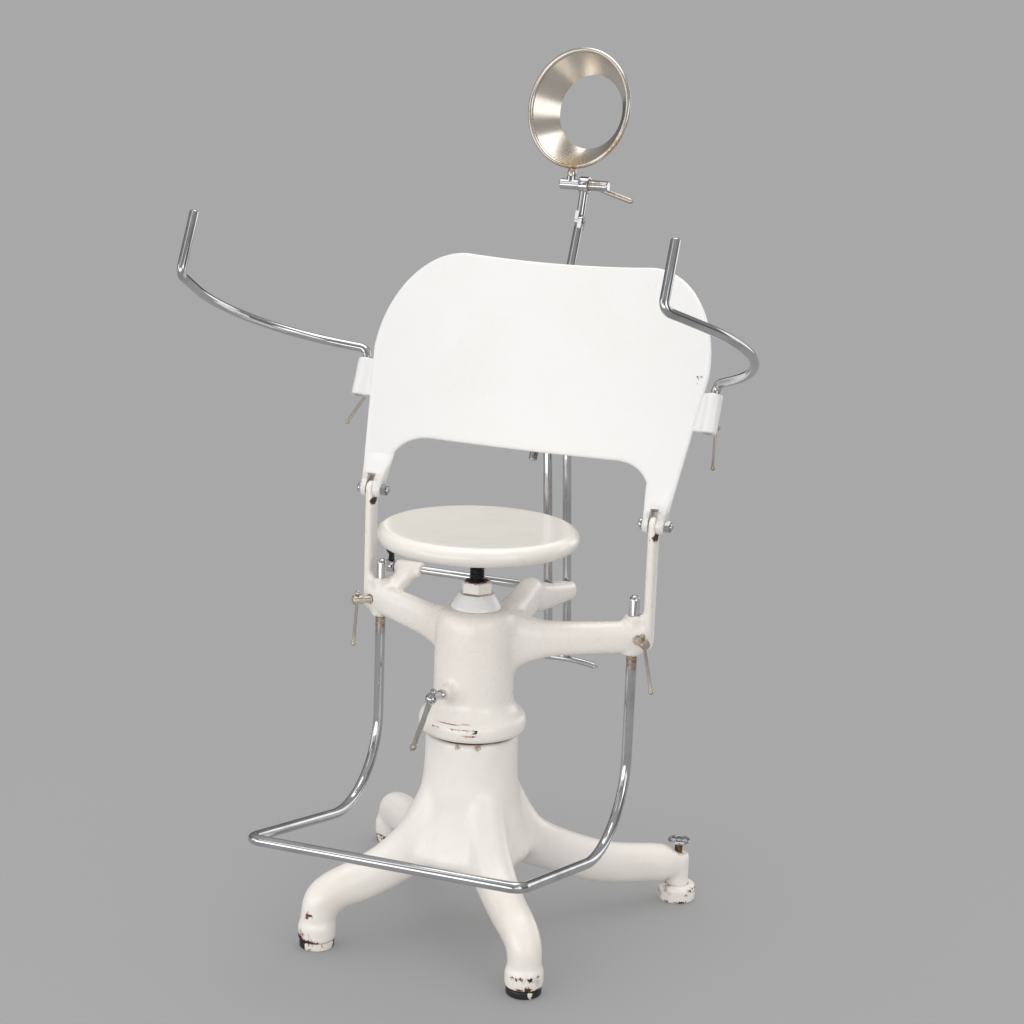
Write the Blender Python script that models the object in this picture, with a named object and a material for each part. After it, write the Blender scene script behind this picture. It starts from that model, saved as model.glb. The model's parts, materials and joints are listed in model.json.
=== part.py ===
"""Ear, nose and throat examination chair of enamelled cast iron, with a swivelling frame,
a screw seat, a reclining back, swinging arm rods, a sliding footrest and a funnel head ring.

Units are metres and +Z is up. The origin is on the column's axis at floor level, the sitter
faces -Y, and every piece stands as photographed.
"""

import math

import bmesh
import bpy
from mathutils import Matrix, Vector

# Clearances and mesh fineness
GAP = 0.0003
RUNNING_GAP = 0.0005
RIM_SIDES = 24
ROUND_SIDES = 20
BORE_SIDES = 12
LONG_ROD_SIDES = 9
ROD_SIDES = 8
SMALL_SIDES = 8
CASTING_SIDES = 12
NUT_SIDES = 6
SMOOTH_ANGLE_DEG = 35

# Base casting
COLUMN_TOP = 0.318
COLUMN_RADIUS = 0.070
COLUMN_SKIRT_RADIUS = 0.098
COLUMN_SKIRT_HEIGHT = 0.122
COLUMN_WALL = 0.026
FRONT_FOOT_REACH = 0.239
REAR_FOOT_REACH = 0.362
LEG_TURN_DEG = 45
LEG_ROOT_HEIGHT = 0.218
LEG_THIGH_REACH = 0.120
LEG_KNEE_SETBACK = 0.028
FRONT_KNEE_HEIGHT = 0.086
REAR_KNEE_HEIGHT = 0.0645
LEG_HALF_WIDTH = 0.026
ANKLE_RADIUS = 0.0245
COLLAR_RADIUS = 0.0285
COLLAR_TOP = 0.043
RUBBER_HEIGHT = 0.012
RUBBER_RADIUS = 0.026

# Levelling foot under the rear right leg
LEVEL_CUP_RADIUS = 0.0300
LEVEL_CUP_HEIGHT = 0.027
LEVEL_ANKLE_RADIUS = 0.0180
LEVEL_BOSS_TOP = 0.078
LEVEL_CUP_FLOOR = 0.012
LEVEL_SCREW_RADIUS = 0.0062
LEVEL_SCREW_SHOWING = 0.0165
LEVEL_PIVOT_DEPTH = 0.006
LEVEL_WHEEL_RADIUS = 0.0155
LEVEL_WHEEL_RIM = 0.0024
LEVEL_SPOKES = 5

# Swivel bearing
BEARING_THICKNESS = 0.003
POST_RADIUS = 0.030
POST_WALL = 0.009
POST_FOOT_DEPTH = 0.056
POST_HEAD_ROOM = 0.0076

# Swivelling upper casting, heights above its flange
FLANGE_RADIUS = 0.0815
FLANGE_HEIGHT = 0.028
SLEEVE_RADIUS = 0.0605
SLEEVE_LENGTH = 0.190
SLEEVE_TOP_RADIUS = 0.043
SLEEVE_TOP_WALL = 0.036
ARM_DROP = 0.042
ARM_HALF_HEIGHT = 0.025
ARM_HALF_WIDTH = 0.017
BOSS_SPREAD = 0.212
BOSS_SETBACK = 0.106
BOSS_RADIUS = 0.0150
BOSS_LENGTH = 0.063
UPRIGHT_SPREAD = 0.2345
UPRIGHT_THICKNESS = 0.012
UPRIGHT_DEPTH = 0.028
UPRIGHT_FOOT_DROP = 0.016
HINGE_SETBACK = 0.112
HINGE_RISE = 0.1744
HINGE_PIN_RADIUS = 0.005

# Rear arm of the casting, which guides the recline strut
REAR_ARM_OFFSET = 0.030
REAR_ARM_REACH = 0.301
REAR_ARM_HALF_WIDTH = 0.0165
REAR_ARM_END_LIFT = 0.0035
REAR_ARM_END_HALF_HEIGHT = 0.0165

# Strut lock shaft
SHAFT_RADIUS = 0.0065
SHAFT_SETBACK = 0.143
SHAFT_LIFT = 0.045
SHAFT_END = 0.2205
SHAFT_BEARING_RADIUS = 0.0125
SHAFT_BEARING_OUT = 0.2045
SHAFT_BEARING_IN = 0.157
SHAFT_HUB_RADIUS = 0.0100
SHAFT_HUB_LENGTH = 0.0145
LOCK_KNOB_RADIUS = 0.0085
LOCK_KNOB_REACH = 0.027

# Swivel lock on the front of the sleeve
SWIVEL_LOCK_TURN_DEG = 11
SWIVEL_LOCK_RISE = 0.073
SWIVEL_LOCK_BOSS_RADIUS = 0.0105
SWIVEL_LOCK_BOSS_REACH = 0.078
SWIVEL_LOCK_SCREW_RADIUS = 0.0050
SWIVEL_LOCK_BALL_RADIUS = 0.0090
SWIVEL_LOCK_REACH = 0.107
SWIVEL_LEVER_LENGTH = 0.094
SWIVEL_LEVER_LEAN_DEG = 20

# Seat
SEAT_RADIUS = 0.150
SEAT_THICKNESS = 0.028
SEAT_DISH = 0.003
SEAT_FLANGE_RADIUS = 0.020
SEAT_FLANGE_HEIGHT = 0.008
SEAT_SCREW_RADIUS = 0.011
SEAT_SCREW_SHOWING = 0.046
SEAT_SCREW_BELOW_NUT = 0.128
STOP_DISC_RADIUS = 0.0185
STOP_DISC_HEIGHT = 0.006
NUT_COLLAR_RADIUS = 0.038
NUT_COLLAR_HEIGHT = 0.022
NUT_ACROSS_CORNERS = 0.048
NUT_HEIGHT = 0.019

# Footrest
FOOTREST_ROD_RADIUS = 0.008
FOOTREST_TOP_RISE = 0.2134
FOOTREST_CORNER_DROP = 0.1938
FOOTREST_FRONT = 0.298
FOOTREST_FRONT_DROP = 0.1081
FOOTREST_FRONT_SPREAD = 0.2075
FOOTREST_SKEW = 0.010
FOOTREST_BEND_RADIUS = 0.125
FOOTREST_CORNER_RADIUS = 0.020

# Tommy-bar clamps of the footrest
CLAMP_TURN_DEG = 45
CLAMP_SCREW_RADIUS = 0.0042
CLAMP_NECK_REACH = 0.031
CLAMP_HEAD_RADIUS = 0.0075
CLAMP_HEAD_LENGTH = 0.016
CLAMP_BAR_RADIUS = 0.0026
CLAMP_BAR_BALL_RADIUS = 0.0042
CLAMP_BAR_LENGTH = 0.090
CLAMP_BAR_LEAN_DEG = 12

# Reclining back, in its own frame: X across, Y to the rear, Z up along the plate
RECLINE_DEG = 23.5
PLATE_THICKNESS = 0.008
PLATE_HALF_WIDTH = 0.279
PLATE_WIDEST_RISE = 0.226
PLATE_TOP_RISE = 0.397
PLATE_TOP_DIP = 0.004
PLATE_CORNER_WIDTH = 0.124
PLATE_LEG_RISE = 0.020
PLATE_LEG_OUTER = 0.2545
PLATE_LEG_INNER = 0.2185
PLATE_ARCH_RISE = 0.091
PLATE_ARCH_CORNER = 0.069
PLATE_HOLLOW = 0.018
PLATE_EDGE_ROUND = 0.0028
FORK_WIDTH = 0.036
FORK_RADIUS = 0.0140
FORK_TOP_RISE = 0.060
FORK_SLOT_RISE = 0.022
BOLT_HEAD_RADIUS = 0.0085
BOLT_HEAD_HEIGHT = 0.006
NUT_RADIUS = 0.0092
NUT_LENGTH = 0.008

# Arm rods in their sleeves at the plate's edges
ARM_SLEEVE_SPREAD = 0.291
ARM_SLEEVE_RADIUS = 0.0130
ARM_SLEEVE_LOW = 0.146
ARM_SLEEVE_LENGTH = 0.061
ARM_ROD_RADIUS = 0.0070
ARM_ROD_RISE = 0.016
ARM_ROD_INNER_LENGTH = 0.222
ARM_ROD_OUTER_LENGTH = 0.255
ARM_ROD_TURN_DEG = 78
ARM_ROD_BOW_RADIUS = 0.221
ARM_ROD_BEND_RADIUS = 0.014
ARM_GRIP_LENGTH = 0.100
ARM_SWING_LEFT_DEG = 67
ARM_SWING_RIGHT_DEG = 46
ARM_CLAMP_RISE = 0.020
ARM_CLAMP_SCREW_RADIUS = 0.0036
ARM_CLAMP_HEAD_RADIUS = 0.0062
ARM_CLAMP_HEAD_LENGTH = 0.013
ARM_CLAMP_NECK = 0.014
ARM_BAR_RADIUS = 0.0023
ARM_BAR_BALL_RADIUS = 0.0036
ARM_BAR_LENGTH = 0.074
ARM_BAR_LEFT_LEAN_DEG = 26
ARM_BAR_RIGHT_LEAN_DEG = -6

# Head rest, in the frame of the back
HEAD_ROD_RADIUS = 0.0070
HEAD_ROD_SETBACK = 0.058
HEAD_ROD_LOW = 0.087
KNUCKLE_RISE = 0.481
KNUCKLE_RADIUS = 0.0078
KNUCKLE_PIN_RADIUS = 0.0030
HEAD_CLAMP_RISE = 0.300
HEAD_CLAMP_LENGTH = 0.052
HEAD_CLAMP_HALF_WIDTH = 0.017
HEAD_GUIDE_RISE = 0.175
HEAD_GUIDE_LENGTH = 0.026
HEAD_CLAMP_SCREW_RADIUS = 0.0040
HEAD_CLAMP_KNOB_RADIUS = 0.0115
HEAD_CLAMP_KNOB_LENGTH = 0.018
LINK_LENGTH = 0.0574
LINK_LEAN_DEG = 7
LINK_RADIUS = 0.0066
LINK_EYE_RADIUS = 0.0135
LINK_EYE_WIDTH = 0.016
BARREL_RADIUS = 0.0085
BARREL_LEFT = 0.042
BARREL_RIGHT = 0.040
HEAD_TILT_DEG = 14
NECK_OFFSET = 0.024
NECK_RADIUS = 0.0068
NECK_SEAT = 0.0120
RING_RADIUS = 0.0960
RING_BEAD_RADIUS = 0.0042
RING_REAR_RADIUS = 0.0590
RING_DEPTH = 0.037
RING_WALL = 0.0030
RING_CENTRE_RISE = 0.1205
RING_YAW_DEG = -11.5
HEAD_LEVER_LENGTH = 0.084
HEAD_LEVER_RADIUS = 0.0045
HEAD_LEVER_DROP_DEG = 16
HEAD_LEVER_HUB_RADIUS = 0.0075

# Recline strut: two rods in one head, hung on a bracket behind the plate
STRUT_PIVOT_SETBACK = 0.067
STRUT_PIVOT_RISE = 0.1284
STRUT_LEAN_DEG = 6.3
STRUT_ROD_RADIUS = 0.0070
STRUT_SPACING = 0.080
STRUT_HEAD_HALF_WIDTH = 0.0095
STRUT_HEAD_HALF_HEIGHT = 0.011
STRUT_PIN_RADIUS = 0.005
STRUT_FRONT_LENGTH = 0.352
STRUT_REAR_LENGTH = 0.396
STRUT_SLOT_PLAY = 0.0060
BRACKET_CHEEK = 0.006
BRACKET_FLANGE = 0.008
BRACKET_FOOT = 0.005
BRACKET_HALF_HEIGHT = 0.026
GRIP_LEFT_LENGTH = 0.076
GRIP_RIGHT_LENGTH = 0.052
GRIP_RADIUS = 0.0048
GRIP_SAG = 0.006

# Values that follow from the sizes above
FLANGE_LEVEL = COLUMN_TOP + BEARING_THICKNESS + 2 * GAP
ARM_RISE = SLEEVE_LENGTH - ARM_DROP
HINGE_LEVEL = ARM_RISE + HINGE_RISE
SHAFT_RISE = ARM_RISE + SHAFT_LIFT
REAR_ARM_END_RISE = ARM_RISE + REAR_ARM_END_LIFT
POST_TOP = FLANGE_LEVEL + SLEEVE_LENGTH - SLEEVE_TOP_WALL - POST_HEAD_ROOM
POST_BORE_RADIUS = (POST_RADIUS + GAP) / math.cos(math.pi / ROUND_SIDES)
TURN = math.radians(LEG_TURN_DEG)

FINISHES = {
    "cream": ((0.84, 0.81, 0.76), 0.32, 0.0),
    "white": ((0.90, 0.88, 0.86), 0.22, 0.0),
    "chrome": ((0.72, 0.73, 0.75), 0.12, 1.0),
    "nickel": ((0.55, 0.49, 0.42), 0.30, 1.0),
    "steel": ((0.46, 0.46, 0.46), 0.38, 1.0),
    "bronze": ((0.45, 0.32, 0.18), 0.40, 1.0),
    "black": ((0.02, 0.02, 0.02), 0.45, 0.2),
    "rubber": ((0.025, 0.024, 0.023), 0.80, 0.0),
}


def clear_scene():
    """Remove whatever the file held before."""
    for obj in list(bpy.data.objects):
        bpy.data.objects.remove(obj, do_unlink=True)


def make_finish(name, finish):
    """Principled material of one piece."""
    colour, roughness, metallic = FINISHES[finish]
    material = bpy.data.materials.new(f"{name}_{finish}")
    material.use_nodes = True
    shader = material.node_tree.nodes["Principled BSDF"]
    shader.inputs["Base Color"].default_value = (*colour, 1.0)
    shader.inputs["Roughness"].default_value = roughness
    shader.inputs["Metallic"].default_value = metallic
    return material


def make_frame(name, location, turn_x=0.0, turn_z=0.0, parent=None):
    """Empty on a joint's axis, in whose frame the moving pieces are drawn."""
    empty = bpy.data.objects.new(name, None)
    empty.location = location
    empty.rotation_euler = (turn_x, 0.0, turn_z)
    empty.parent = parent
    bpy.context.collection.objects.link(empty)
    return empty


def make_object(name, bm, finish, parent=None):
    """Close up a bmesh into a named piece with its own finish."""
    bmesh.ops.remove_doubles(bm, verts=bm.verts, dist=1e-6)
    bmesh.ops.recalc_face_normals(bm, faces=bm.faces)
    mesh = bpy.data.meshes.new(name)
    bm.to_mesh(mesh)
    bm.free()
    mesh.materials.append(make_finish(name, finish))
    mesh.shade_smooth()
    mesh.set_sharp_from_angle(angle=math.radians(SMOOTH_ANGLE_DEG))
    obj = bpy.data.objects.new(name, mesh)
    obj.parent = parent
    bpy.context.collection.objects.link(obj)
    return obj


def combine(target, operation, shapes):
    """Join or cut hidden helper shapes with a live Boolean each."""
    for number, bm in enumerate(shapes):
        helper = make_object(f"{target.name}_{operation.lower()}_{number}", bm, "steel", target.parent)
        helper.hide_render = True
        helper.display_type = "WIRE"
        modifier = target.modifiers.new(f"{operation.lower()}_{number}", "BOOLEAN")
        modifier.operation = operation
        modifier.object = helper
        modifier.use_self = operation == "UNION"


def bridge(bm, lower, upper):
    """Skin two rings of one size, or a ring and a point."""
    count = max(len(lower), len(upper))
    for k in range(count):
        after = (k + 1) % count
        corners = [lower[k % len(lower)], lower[after % len(lower)]]
        corners += [upper[after % len(upper)], upper[k % len(upper)]]
        distinct = list(dict.fromkeys(corners))
        if len(distinct) > 2:
            bm.faces.new(distinct)


def skin(rings, closed=False):
    """Solid through rings of points; open ends get caps."""
    bm = bmesh.new()
    loops = [[bm.verts.new(point) for point in ring] for ring in rings]
    pairs = list(zip(loops, loops[1:]))
    if closed:
        pairs.append((loops[-1], loops[0]))
    for lower, upper in pairs:
        bridge(bm, lower, upper)
    if not closed:
        for loop in (loops[0], loops[-1]):
            if len(loop) > 2:
                bm.faces.new(loop)
    return bm


def circle(radius, sides, turn=0.0):
    """Points of a circle in a plane."""
    angles = [turn + 2 * math.pi * k / sides for k in range(sides)]
    return [(radius * math.cos(a), radius * math.sin(a)) for a in angles]


def revolve(profile, sides=ROUND_SIDES, closed=False, turn=0.0):
    """Turned solid about Z from (radius, height) points."""
    rings = []
    for radius, height in profile:
        if radius <= 0:
            rings.append([(0.0, 0.0, height)])
        else:
            rings.append([(x, y, height) for x, y in circle(radius, sides, turn)])
    return skin(rings, closed)


def placed(bm, matrix):
    """Move a shape."""
    bmesh.ops.transform(bm, matrix=matrix, verts=bm.verts)
    return bm


def axis_matrix(origin, direction, roll_from=(0.0, 0.0, 1.0)):
    """Matrix that carries +Z onto a direction at an origin."""
    z = Vector(direction).normalized()
    x = Vector(roll_from).cross(z)
    if x.length < 1e-6:
        x = Vector((1.0, 0.0, 0.0))
    x.normalize()
    y = z.cross(x)
    matrix = Matrix((x, y, z)).transposed().to_4x4()
    matrix.translation = origin
    return matrix


def bar(start, end, radius, sides=ROD_SIDES, chamfer=0.0):
    """Straight round bar between two points."""
    start, end = Vector(start), Vector(end)
    length = (end - start).length
    if chamfer:
        profile = [(radius - chamfer, 0), (radius, chamfer)]
        profile += [(radius, length - chamfer), (radius - chamfer, length)]
    else:
        profile = [(radius, 0), (radius, length)]
    return placed(revolve(profile, sides), axis_matrix(start, end - start))


def hole(start, end, radius, sides=ROD_SIDES):
    """Cutter for a round hole, whose flats lie at the radius."""
    return bar(start, end, radius / math.cos(math.pi / sides), sides)


def turned(profile, origin, direction, sides=ROD_SIDES, turn=0.0):
    """Turned solid whose axis starts at a point and runs along a direction."""
    return placed(revolve(profile, sides, turn=turn), axis_matrix(origin, direction))


def box(low, high):
    """Block between two corners."""
    ring = [(low[0], low[1]), (high[0], low[1]), (high[0], high[1]), (low[0], high[1])]
    return skin([[(x, y, z) for x, y in ring] for z in (low[2], high[2])])


def plate_across_x(outline, low, high):
    """Slab between two X values with a (y, z) outline."""
    return skin([[(x, y, z) for y, z in outline] for x in (low, high)])


def arc(centre, radius, start_deg, end_deg, steps):
    """Points of an arc in a plane."""
    points = []
    for k in range(steps + 1):
        angle = math.radians(start_deg + (end_deg - start_deg) * k / steps)
        points.append((centre[0] + radius * math.cos(angle), centre[1] + radius * math.sin(angle)))
    return points


def rounded_path(corners, radii, step_deg=17):
    """Polyline with an arc of its own radius at each inner corner."""
    corners = [Vector(corner) for corner in corners]
    points = [corners[0]]
    for before, corner, after, radius in zip(corners, corners[1:], corners[2:], radii):
        incoming = (corner - before).normalized()
        outgoing = (after - corner).normalized()
        turn = incoming.angle(outgoing)
        setback = radius * math.tan(turn / 2)
        centre_way = (outgoing - incoming).normalized()
        centre = corner + centre_way * (radius / math.cos(turn / 2))
        spoke = corner - incoming * setback - centre
        hinge = incoming.cross(outgoing).normalized()
        steps = max(2, round(math.degrees(turn) / step_deg))
        for k in range(steps + 1):
            points.append(centre + Matrix.Rotation(turn * k / steps, 3, hinge) @ spoke)
    points.append(corners[-1])
    return points


def domed(points, radius, steps=3):
    """Path and radii of a rod whose two ends are domed."""
    points = [Vector(point) for point in points]
    head = (points[1] - points[0]).normalized()
    tail = (points[-2] - points[-1]).normalized()
    angles = [math.pi / 2 * k / steps for k in range(steps)]
    start = [(points[0] + head * radius * (1 - math.sin(a)), radius * math.cos(a)) for a in reversed(angles)]
    end = [(points[-1] + tail * radius * (1 - math.sin(a)), radius * math.cos(a)) for a in angles]
    middle = [(point, radius) for point in points[1:-1]]
    rows = start + middle + end
    return [row[0] for row in rows], [row[1] for row in rows]


def sweep(points, radii, sides=LONG_ROD_SIDES):
    """Round rod along a path, its rings carried from one bend to the next without twist."""
    points = [Vector(point) for point in points]
    ways = []
    for k in range(len(points)):
        before = points[max(k - 1, 0)]
        after = points[min(k + 1, len(points) - 1)]
        if k in (0, len(points) - 1):
            ways.append((after - before).normalized())
        else:
            ways.append(((points[k] - before).normalized() + (after - points[k]).normalized()).normalized())
    side = ways[0].orthogonal().normalized()
    rings = []
    for k, (point, way, radius) in enumerate(zip(points, ways, radii)):
        if k:
            side = ways[k - 1].rotation_difference(way) @ side
        side = (side - way * side.dot(way)).normalized()
        other = way.cross(side)
        rings.append([point + side * x + other * y for x, y in circle(radius, sides)])
    return skin(rings)


def curve_through(stations, steps):
    """Catmull-Rom rows of numbers through hand-set rows."""
    rows = []
    for k in range(len(stations) - 1):
        a = stations[max(k - 1, 0)]
        b = stations[k]
        c = stations[k + 1]
        d = stations[min(k + 2, len(stations) - 1)]
        for step in range(steps):
            t = step / steps
            row = []
            for p, q, r, s in zip(a, b, c, d):
                bend = (2 * p - 5 * q + 4 * r - s) * t * t + (3 * q - p - 3 * r + s) * t**3
                row.append(0.5 * (2 * q + (r - p) * t + bend))
            rows.append(row)
    rows.append(list(stations[-1]))
    return rows


def oval(half_width, half_height, sides, squareness=2.3):
    """Points of a rounded section, a little squarer than an ellipse."""
    points = []
    for x, y in circle(1.0, sides, math.pi / sides):
        points.append(
            (
                math.copysign(half_width * abs(x) ** (2 / squareness), x),
                math.copysign(half_height * abs(y) ** (2 / squareness), y),
            )
        )
    return points


def leg(turn, stations):
    """Cast leg in the upright plane at an angle about the column, from rows of reach, height,
    half width and half height."""
    rows = curve_through(stations, 2)
    outward = Vector((math.cos(turn), math.sin(turn), 0.0))
    across = Vector((-math.sin(turn), math.cos(turn), 0.0))
    up = Vector((0.0, 0.0, 1.0))
    rings = []
    for k, (away, height, half_width, half_height) in enumerate(rows):
        before = rows[max(k - 1, 0)]
        after = rows[min(k + 1, len(rows) - 1)]
        way = outward * (after[0] - before[0]) + up * (after[1] - before[1])
        way.normalize()
        normal = across.cross(way)
        centre = outward * away + up * height
        section = oval(half_width, half_height, CASTING_SIDES)
        rings.append([centre + across * x + normal * y for x, y in section])
    return skin(rings)


def leg_rows(reach, knee_height):
    """Rows of a leg from inside the column out to its knee."""
    knee = reach - LEG_KNEE_SETBACK
    middle = (LEG_THIGH_REACH + knee) / 2
    return [
        (0.020, LEG_ROOT_HEIGHT, 0.040, 0.058),
        (0.070, LEG_ROOT_HEIGHT - 0.062, 0.034, 0.045),
        (LEG_THIGH_REACH, LEG_ROOT_HEIGHT - 0.097, 0.029, 0.036),
        (middle, knee_height + 0.014, LEG_HALF_WIDTH + 0.001, 0.033),
        (knee, knee_height, LEG_HALF_WIDTH, 0.030),
    ]


def ankle_rows(reach, knee_height, foot_level):
    """Rows that turn a leg down from its knee into a round ankle."""
    return [
        (reach - 0.007, knee_height - 0.014, LEG_HALF_WIDTH - 0.0005, 0.027),
        (reach, (knee_height + foot_level) / 2 - 0.004, ANKLE_RADIUS, ANKLE_RADIUS),
        (reach, foot_level, ANKLE_RADIUS, ANKLE_RADIUS),
    ]


def level_end_rows(reach, knee_height):
    """Rows that run a leg straight out into the boss of the levelling screw."""
    return [
        (reach - 0.006, knee_height - 0.0055, 0.0200, 0.0245),
        (reach + 0.010, knee_height - 0.0095, 0.0110, 0.0195),
    ]


def collar_profile(bottom):
    """Turned collar round a foot."""
    return [
        (COLLAR_RADIUS - 0.002, bottom),
        (COLLAR_RADIUS, bottom + 0.003),
        (COLLAR_RADIUS, COLLAR_TOP - 0.008),
        (COLLAR_RADIUS - 0.0015, COLLAR_TOP - 0.003),
        (ANKLE_RADIUS - 0.004, COLLAR_TOP),
    ]


def foot_places():
    """Angle, reach and knee height of the fixed feet, front pair first."""
    front = [(turn, FRONT_FOOT_REACH, FRONT_KNEE_HEIGHT) for turn in (-TURN - math.pi / 2, -TURN)]
    return front + [(math.pi - TURN, REAR_FOOT_REACH, REAR_KNEE_HEIGHT)]


def at_angle(turn, reach, height=0.0):
    """Point on the floor plan at an angle and a reach from the column."""
    return Vector((reach * math.cos(turn), reach * math.sin(turn), height))


def build_base():
    """Column with its four legs, one casting, hollow from below."""
    top = COLUMN_TOP
    outer = [
        (0.0, COLUMN_SKIRT_HEIGHT),
        (COLUMN_SKIRT_RADIUS - 0.010, COLUMN_SKIRT_HEIGHT),
        (COLUMN_SKIRT_RADIUS, COLUMN_SKIRT_HEIGHT + 0.010),
        (COLUMN_SKIRT_RADIUS - 0.005, COLUMN_SKIRT_HEIGHT + 0.026),
        (COLUMN_RADIUS + 0.016, top - 0.147),
        (COLUMN_RADIUS + 0.006, top - 0.104),
        (COLUMN_RADIUS + 0.001, top - 0.058),
        (COLUMN_RADIUS, top - 0.004),
        (COLUMN_RADIUS - 0.004, top),
        (0.0, top),
    ]
    base = make_object("base_casting", revolve(outer), "cream")
    shapes = []
    foot_level = RUBBER_HEIGHT + GAP
    for turn, reach, knee_height in foot_places():
        rows = leg_rows(reach, knee_height) + ankle_rows(reach, knee_height, foot_level + 0.004)
        shapes.append(leg(turn, rows))
        shapes.append(turned(collar_profile(foot_level), at_angle(turn, reach), (0, 0, 1), BORE_SIDES))
    ankle_end = LEVEL_CUP_FLOOR + GAP
    rows = leg_rows(REAR_FOOT_REACH, REAR_KNEE_HEIGHT)
    shapes.append(leg(TURN, rows + level_end_rows(REAR_FOOT_REACH, REAR_KNEE_HEIGHT)))
    boss = [
        (LEVEL_ANKLE_RADIUS - 0.0015, ankle_end),
        (LEVEL_ANKLE_RADIUS, ankle_end + 0.0015),
        (LEVEL_ANKLE_RADIUS, LEVEL_BOSS_TOP - 0.006),
        (LEVEL_ANKLE_RADIUS - 0.002, LEVEL_BOSS_TOP),
    ]
    shapes.append(turned(boss, at_angle(TURN, REAR_FOOT_REACH), (0, 0, 1), BORE_SIDES))
    combine(base, "UNION", shapes)
    post_seat = COLUMN_TOP - POST_FOOT_DEPTH
    inside = [
        (COLUMN_SKIRT_RADIUS - COLUMN_WALL, COLUMN_SKIRT_HEIGHT - 0.080),
        (COLUMN_SKIRT_RADIUS - COLUMN_WALL, COLUMN_SKIRT_HEIGHT + 0.030),
        (COLUMN_RADIUS - COLUMN_WALL, post_seat - 0.040),
        (POST_RADIUS - POST_WALL, post_seat - 0.016),
        (POST_RADIUS - POST_WALL, post_seat - GAP),
        (POST_BORE_RADIUS, post_seat - GAP),
        (POST_BORE_RADIUS, COLUMN_TOP + 0.01),
    ]
    foot = at_angle(TURN, REAR_FOOT_REACH)
    screw_bore = hole(foot, foot + Vector((0, 0, 0.2)), LEVEL_SCREW_RADIUS + GAP, ROD_SIDES)
    combine(base, "DIFFERENCE", [revolve(inside), screw_bore])


def build_rubber_feet():
    """Worn rubber buttons under the three fixed feet."""
    profile = [
        (RUBBER_RADIUS - 0.0015, 0.0),
        (RUBBER_RADIUS, 0.002),
        (RUBBER_RADIUS, RUBBER_HEIGHT - 0.002),
        (RUBBER_RADIUS - 0.001, RUBBER_HEIGHT),
    ]
    for label, (turn, reach, _) in zip(("front_left", "front_right", "rear_left"), foot_places()):
        foot = turned(profile, at_angle(turn, reach), (0, 0, 1), BORE_SIDES)
        make_object(f"rubber_foot_{label}", foot, "rubber")


def build_levelling_foot():
    """Cup foot, screw and spoked wheel that level the chair at its rear right leg."""
    place = at_angle(TURN, REAR_FOOT_REACH)
    frame = make_frame("levelling_axis", place)
    socket = (LEVEL_ANKLE_RADIUS + GAP) / math.cos(math.pi / BORE_SIDES)
    pivot = (LEVEL_SCREW_RADIUS + GAP) / math.cos(math.pi / BORE_SIDES)
    pivot_floor = LEVEL_CUP_FLOOR - LEVEL_PIVOT_DEPTH
    cup = [
        (0.0, 0.0),
        (LEVEL_CUP_RADIUS - 0.002, 0.0),
        (LEVEL_CUP_RADIUS, 0.003),
        (LEVEL_CUP_RADIUS, LEVEL_CUP_HEIGHT - 0.007),
        (LEVEL_CUP_RADIUS - 0.002, LEVEL_CUP_HEIGHT - 0.002),
        (LEVEL_CUP_RADIUS - 0.007, LEVEL_CUP_HEIGHT),
        (socket, LEVEL_CUP_HEIGHT),
        (socket, LEVEL_CUP_FLOOR),
        (pivot, LEVEL_CUP_FLOOR),
        (pivot, pivot_floor),
        (0.0, pivot_floor),
    ]
    make_object("levelling_foot", revolve(cup, BORE_SIDES), "cream", frame)
    stem_top = LEVEL_BOSS_TOP + LEVEL_SCREW_SHOWING
    screw = bar((0, 0, pivot_floor + GAP), (0, 0, stem_top - GAP), LEVEL_SCREW_RADIUS)
    make_object("levelling_screw", screw, "bronze", frame)
    rim_level = stem_top + LEVEL_WHEEL_RIM * 1.6
    rim = []
    for x, y in circle(LEVEL_WHEEL_RIM, 6):
        rim.append((LEVEL_WHEEL_RADIUS + x, rim_level + y))
    wheel = make_object("levelling_wheel", revolve(rim, BORE_SIDES, closed=True), "chrome", frame)
    hub = [
        (0.0, stem_top),
        (LEVEL_SCREW_RADIUS, stem_top),
        (LEVEL_SCREW_RADIUS * 0.85, rim_level + LEVEL_WHEEL_RIM * 0.9),
        (0.0, rim_level + LEVEL_WHEEL_RIM * 1.5),
    ]
    shapes = [revolve(hub, ROD_SIDES)]
    for k in range(LEVEL_SPOKES):
        outer = at_angle(2 * math.pi * k / LEVEL_SPOKES, LEVEL_WHEEL_RADIUS, rim_level)
        shapes.append(bar((0, 0, rim_level - 0.0004), outer, LEVEL_WHEEL_RIM * 0.72, 6))
    combine(wheel, "UNION", shapes)


def build_swivel_bearing():
    """Hollow steel post in the column and the bronze washer the flange turns on."""
    low = COLUMN_TOP - POST_FOOT_DEPTH
    top = POST_TOP
    inner = POST_RADIUS - POST_WALL
    post = [
        (inner, low),
        (POST_RADIUS, low),
        (POST_RADIUS, top - 0.002),
        (POST_RADIUS - 0.002, top),
        (inner, top),
    ]
    make_object("swivel_post", revolve(post, BORE_SIDES, closed=True), "steel")
    washer_low = COLUMN_TOP + GAP
    washer_top = washer_low + BEARING_THICKNESS
    bore = POST_RADIUS + RUNNING_GAP
    rim = COLUMN_RADIUS - 0.005
    washer = [(bore, washer_low), (rim, washer_low), (rim, washer_top), (bore, washer_top)]
    make_object("bearing_washer", revolve(washer, BORE_SIDES, closed=True), "bronze")


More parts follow.
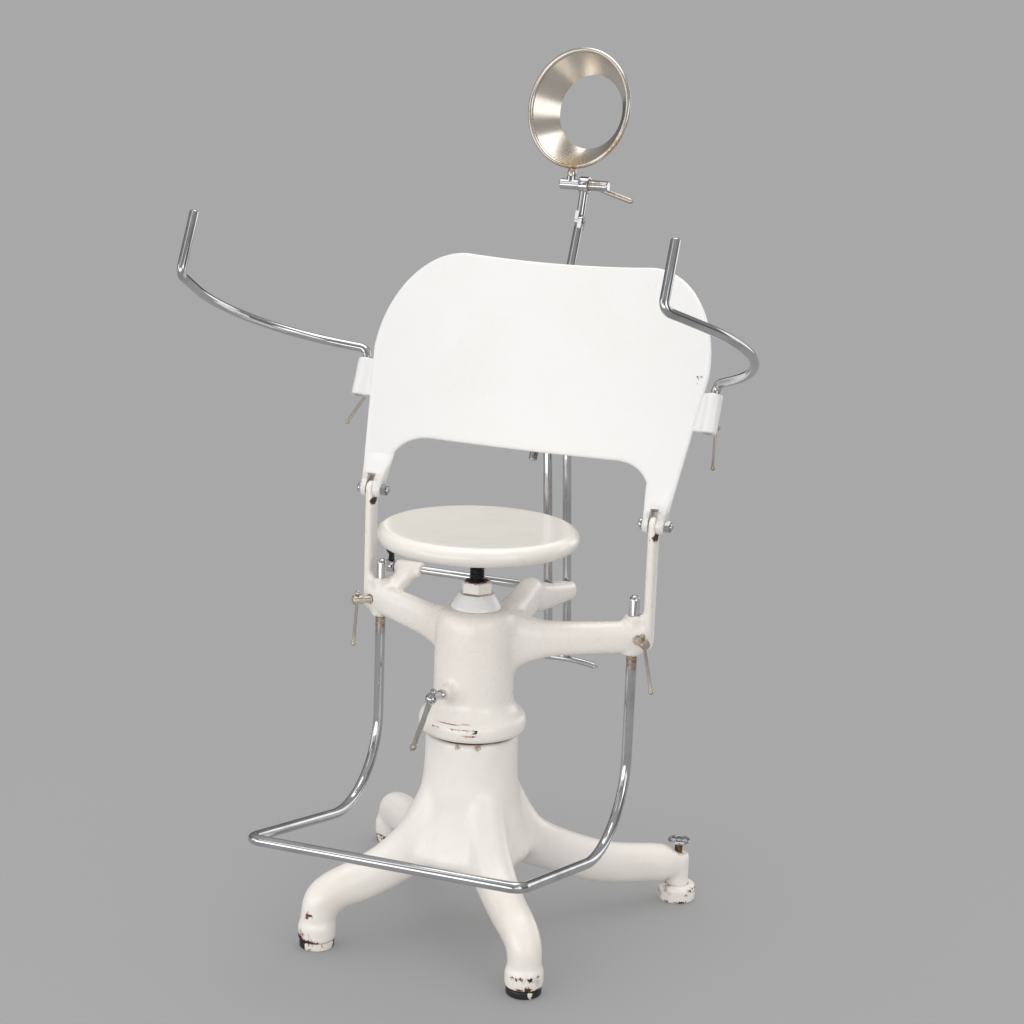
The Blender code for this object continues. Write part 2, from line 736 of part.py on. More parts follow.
def sleeve_profile():
    """Outside of the swivelling sleeve with its flange and shoulder."""
    return [
        (0.0, 0.0),
        (FLANGE_RADIUS - 0.007, 0.0),
        (FLANGE_RADIUS - 0.0015, 0.004),
        (FLANGE_RADIUS, 0.010),
        (FLANGE_RADIUS, FLANGE_HEIGHT - 0.007),
        (FLANGE_RADIUS - 0.0025, FLANGE_HEIGHT - 0.001),
        (FLANGE_RADIUS - 0.012, FLANGE_HEIGHT + 0.006),
        (SLEEVE_RADIUS + 0.002, FLANGE_HEIGHT + 0.012),
        (SLEEVE_RADIUS, FLANGE_HEIGHT + 0.022),
        (SLEEVE_RADIUS, SLEEVE_LENGTH - 0.050),
        (SLEEVE_RADIUS - 0.0015, SLEEVE_LENGTH - 0.022),
        (SLEEVE_RADIUS - 0.006, SLEEVE_LENGTH - 0.008),
        (SLEEVE_TOP_RADIUS + 0.005, SLEEVE_LENGTH - 0.002),
        (SLEEVE_TOP_RADIUS, SLEEVE_LENGTH),
        (0.0, SLEEVE_LENGTH),
    ]


def casting_arm(side):
    """Swept arm from the sleeve to a boss and the foot of its upright."""
    end = Vector((side * (UPRIGHT_SPREAD + UPRIGHT_THICKNESS / 2 - 0.001), HINGE_SETBACK, ARM_RISE))
    boss = Vector((side * BOSS_SPREAD, BOSS_SETBACK, ARM_RISE))
    root = Vector((side * SLEEVE_RADIUS * 0.35, SLEEVE_RADIUS * 0.25, ARM_RISE - 0.010))
    rows = [
        (0.0, 0.034, 0.048),
        (0.14, 0.029, 0.044),
        (0.27, 0.0235, 0.034),
        (0.42, 0.0205, ARM_HALF_HEIGHT + 0.002),
        (0.66, ARM_HALF_WIDTH + 0.002, ARM_HALF_HEIGHT),
        (1.0, ARM_HALF_WIDTH, ARM_HALF_HEIGHT - 0.001),
    ]
    way = (boss - root).normalized()
    across = Vector((0, 0, 1)).cross(way).normalized()
    up = way.cross(across)
    rings = []
    for share, half_width, half_height in rows:
        centre = root.lerp(boss, share)
        section = oval(half_width, half_height, CASTING_SIDES, 2.7)
        rings.append([centre + across * x + up * y for x, y in section])
    tail_up = ARM_HALF_HEIGHT - 0.004
    tail = oval(UPRIGHT_DEPTH / 2 - 0.001, tail_up, CASTING_SIDES, 3.0)
    rings.append([end + Vector((0, side * x, y)) for x, y in tail])
    return skin(rings)


def casting_upright(side):
    """Flat upright with a round head for the hinge pin."""
    foot = ARM_RISE - UPRIGHT_FOOT_DROP
    front = HINGE_SETBACK - UPRIGHT_DEPTH / 2
    rear = HINGE_SETBACK + UPRIGHT_DEPTH / 2
    radius = UPRIGHT_DEPTH / 2 - 0.0005
    outline = arc((front + 0.010, foot + 0.010), 0.010, 180, 270, 4)
    outline += arc((rear - 0.012, foot + 0.012), 0.012, 270, 360, 4)
    outline += arc((HINGE_SETBACK, HINGE_LEVEL), radius, 0, 180, 12)
    inner = UPRIGHT_SPREAD - UPRIGHT_THICKNESS / 2
    outer = UPRIGHT_SPREAD + UPRIGHT_THICKNESS / 2
    return plate_across_x(outline, side * inner, side * outer)


def rear_arm():
    """Arm to the rear that guides the strut, with a hump for the lock shaft."""
    x = REAR_ARM_OFFSET
    end = REAR_ARM_END_RISE
    hump = SHAFT_RISE - 0.010
    rows = [
        (0.022, ARM_RISE + 0.017, 0.024, 0.024),
        (0.075, ARM_RISE + 0.020, 0.021, 0.026),
        (0.112, ARM_RISE + 0.026, 0.019, 0.029),
        (SHAFT_SETBACK - 0.004, hump - 0.003, 0.018, 0.0285),
        (SHAFT_SETBACK + 0.022, ARM_RISE + 0.023, 0.0175, 0.0255),
        (SHAFT_SETBACK + 0.070, end + 0.0108, REAR_ARM_HALF_WIDTH, 0.0215),
        (REAR_ARM_REACH - 0.030, end + 0.003, REAR_ARM_HALF_WIDTH, REAR_ARM_END_HALF_HEIGHT + 0.001),
        (REAR_ARM_REACH - 0.004, end, REAR_ARM_HALF_WIDTH, REAR_ARM_END_HALF_HEIGHT),
        (REAR_ARM_REACH, end, REAR_ARM_HALF_WIDTH - 0.003, REAR_ARM_END_HALF_HEIGHT - 0.003),
    ]
    rings = []
    for y, z, half_width, half_height in rows:
        rings.append([(x + u, y, z + v) for u, v in oval(half_width, half_height, CASTING_SIDES, 2.8)])
    return skin(rings)


def strut_point(along, down):
    """Point beside the strut's middle line at rest, in the upper casting's frame: along is to the
    rear across the strut, down is from its pivot."""
    recline = math.radians(RECLINE_DEG)
    lean = math.radians(STRUT_LEAN_DEG)
    rear = STRUT_PIVOT_SETBACK * math.cos(recline) + STRUT_PIVOT_RISE * math.sin(recline)
    rise = STRUT_PIVOT_RISE * math.cos(recline) - STRUT_PIVOT_SETBACK * math.sin(recline)
    y = HINGE_SETBACK + rear + along * math.cos(lean) + down * math.sin(lean)
    z = HINGE_LEVEL + rise + along * math.sin(lean) - down * math.cos(lean)
    return Vector((REAR_ARM_OFFSET, y, z))


def strut_slot(along, open_end):
    """Long hole for a strut rod, with play to the front and rear, open to the rear if wanted."""
    reach = STRUT_ROD_RADIUS + STRUT_SLOT_PLAY
    half = STRUT_ROD_RADIUS + RUNNING_GAP
    middle = strut_point(along, 0.0)
    lower = strut_point(along, 0.5)
    way = (lower - middle).normalized()
    centre = middle + way * ((REAR_ARM_END_RISE + 0.012 - middle.z) / way.z)
    front_round = arc((-(reach - half), 0.0), half, 90, 270, 6)
    if open_end:
        outline = front_round + [(0.05, -half), (0.05, half)]
    else:
        outline = front_round + arc((reach - half, 0.0), half, -90, 90, 6)
    rings = []
    for step in (-0.08, 0.08):
        rings.append([centre + way * step + Vector((v, u, 0.0)) for u, v in outline])
    return skin(rings)


def swivel_lock_way():
    """Radial direction of the swivel lock."""
    turn = math.radians(SWIVEL_LOCK_TURN_DEG)
    return Vector((-math.sin(turn), -math.cos(turn), 0.0))


def clamp_way(side):
    """Direction of a footrest clamp, forward and outward from its boss."""
    turn = math.radians(CLAMP_TURN_DEG)
    return Vector((side * math.sin(turn), -math.cos(turn), 0.0))


def build_upper_casting(frame):
    """Sleeve, arms, bosses, uprights, shaft bearing and rear arm as one casting."""
    casting = make_object("upper_casting", revolve(sleeve_profile()), "cream", frame)
    shapes = []
    cuts = []
    boss_low = ARM_RISE - BOSS_LENGTH / 2 + 0.003
    hub_rise = Vector((0, 0, ARM_RISE))
    for side in (-1, 1):
        shapes.append(casting_arm(side))
        place = Vector((side * BOSS_SPREAD, BOSS_SETBACK, boss_low))
        top = place + Vector((0, 0, BOSS_LENGTH))
        shapes.append(bar(place, top, BOSS_RADIUS, BORE_SIDES, chamfer=0.002))
        shapes.append(casting_upright(side))
        rod_bore = FOOTREST_ROD_RADIUS + GAP
        cuts.append(hole(place - hub_rise, top + hub_rise, rod_bore, BORE_SIDES))
        pin = Vector((side * UPRIGHT_SPREAD, HINGE_SETBACK, HINGE_LEVEL))
        across = Vector((UPRIGHT_THICKNESS, 0, 0))
        cuts.append(hole(pin - across, pin + across, HINGE_PIN_RADIUS + GAP, ROD_SIDES))
        middle = Vector((side * BOSS_SPREAD, BOSS_SETBACK, ARM_RISE))
        screw_bore = CLAMP_SCREW_RADIUS + GAP
        cuts.append(hole(middle, middle + clamp_way(side) * 0.05, screw_bore, SMALL_SIDES))
        spot_radius = CLAMP_HEAD_RADIUS + RUNNING_GAP
        spot = middle + clamp_way(side) * BOSS_RADIUS
        cuts.append(hole(spot, spot + clamp_way(side) * 0.05, spot_radius, ROD_SIDES))
    bearing_out = Vector((-SHAFT_BEARING_OUT, SHAFT_SETBACK, SHAFT_RISE))
    bearing_in = Vector((-SHAFT_BEARING_IN, SHAFT_SETBACK, SHAFT_RISE))
    web_root = oval(0.011, 0.017, 12, 2.8)
    web_end = oval(0.019, 0.0105, 12, 2.8)
    root = Vector((-BOSS_SPREAD + 0.022, BOSS_SETBACK - 0.006, ARM_RISE + 0.008))
    end = (bearing_out + bearing_in) / 2
    web = [[root + Vector((u, 0, v)) for u, v in web_root], [end + Vector((u, 0, v)) for u, v in web_end]]
    lock_boss_end = swivel_lock_way() * SWIVEL_LOCK_BOSS_REACH
    lock_rise = Vector((0, 0, SWIVEL_LOCK_RISE))
    lock_root = swivel_lock_way() * (SLEEVE_RADIUS - 0.012)
    lock_start = lock_root + lock_rise
    lock_end = lock_boss_end + lock_rise
    lock_boss = bar(lock_start, lock_end, SWIVEL_LOCK_BOSS_RADIUS, BORE_SIDES, chamfer=0.0015)
    shapes += [skin(web), bar(bearing_out, bearing_in, SHAFT_BEARING_RADIUS, BORE_SIDES, chamfer=0.001)]
    shapes += [lock_boss, rear_arm()]
    combine(casting, "UNION", shapes)
    post_room = Vector((0, 0, SLEEVE_LENGTH - SLEEVE_TOP_WALL))
    above = Vector((0, 0, SLEEVE_LENGTH + 0.01))
    cuts.append(hole((0, 0, -0.01), post_room, POST_RADIUS + GAP, ROUND_SIDES))
    cuts.append(hole((0, 0, 0), above, SEAT_SCREW_RADIUS + RUNNING_GAP, BORE_SIDES))
    shaft_out = Vector((-SHAFT_END - 0.02, SHAFT_SETBACK, SHAFT_RISE))
    shaft_in = Vector((REAR_ARM_OFFSET, SHAFT_SETBACK, SHAFT_RISE))
    cuts.append(hole(shaft_out, shaft_in, SHAFT_RADIUS + GAP, BORE_SIDES))
    lock_inner = swivel_lock_way() * (POST_RADIUS - 0.002) + lock_rise
    lock_outer = swivel_lock_way() * (SWIVEL_LOCK_BOSS_REACH + 0.02) + lock_rise
    cuts.append(hole(lock_inner, lock_outer, SWIVEL_LOCK_SCREW_RADIUS + GAP, ROD_SIDES))
    cuts.append(strut_slot(-STRUT_SPACING / 2, False))
    cuts.append(strut_slot(STRUT_SPACING / 2, True))
    combine(casting, "DIFFERENCE", cuts)


def build_swivel_lock(parent):
    """Clamp screw with a ball hub and a slim lever that bears on the swivel post."""
    frame = make_frame("swivel_lock_axis", (0.0, 0.0, SWIVEL_LOCK_RISE), parent=parent)
    way = swivel_lock_way()
    start = POST_RADIUS + RUNNING_GAP
    ball = SWIVEL_LOCK_BALL_RADIUS
    profile = [
        (SWIVEL_LOCK_SCREW_RADIUS - 0.001, 0.0),
        (SWIVEL_LOCK_SCREW_RADIUS, 0.001),
        (SWIVEL_LOCK_SCREW_RADIUS, SWIVEL_LOCK_BOSS_REACH + 0.001 - start),
        (SWIVEL_LOCK_SCREW_RADIUS + 0.0018, SWIVEL_LOCK_BOSS_REACH + 0.0015 - start),
    ]
    for k in range(1, 8):
        angle = math.pi * k / 8
        radius = ball * math.sin(angle)
        height = SWIVEL_LOCK_REACH - start - ball * math.cos(angle)
        if radius > SWIVEL_LOCK_SCREW_RADIUS + 0.0018 or k > 4:
            profile.append((radius, height))
    profile.append((0.0, SWIVEL_LOCK_REACH + ball - start))
    screw = turned(profile, way * start, way, BORE_SIDES)
    lever = make_object("swivel_lock_lever", screw, "chrome", frame)
    lean = math.radians(SWIVEL_LEVER_LEAN_DEG)
    side = Vector((0, 0, 1)).cross(way)
    down = Vector((0, 0, -math.cos(lean))) + side * math.sin(lean) * math.copysign(1.0, -side.x)
    centre = way * SWIVEL_LOCK_REACH
    arm = [
        (0.0052, 0.0),
        (0.0046, ball + 0.002),
        (0.0040, SWIVEL_LEVER_LENGTH * 0.45),
        (0.0044, SWIVEL_LEVER_LENGTH - 0.010),
        (0.0050, SWIVEL_LEVER_LENGTH - 0.005),
        (0.0036, SWIVEL_LEVER_LENGTH - 0.001),
        (0.0, SWIVEL_LEVER_LENGTH),
    ]
    combine(lever, "UNION", [turned(arm, centre, down, ROD_SIDES)])


def build_seat(parent):
    """Seat disc on its flange and screw, the nut it runs in and the stop disc below."""
    collar_low = SLEEVE_LENGTH + GAP
    collar_top = collar_low + NUT_COLLAR_HEIGHT
    bore = SEAT_SCREW_RADIUS + RUNNING_GAP
    nut_corner = NUT_ACROSS_CORNERS / 2
    collar = [
        (bore, collar_low),
        (NUT_COLLAR_RADIUS, collar_low),
        (NUT_COLLAR_RADIUS - 0.002, collar_low + 0.005),
        (nut_corner + 0.005, collar_top - 0.005),
        (nut_corner + 0.002, collar_top),
        (bore, collar_top),
    ]
    make_object("nut_collar", revolve(collar, ROUND_SIDES, closed=True), "cream", parent)
    nut_low = collar_top + GAP
    nut_top = nut_low + NUT_HEIGHT
    nut = [
        (nut_corner, nut_low),
        (nut_corner, nut_top - 0.004),
        (nut_corner - 0.004, nut_top - 0.001),
        (nut_corner - 0.008, nut_top),
    ]
    nut_object = make_object("seat_nut", revolve(nut, NUT_SIDES), "cream", parent)
    combine(nut_object, "DIFFERENCE", [hole((0, 0, 0), (0, 0, nut_top + 0.01), bore, BORE_SIDES)])
    flange_low = nut_top + SEAT_SCREW_SHOWING
    frame = make_frame("seat_axis", (0.0, 0.0, flange_low), parent=parent)
    seat_low = SEAT_FLANGE_HEIGHT + GAP
    seat_top = seat_low + SEAT_THICKNESS
    round_radius = SEAT_THICKNESS / 2
    rim = arc((SEAT_RADIUS - round_radius, seat_low + round_radius), round_radius, -80, 80, 6)
    disc = [(0.0, seat_low), (SEAT_RADIUS * 0.72, seat_low)] + rim
    disc.append((SEAT_RADIUS * 0.80, seat_top - SEAT_DISH * 0.25))
    disc.append((SEAT_RADIUS * 0.40, seat_top - SEAT_DISH * 0.85))
    disc.append((0.0, seat_top - SEAT_DISH))
    make_object("seat_disc", revolve(disc, RIM_SIDES), "cream", frame)
    flange = [
        (0.0, 0.0),
        (SEAT_SCREW_RADIUS + 0.003, 0.0),
        (SEAT_FLANGE_RADIUS, SEAT_FLANGE_HEIGHT * 0.45),
        (SEAT_FLANGE_RADIUS, SEAT_FLANGE_HEIGHT),
        (0.0, SEAT_FLANGE_HEIGHT),
    ]
    make_object("seat_flange", revolve(flange, BORE_SIDES), "black", frame)
    screw_top = -GAP
    screw_low = screw_top - SEAT_SCREW_SHOWING - NUT_HEIGHT - SEAT_SCREW_BELOW_NUT
    screw = [
        (0.0, screw_low),
        (SEAT_SCREW_RADIUS - 0.002, screw_low),
        (SEAT_SCREW_RADIUS, screw_low + 0.002),
        (SEAT_SCREW_RADIUS, screw_top),
        (0.0, screw_top),
    ]
    make_object("seat_screw", revolve(screw, BORE_SIDES), "black", frame)
    disc_top = screw_low - GAP
    disc_low = disc_top - STOP_DISC_HEIGHT
    stop = [
        (0.0, disc_low),
        (STOP_DISC_RADIUS - 0.001, disc_low),
        (STOP_DISC_RADIUS, disc_low + 0.001),
        (STOP_DISC_RADIUS, disc_top),
        (0.0, disc_top),
    ]
    make_object("screw_stop_disc", revolve(stop, BORE_SIDES), "steel", frame)


def build_footrest(parent):
    """One bent rod whose two ends slide in the bosses."""
    frame = make_frame("footrest_axis", (0.0, BOSS_SETBACK, ARM_RISE), parent=parent)
    top = FOOTREST_TOP_RISE - ARM_RISE
    corner = -FOOTREST_CORNER_DROP - ARM_RISE
    left_front = -(FOOTREST_FRONT + FOOTREST_SKEW + BOSS_SETBACK)
    right_front = -(FOOTREST_FRONT - FOOTREST_SKEW + BOSS_SETBACK)
    front_level = -FOOTREST_FRONT_DROP - ARM_RISE
    corners = [
        (-BOSS_SPREAD, 0.0, top),
        (-BOSS_SPREAD, 0.0, corner),
        (-FOOTREST_FRONT_SPREAD, left_front, front_level),
        (FOOTREST_FRONT_SPREAD, right_front, front_level),
        (BOSS_SPREAD, 0.0, corner),
        (BOSS_SPREAD, 0.0, top),
    ]
    bends = [FOOTREST_BEND_RADIUS, FOOTREST_CORNER_RADIUS, FOOTREST_CORNER_RADIUS, FOOTREST_BEND_RADIUS]
    points, radii = domed(rounded_path(corners, bends), FOOTREST_ROD_RADIUS)
    make_object("footrest_rod", sweep(points, radii), "chrome", frame)


def tommy_bar(name, frame, way, upper, lower, radius, ball, finish):
    """Loose bar with a ball at each end, along a direction through the frame's origin."""
    neck = math.sqrt(ball**2 - radius**2)
    waist = ball * math.sqrt(0.5)
    lower_ball = [(0.0, -lower - ball), (waist, -lower - waist), (ball, -lower), (radius, -lower + neck)]
    upper_ball = [(radius, upper - neck), (ball, upper), (waist, upper + waist), (0.0, upper + ball)]
    make_object(name, turned(lower_ball + upper_ball, (0, 0, 0), way, SMALL_SIDES), finish, frame)


def clamp_screw(name, frame, way, tip, seat, neck_end, head_length, screw, head, cross, cross_radius, finish):
    """Screw with a slim neck and a drilled round head, along a direction from the frame's origin."""
    neck = (screw + head) / 2
    profile = [
        (screw - 0.0008, tip),
        (screw, tip + 0.001),
        (screw, seat + 0.0006),
        (neck, seat + 0.0012),
        (neck * 0.92, neck_end - 0.003),
        (head - 0.001, neck_end),
        (head, neck_end + 0.001),
        (head, neck_end + head_length - 0.0015),
        (head - 0.002, neck_end + head_length),
    ]
    screw_object = make_object(name, turned(profile, (0, 0, 0), way, ROD_SIDES), finish, frame)
    centre = way * (neck_end + head_length / 2)
    cross_hole = hole(centre - cross * 0.03, centre + cross * 0.03, cross_radius + GAP)
    combine(screw_object, "DIFFERENCE", [cross_hole])
    return centre


def build_footrest_clamps(parent):
    """Drilled-head screws that hold the footrest, each with a loose tommy bar."""
    lean = math.radians(CLAMP_BAR_LEAN_DEG)
    for side, label in ((-1, "left"), (1, "right")):
        place = (side * BOSS_SPREAD, BOSS_SETBACK, ARM_RISE)
        frame = make_frame(f"footrest_clamp_axis_{label}", place, parent=parent)
        way = clamp_way(side)
        swing = way.cross(Vector((0, 0, 1)))
        up = Vector((0, 0, math.cos(lean))) - swing * math.copysign(math.sin(lean), swing.y)
        centre = clamp_screw(
            f"footrest_clamp_{label}",
            frame,
            way,
            FOOTREST_ROD_RADIUS + GAP,
            BOSS_RADIUS,
            CLAMP_NECK_REACH,
            CLAMP_HEAD_LENGTH,
            CLAMP_SCREW_RADIUS,
            CLAMP_HEAD_RADIUS,
            up,
            CLAMP_BAR_RADIUS,
            "nickel",
        )
        bar_frame = make_frame(f"footrest_bar_axis_{label}", centre, parent=frame)
        above = CLAMP_HEAD_RADIUS + CLAMP_BAR_BALL_RADIUS + GAP
        below = CLAMP_BAR_LENGTH - above
        name = f"footrest_bar_{label}"
        tommy_bar(name, bar_frame, up, above, below, CLAMP_BAR_RADIUS, CLAMP_BAR_BALL_RADIUS, "nickel")


def build_lock_shaft(parent):
    """Cross shaft with a black knob that locks the recline strut in the rear arm."""
    frame = make_frame("lock_shaft_axis", (0.0, SHAFT_SETBACK, SHAFT_RISE), parent=parent)
    hub_in = SHAFT_END - SHAFT_HUB_LENGTH
    inner_end = SHAFT_END + REAR_ARM_OFFSET - GAP
    profile = [
        (SHAFT_HUB_RADIUS - 0.0015, 0.0),
        (SHAFT_HUB_RADIUS, 0.0015),
        (SHAFT_HUB_RADIUS, SHAFT_HUB_LENGTH - 0.001),
        (SHAFT_HUB_RADIUS - 0.001, SHAFT_HUB_LENGTH),
        (SHAFT_RADIUS, SHAFT_HUB_LENGTH),
        (SHAFT_RADIUS, inner_end),
    ]
    make_object("lock_shaft", turned(profile, (-SHAFT_END, 0, 0), (1, 0, 0), BORE_SIDES), "chrome", frame)
    knob_low = SHAFT_HUB_RADIUS + GAP
    knob = [
        (0.0, knob_low),
        (0.0050, knob_low),
        (0.0044, LOCK_KNOB_REACH - LOCK_KNOB_RADIUS),
        (LOCK_KNOB_RADIUS * 0.80, LOCK_KNOB_REACH - LOCK_KNOB_RADIUS * 0.60),
        (LOCK_KNOB_RADIUS, LOCK_KNOB_REACH),
        (LOCK_KNOB_RADIUS * 0.80, LOCK_KNOB_REACH + LOCK_KNOB_RADIUS * 0.60),
        (0.0, LOCK_KNOB_REACH + LOCK_KNOB_RADIUS),
    ]
    place = (-(SHAFT_END + hub_in) / 2, 0.0, 0.0)
    make_object("lock_knob", turned(knob, place, (0, 0, 1), BORE_SIDES), "black", frame)


def hollow_at(x):
    """How far the middle of the plate's wall lies behind the hinge line at a width."""
    at_fork = PLATE_HOLLOW * (UPRIGHT_SPREAD / PLATE_HALF_WIDTH) ** 2
    return at_fork - PLATE_HOLLOW * (x / PLATE_HALF_WIDTH) ** 2


def plate_low(x):
    """Lower edge of the plate: arch, leg and the slanting outer side."""
    inner = PLATE_LEG_INNER - PLATE_ARCH_CORNER
    if x <= inner:
        return PLATE_ARCH_RISE
    if x < PLATE_LEG_INNER:
        share = (x - inner) / PLATE_ARCH_CORNER
        return PLATE_LEG_RISE + (PLATE_ARCH_RISE - PLATE_LEG_RISE) * (1 - share**2.4) ** (1 / 2.4)
    if x <= PLATE_LEG_OUTER:
        return PLATE_LEG_RISE
    share = (x - PLATE_LEG_OUTER) / (PLATE_HALF_WIDTH - PLATE_LEG_OUTER)
    return PLATE_LEG_RISE + (PLATE_WIDEST_RISE - PLATE_LEG_RISE) * share


def plate_high(x):
    """Upper edge of the plate: a nearly level top and a big round corner."""
    inner = PLATE_HALF_WIDTH - PLATE_CORNER_WIDTH
    if x <= inner:
        return PLATE_TOP_RISE - PLATE_TOP_DIP * (1 - (x / inner) ** 2)
    share = min(1.0, (x - inner) / PLATE_CORNER_WIDTH)
    return PLATE_WIDEST_RISE + (PLATE_TOP_RISE - PLATE_WIDEST_RISE) * math.sqrt(max(0.0, 1 - share**2))


def plate_stations():
    """Widths at which the plate's edges are drawn, closer where they bend."""
    inner_top = PLATE_HALF_WIDTH - PLATE_CORNER_WIDTH
    inner_arch = PLATE_LEG_INNER - PLATE_ARCH_CORNER
    widths = {0.0, inner_top * 0.35, inner_top * 0.7, PLATE_LEG_INNER, PLATE_LEG_OUTER}
    for k in range(8):
        widths.add(inner_top + PLATE_CORNER_WIDTH * math.sin(math.pi / 2 * k / 8))
    for k in range(5):
        widths.add(inner_arch + PLATE_ARCH_CORNER * math.sin(math.pi / 2 * k / 5))
    widths.add(PLATE_HALF_WIDTH - 0.0012)
    ordered = sorted(widths)
    kept = [ordered[0]]
    for width in ordered[1:]:
        if width - kept[-1] > 0.0011:
            kept.append(width)
    return kept


def plate_sheet():
    """Hollow-curved sheet of the back, lofted from side to side."""
    half = plate_stations()
    rings = []
    for x in [-value for value in reversed(half[1:])] + half:
        low, high = plate_low(abs(x)), plate_high(abs(x))
        middle = hollow_at(abs(x))
        front, rear = middle - PLATE_THICKNESS / 2, middle + PLATE_THICKNESS / 2
        rounding = min(PLATE_EDGE_ROUND, (high - low) * 0.2)
        ring = [(front + rounding, low), (front, low + rounding)]
        ring += [(front, high - rounding), (front + rounding, high)]
        ring += [(rear - rounding, high), (rear, high - rounding)]
        ring += [(rear, low + rounding), (rear - rounding, low)]
        rings.append([(x, y, z) for y, z in ring])
    return skin(rings)


def fork_block(side):
    """Thick end of a plate leg, round about the hinge pin."""
    half_top = PLATE_THICKNESS / 2
    outline = arc((0.0, 0.0), FORK_RADIUS, 180, 360, 12)
    outline += [(FORK_RADIUS * 0.86, FORK_RADIUS * 0.9), (half_top, FORK_TOP_RISE)]
    outline += [(-half_top, FORK_TOP_RISE), (-FORK_RADIUS * 0.86, FORK_RADIUS * 0.9)]
    inner = UPRIGHT_SPREAD - FORK_WIDTH / 2
    return plate_across_x(outline, side * inner, side * (inner + FORK_WIDTH))


def build_back_plate(frame):
    """White hollow-curved back with two forks and two arm sleeves."""
    plate = make_object("back_plate", plate_sheet(), "white", frame)
    shapes = []
    cuts = []
    sleeve_top = ARM_SLEEVE_LOW + ARM_SLEEVE_LENGTH
    for side in (-1, 1):
        shapes.append(fork_block(side))
        low = Vector((side * ARM_SLEEVE_SPREAD, 0.0, ARM_SLEEVE_LOW))
        high = Vector((side * ARM_SLEEVE_SPREAD, 0.0, sleeve_top))
        shapes.append(bar(low, high, ARM_SLEEVE_RADIUS, BORE_SIDES, chamfer=0.001))
        tab_in = side * (PLATE_HALF_WIDTH - 0.024)
        tab_out = side * ARM_SLEEVE_SPREAD
        tab_low = (min(tab_in, tab_out), -0.0068, ARM_SLEEVE_LOW + 0.0004)
        tab_high = (max(tab_in, tab_out), 0.0052, sleeve_top - 0.0004)
        shapes.append(box(tab_low, tab_high))
        slot_half = UPRIGHT_THICKNESS / 2 + RUNNING_GAP
        slot_x = side * UPRIGHT_SPREAD
        slot_low = (slot_x - slot_half, -0.04, -0.04)
        cuts.append(box(slot_low, (slot_x + slot_half, 0.04, FORK_SLOT_RISE)))
        reach = Vector((FORK_WIDTH, 0, 0))
        pin = Vector((slot_x, 0, 0))
        cuts.append(hole(pin - reach, pin + reach, HINGE_PIN_RADIUS + GAP, ROD_SIDES))
        along = Vector((0, 0, 0.05))
        cuts.append(hole(low - along, high + along, ARM_ROD_RADIUS + GAP, BORE_SIDES))
        screw = Vector((side * ARM_SLEEVE_SPREAD, 0.0, ARM_SLEEVE_LOW + ARM_CLAMP_RISE))
        cuts.append(hole(screw, screw + Vector((0, 0.05, 0)), ARM_CLAMP_SCREW_RADIUS + GAP, SMALL_SIDES))
    combine(plate, "UNION", shapes)
    combine(plate, "DIFFERENCE", cuts)


def build_hinge_bolts(frame):
    """Hinge bolts with their heads towards the left of the chair, and their nuts."""
    for side, label in ((-1, "left"), (1, "right")):
        head_end = Vector((side * UPRIGHT_SPREAD - FORK_WIDTH / 2 - GAP - BOLT_HEAD_HEIGHT, 0, 0))
        nut_low = BOLT_HEAD_HEIGHT + FORK_WIDTH + 2 * GAP
        tip = nut_low + NUT_LENGTH + 0.003
        bolt = [
            (BOLT_HEAD_RADIUS - 0.0015, 0.0),
            (BOLT_HEAD_RADIUS, 0.0012),
            (BOLT_HEAD_RADIUS, BOLT_HEAD_HEIGHT),
            (HINGE_PIN_RADIUS, BOLT_HEAD_HEIGHT),
            (HINGE_PIN_RADIUS, tip - 0.001),
            (HINGE_PIN_RADIUS - 0.001, tip),
        ]
        nut_top = nut_low + NUT_LENGTH
        nut = [(NUT_RADIUS, nut_low), (NUT_RADIUS, nut_top - 0.0015), (NUT_RADIUS - 0.0018, nut_top)]
        make_object(f"hinge_bolt_{label}", turned(bolt, head_end, (1, 0, 0)), "steel", frame)
        nut_solid = turned(nut, head_end, (1, 0, 0), NUT_SIDES)
        nut_object = make_object(f"hinge_nut_{label}", nut_solid, "steel", frame)
        reach = Vector((tip + 0.01, 0, 0))
        combine(nut_object, "DIFFERENCE", [hole(head_end, head_end + reach, HINGE_PIN_RADIUS + GAP)])


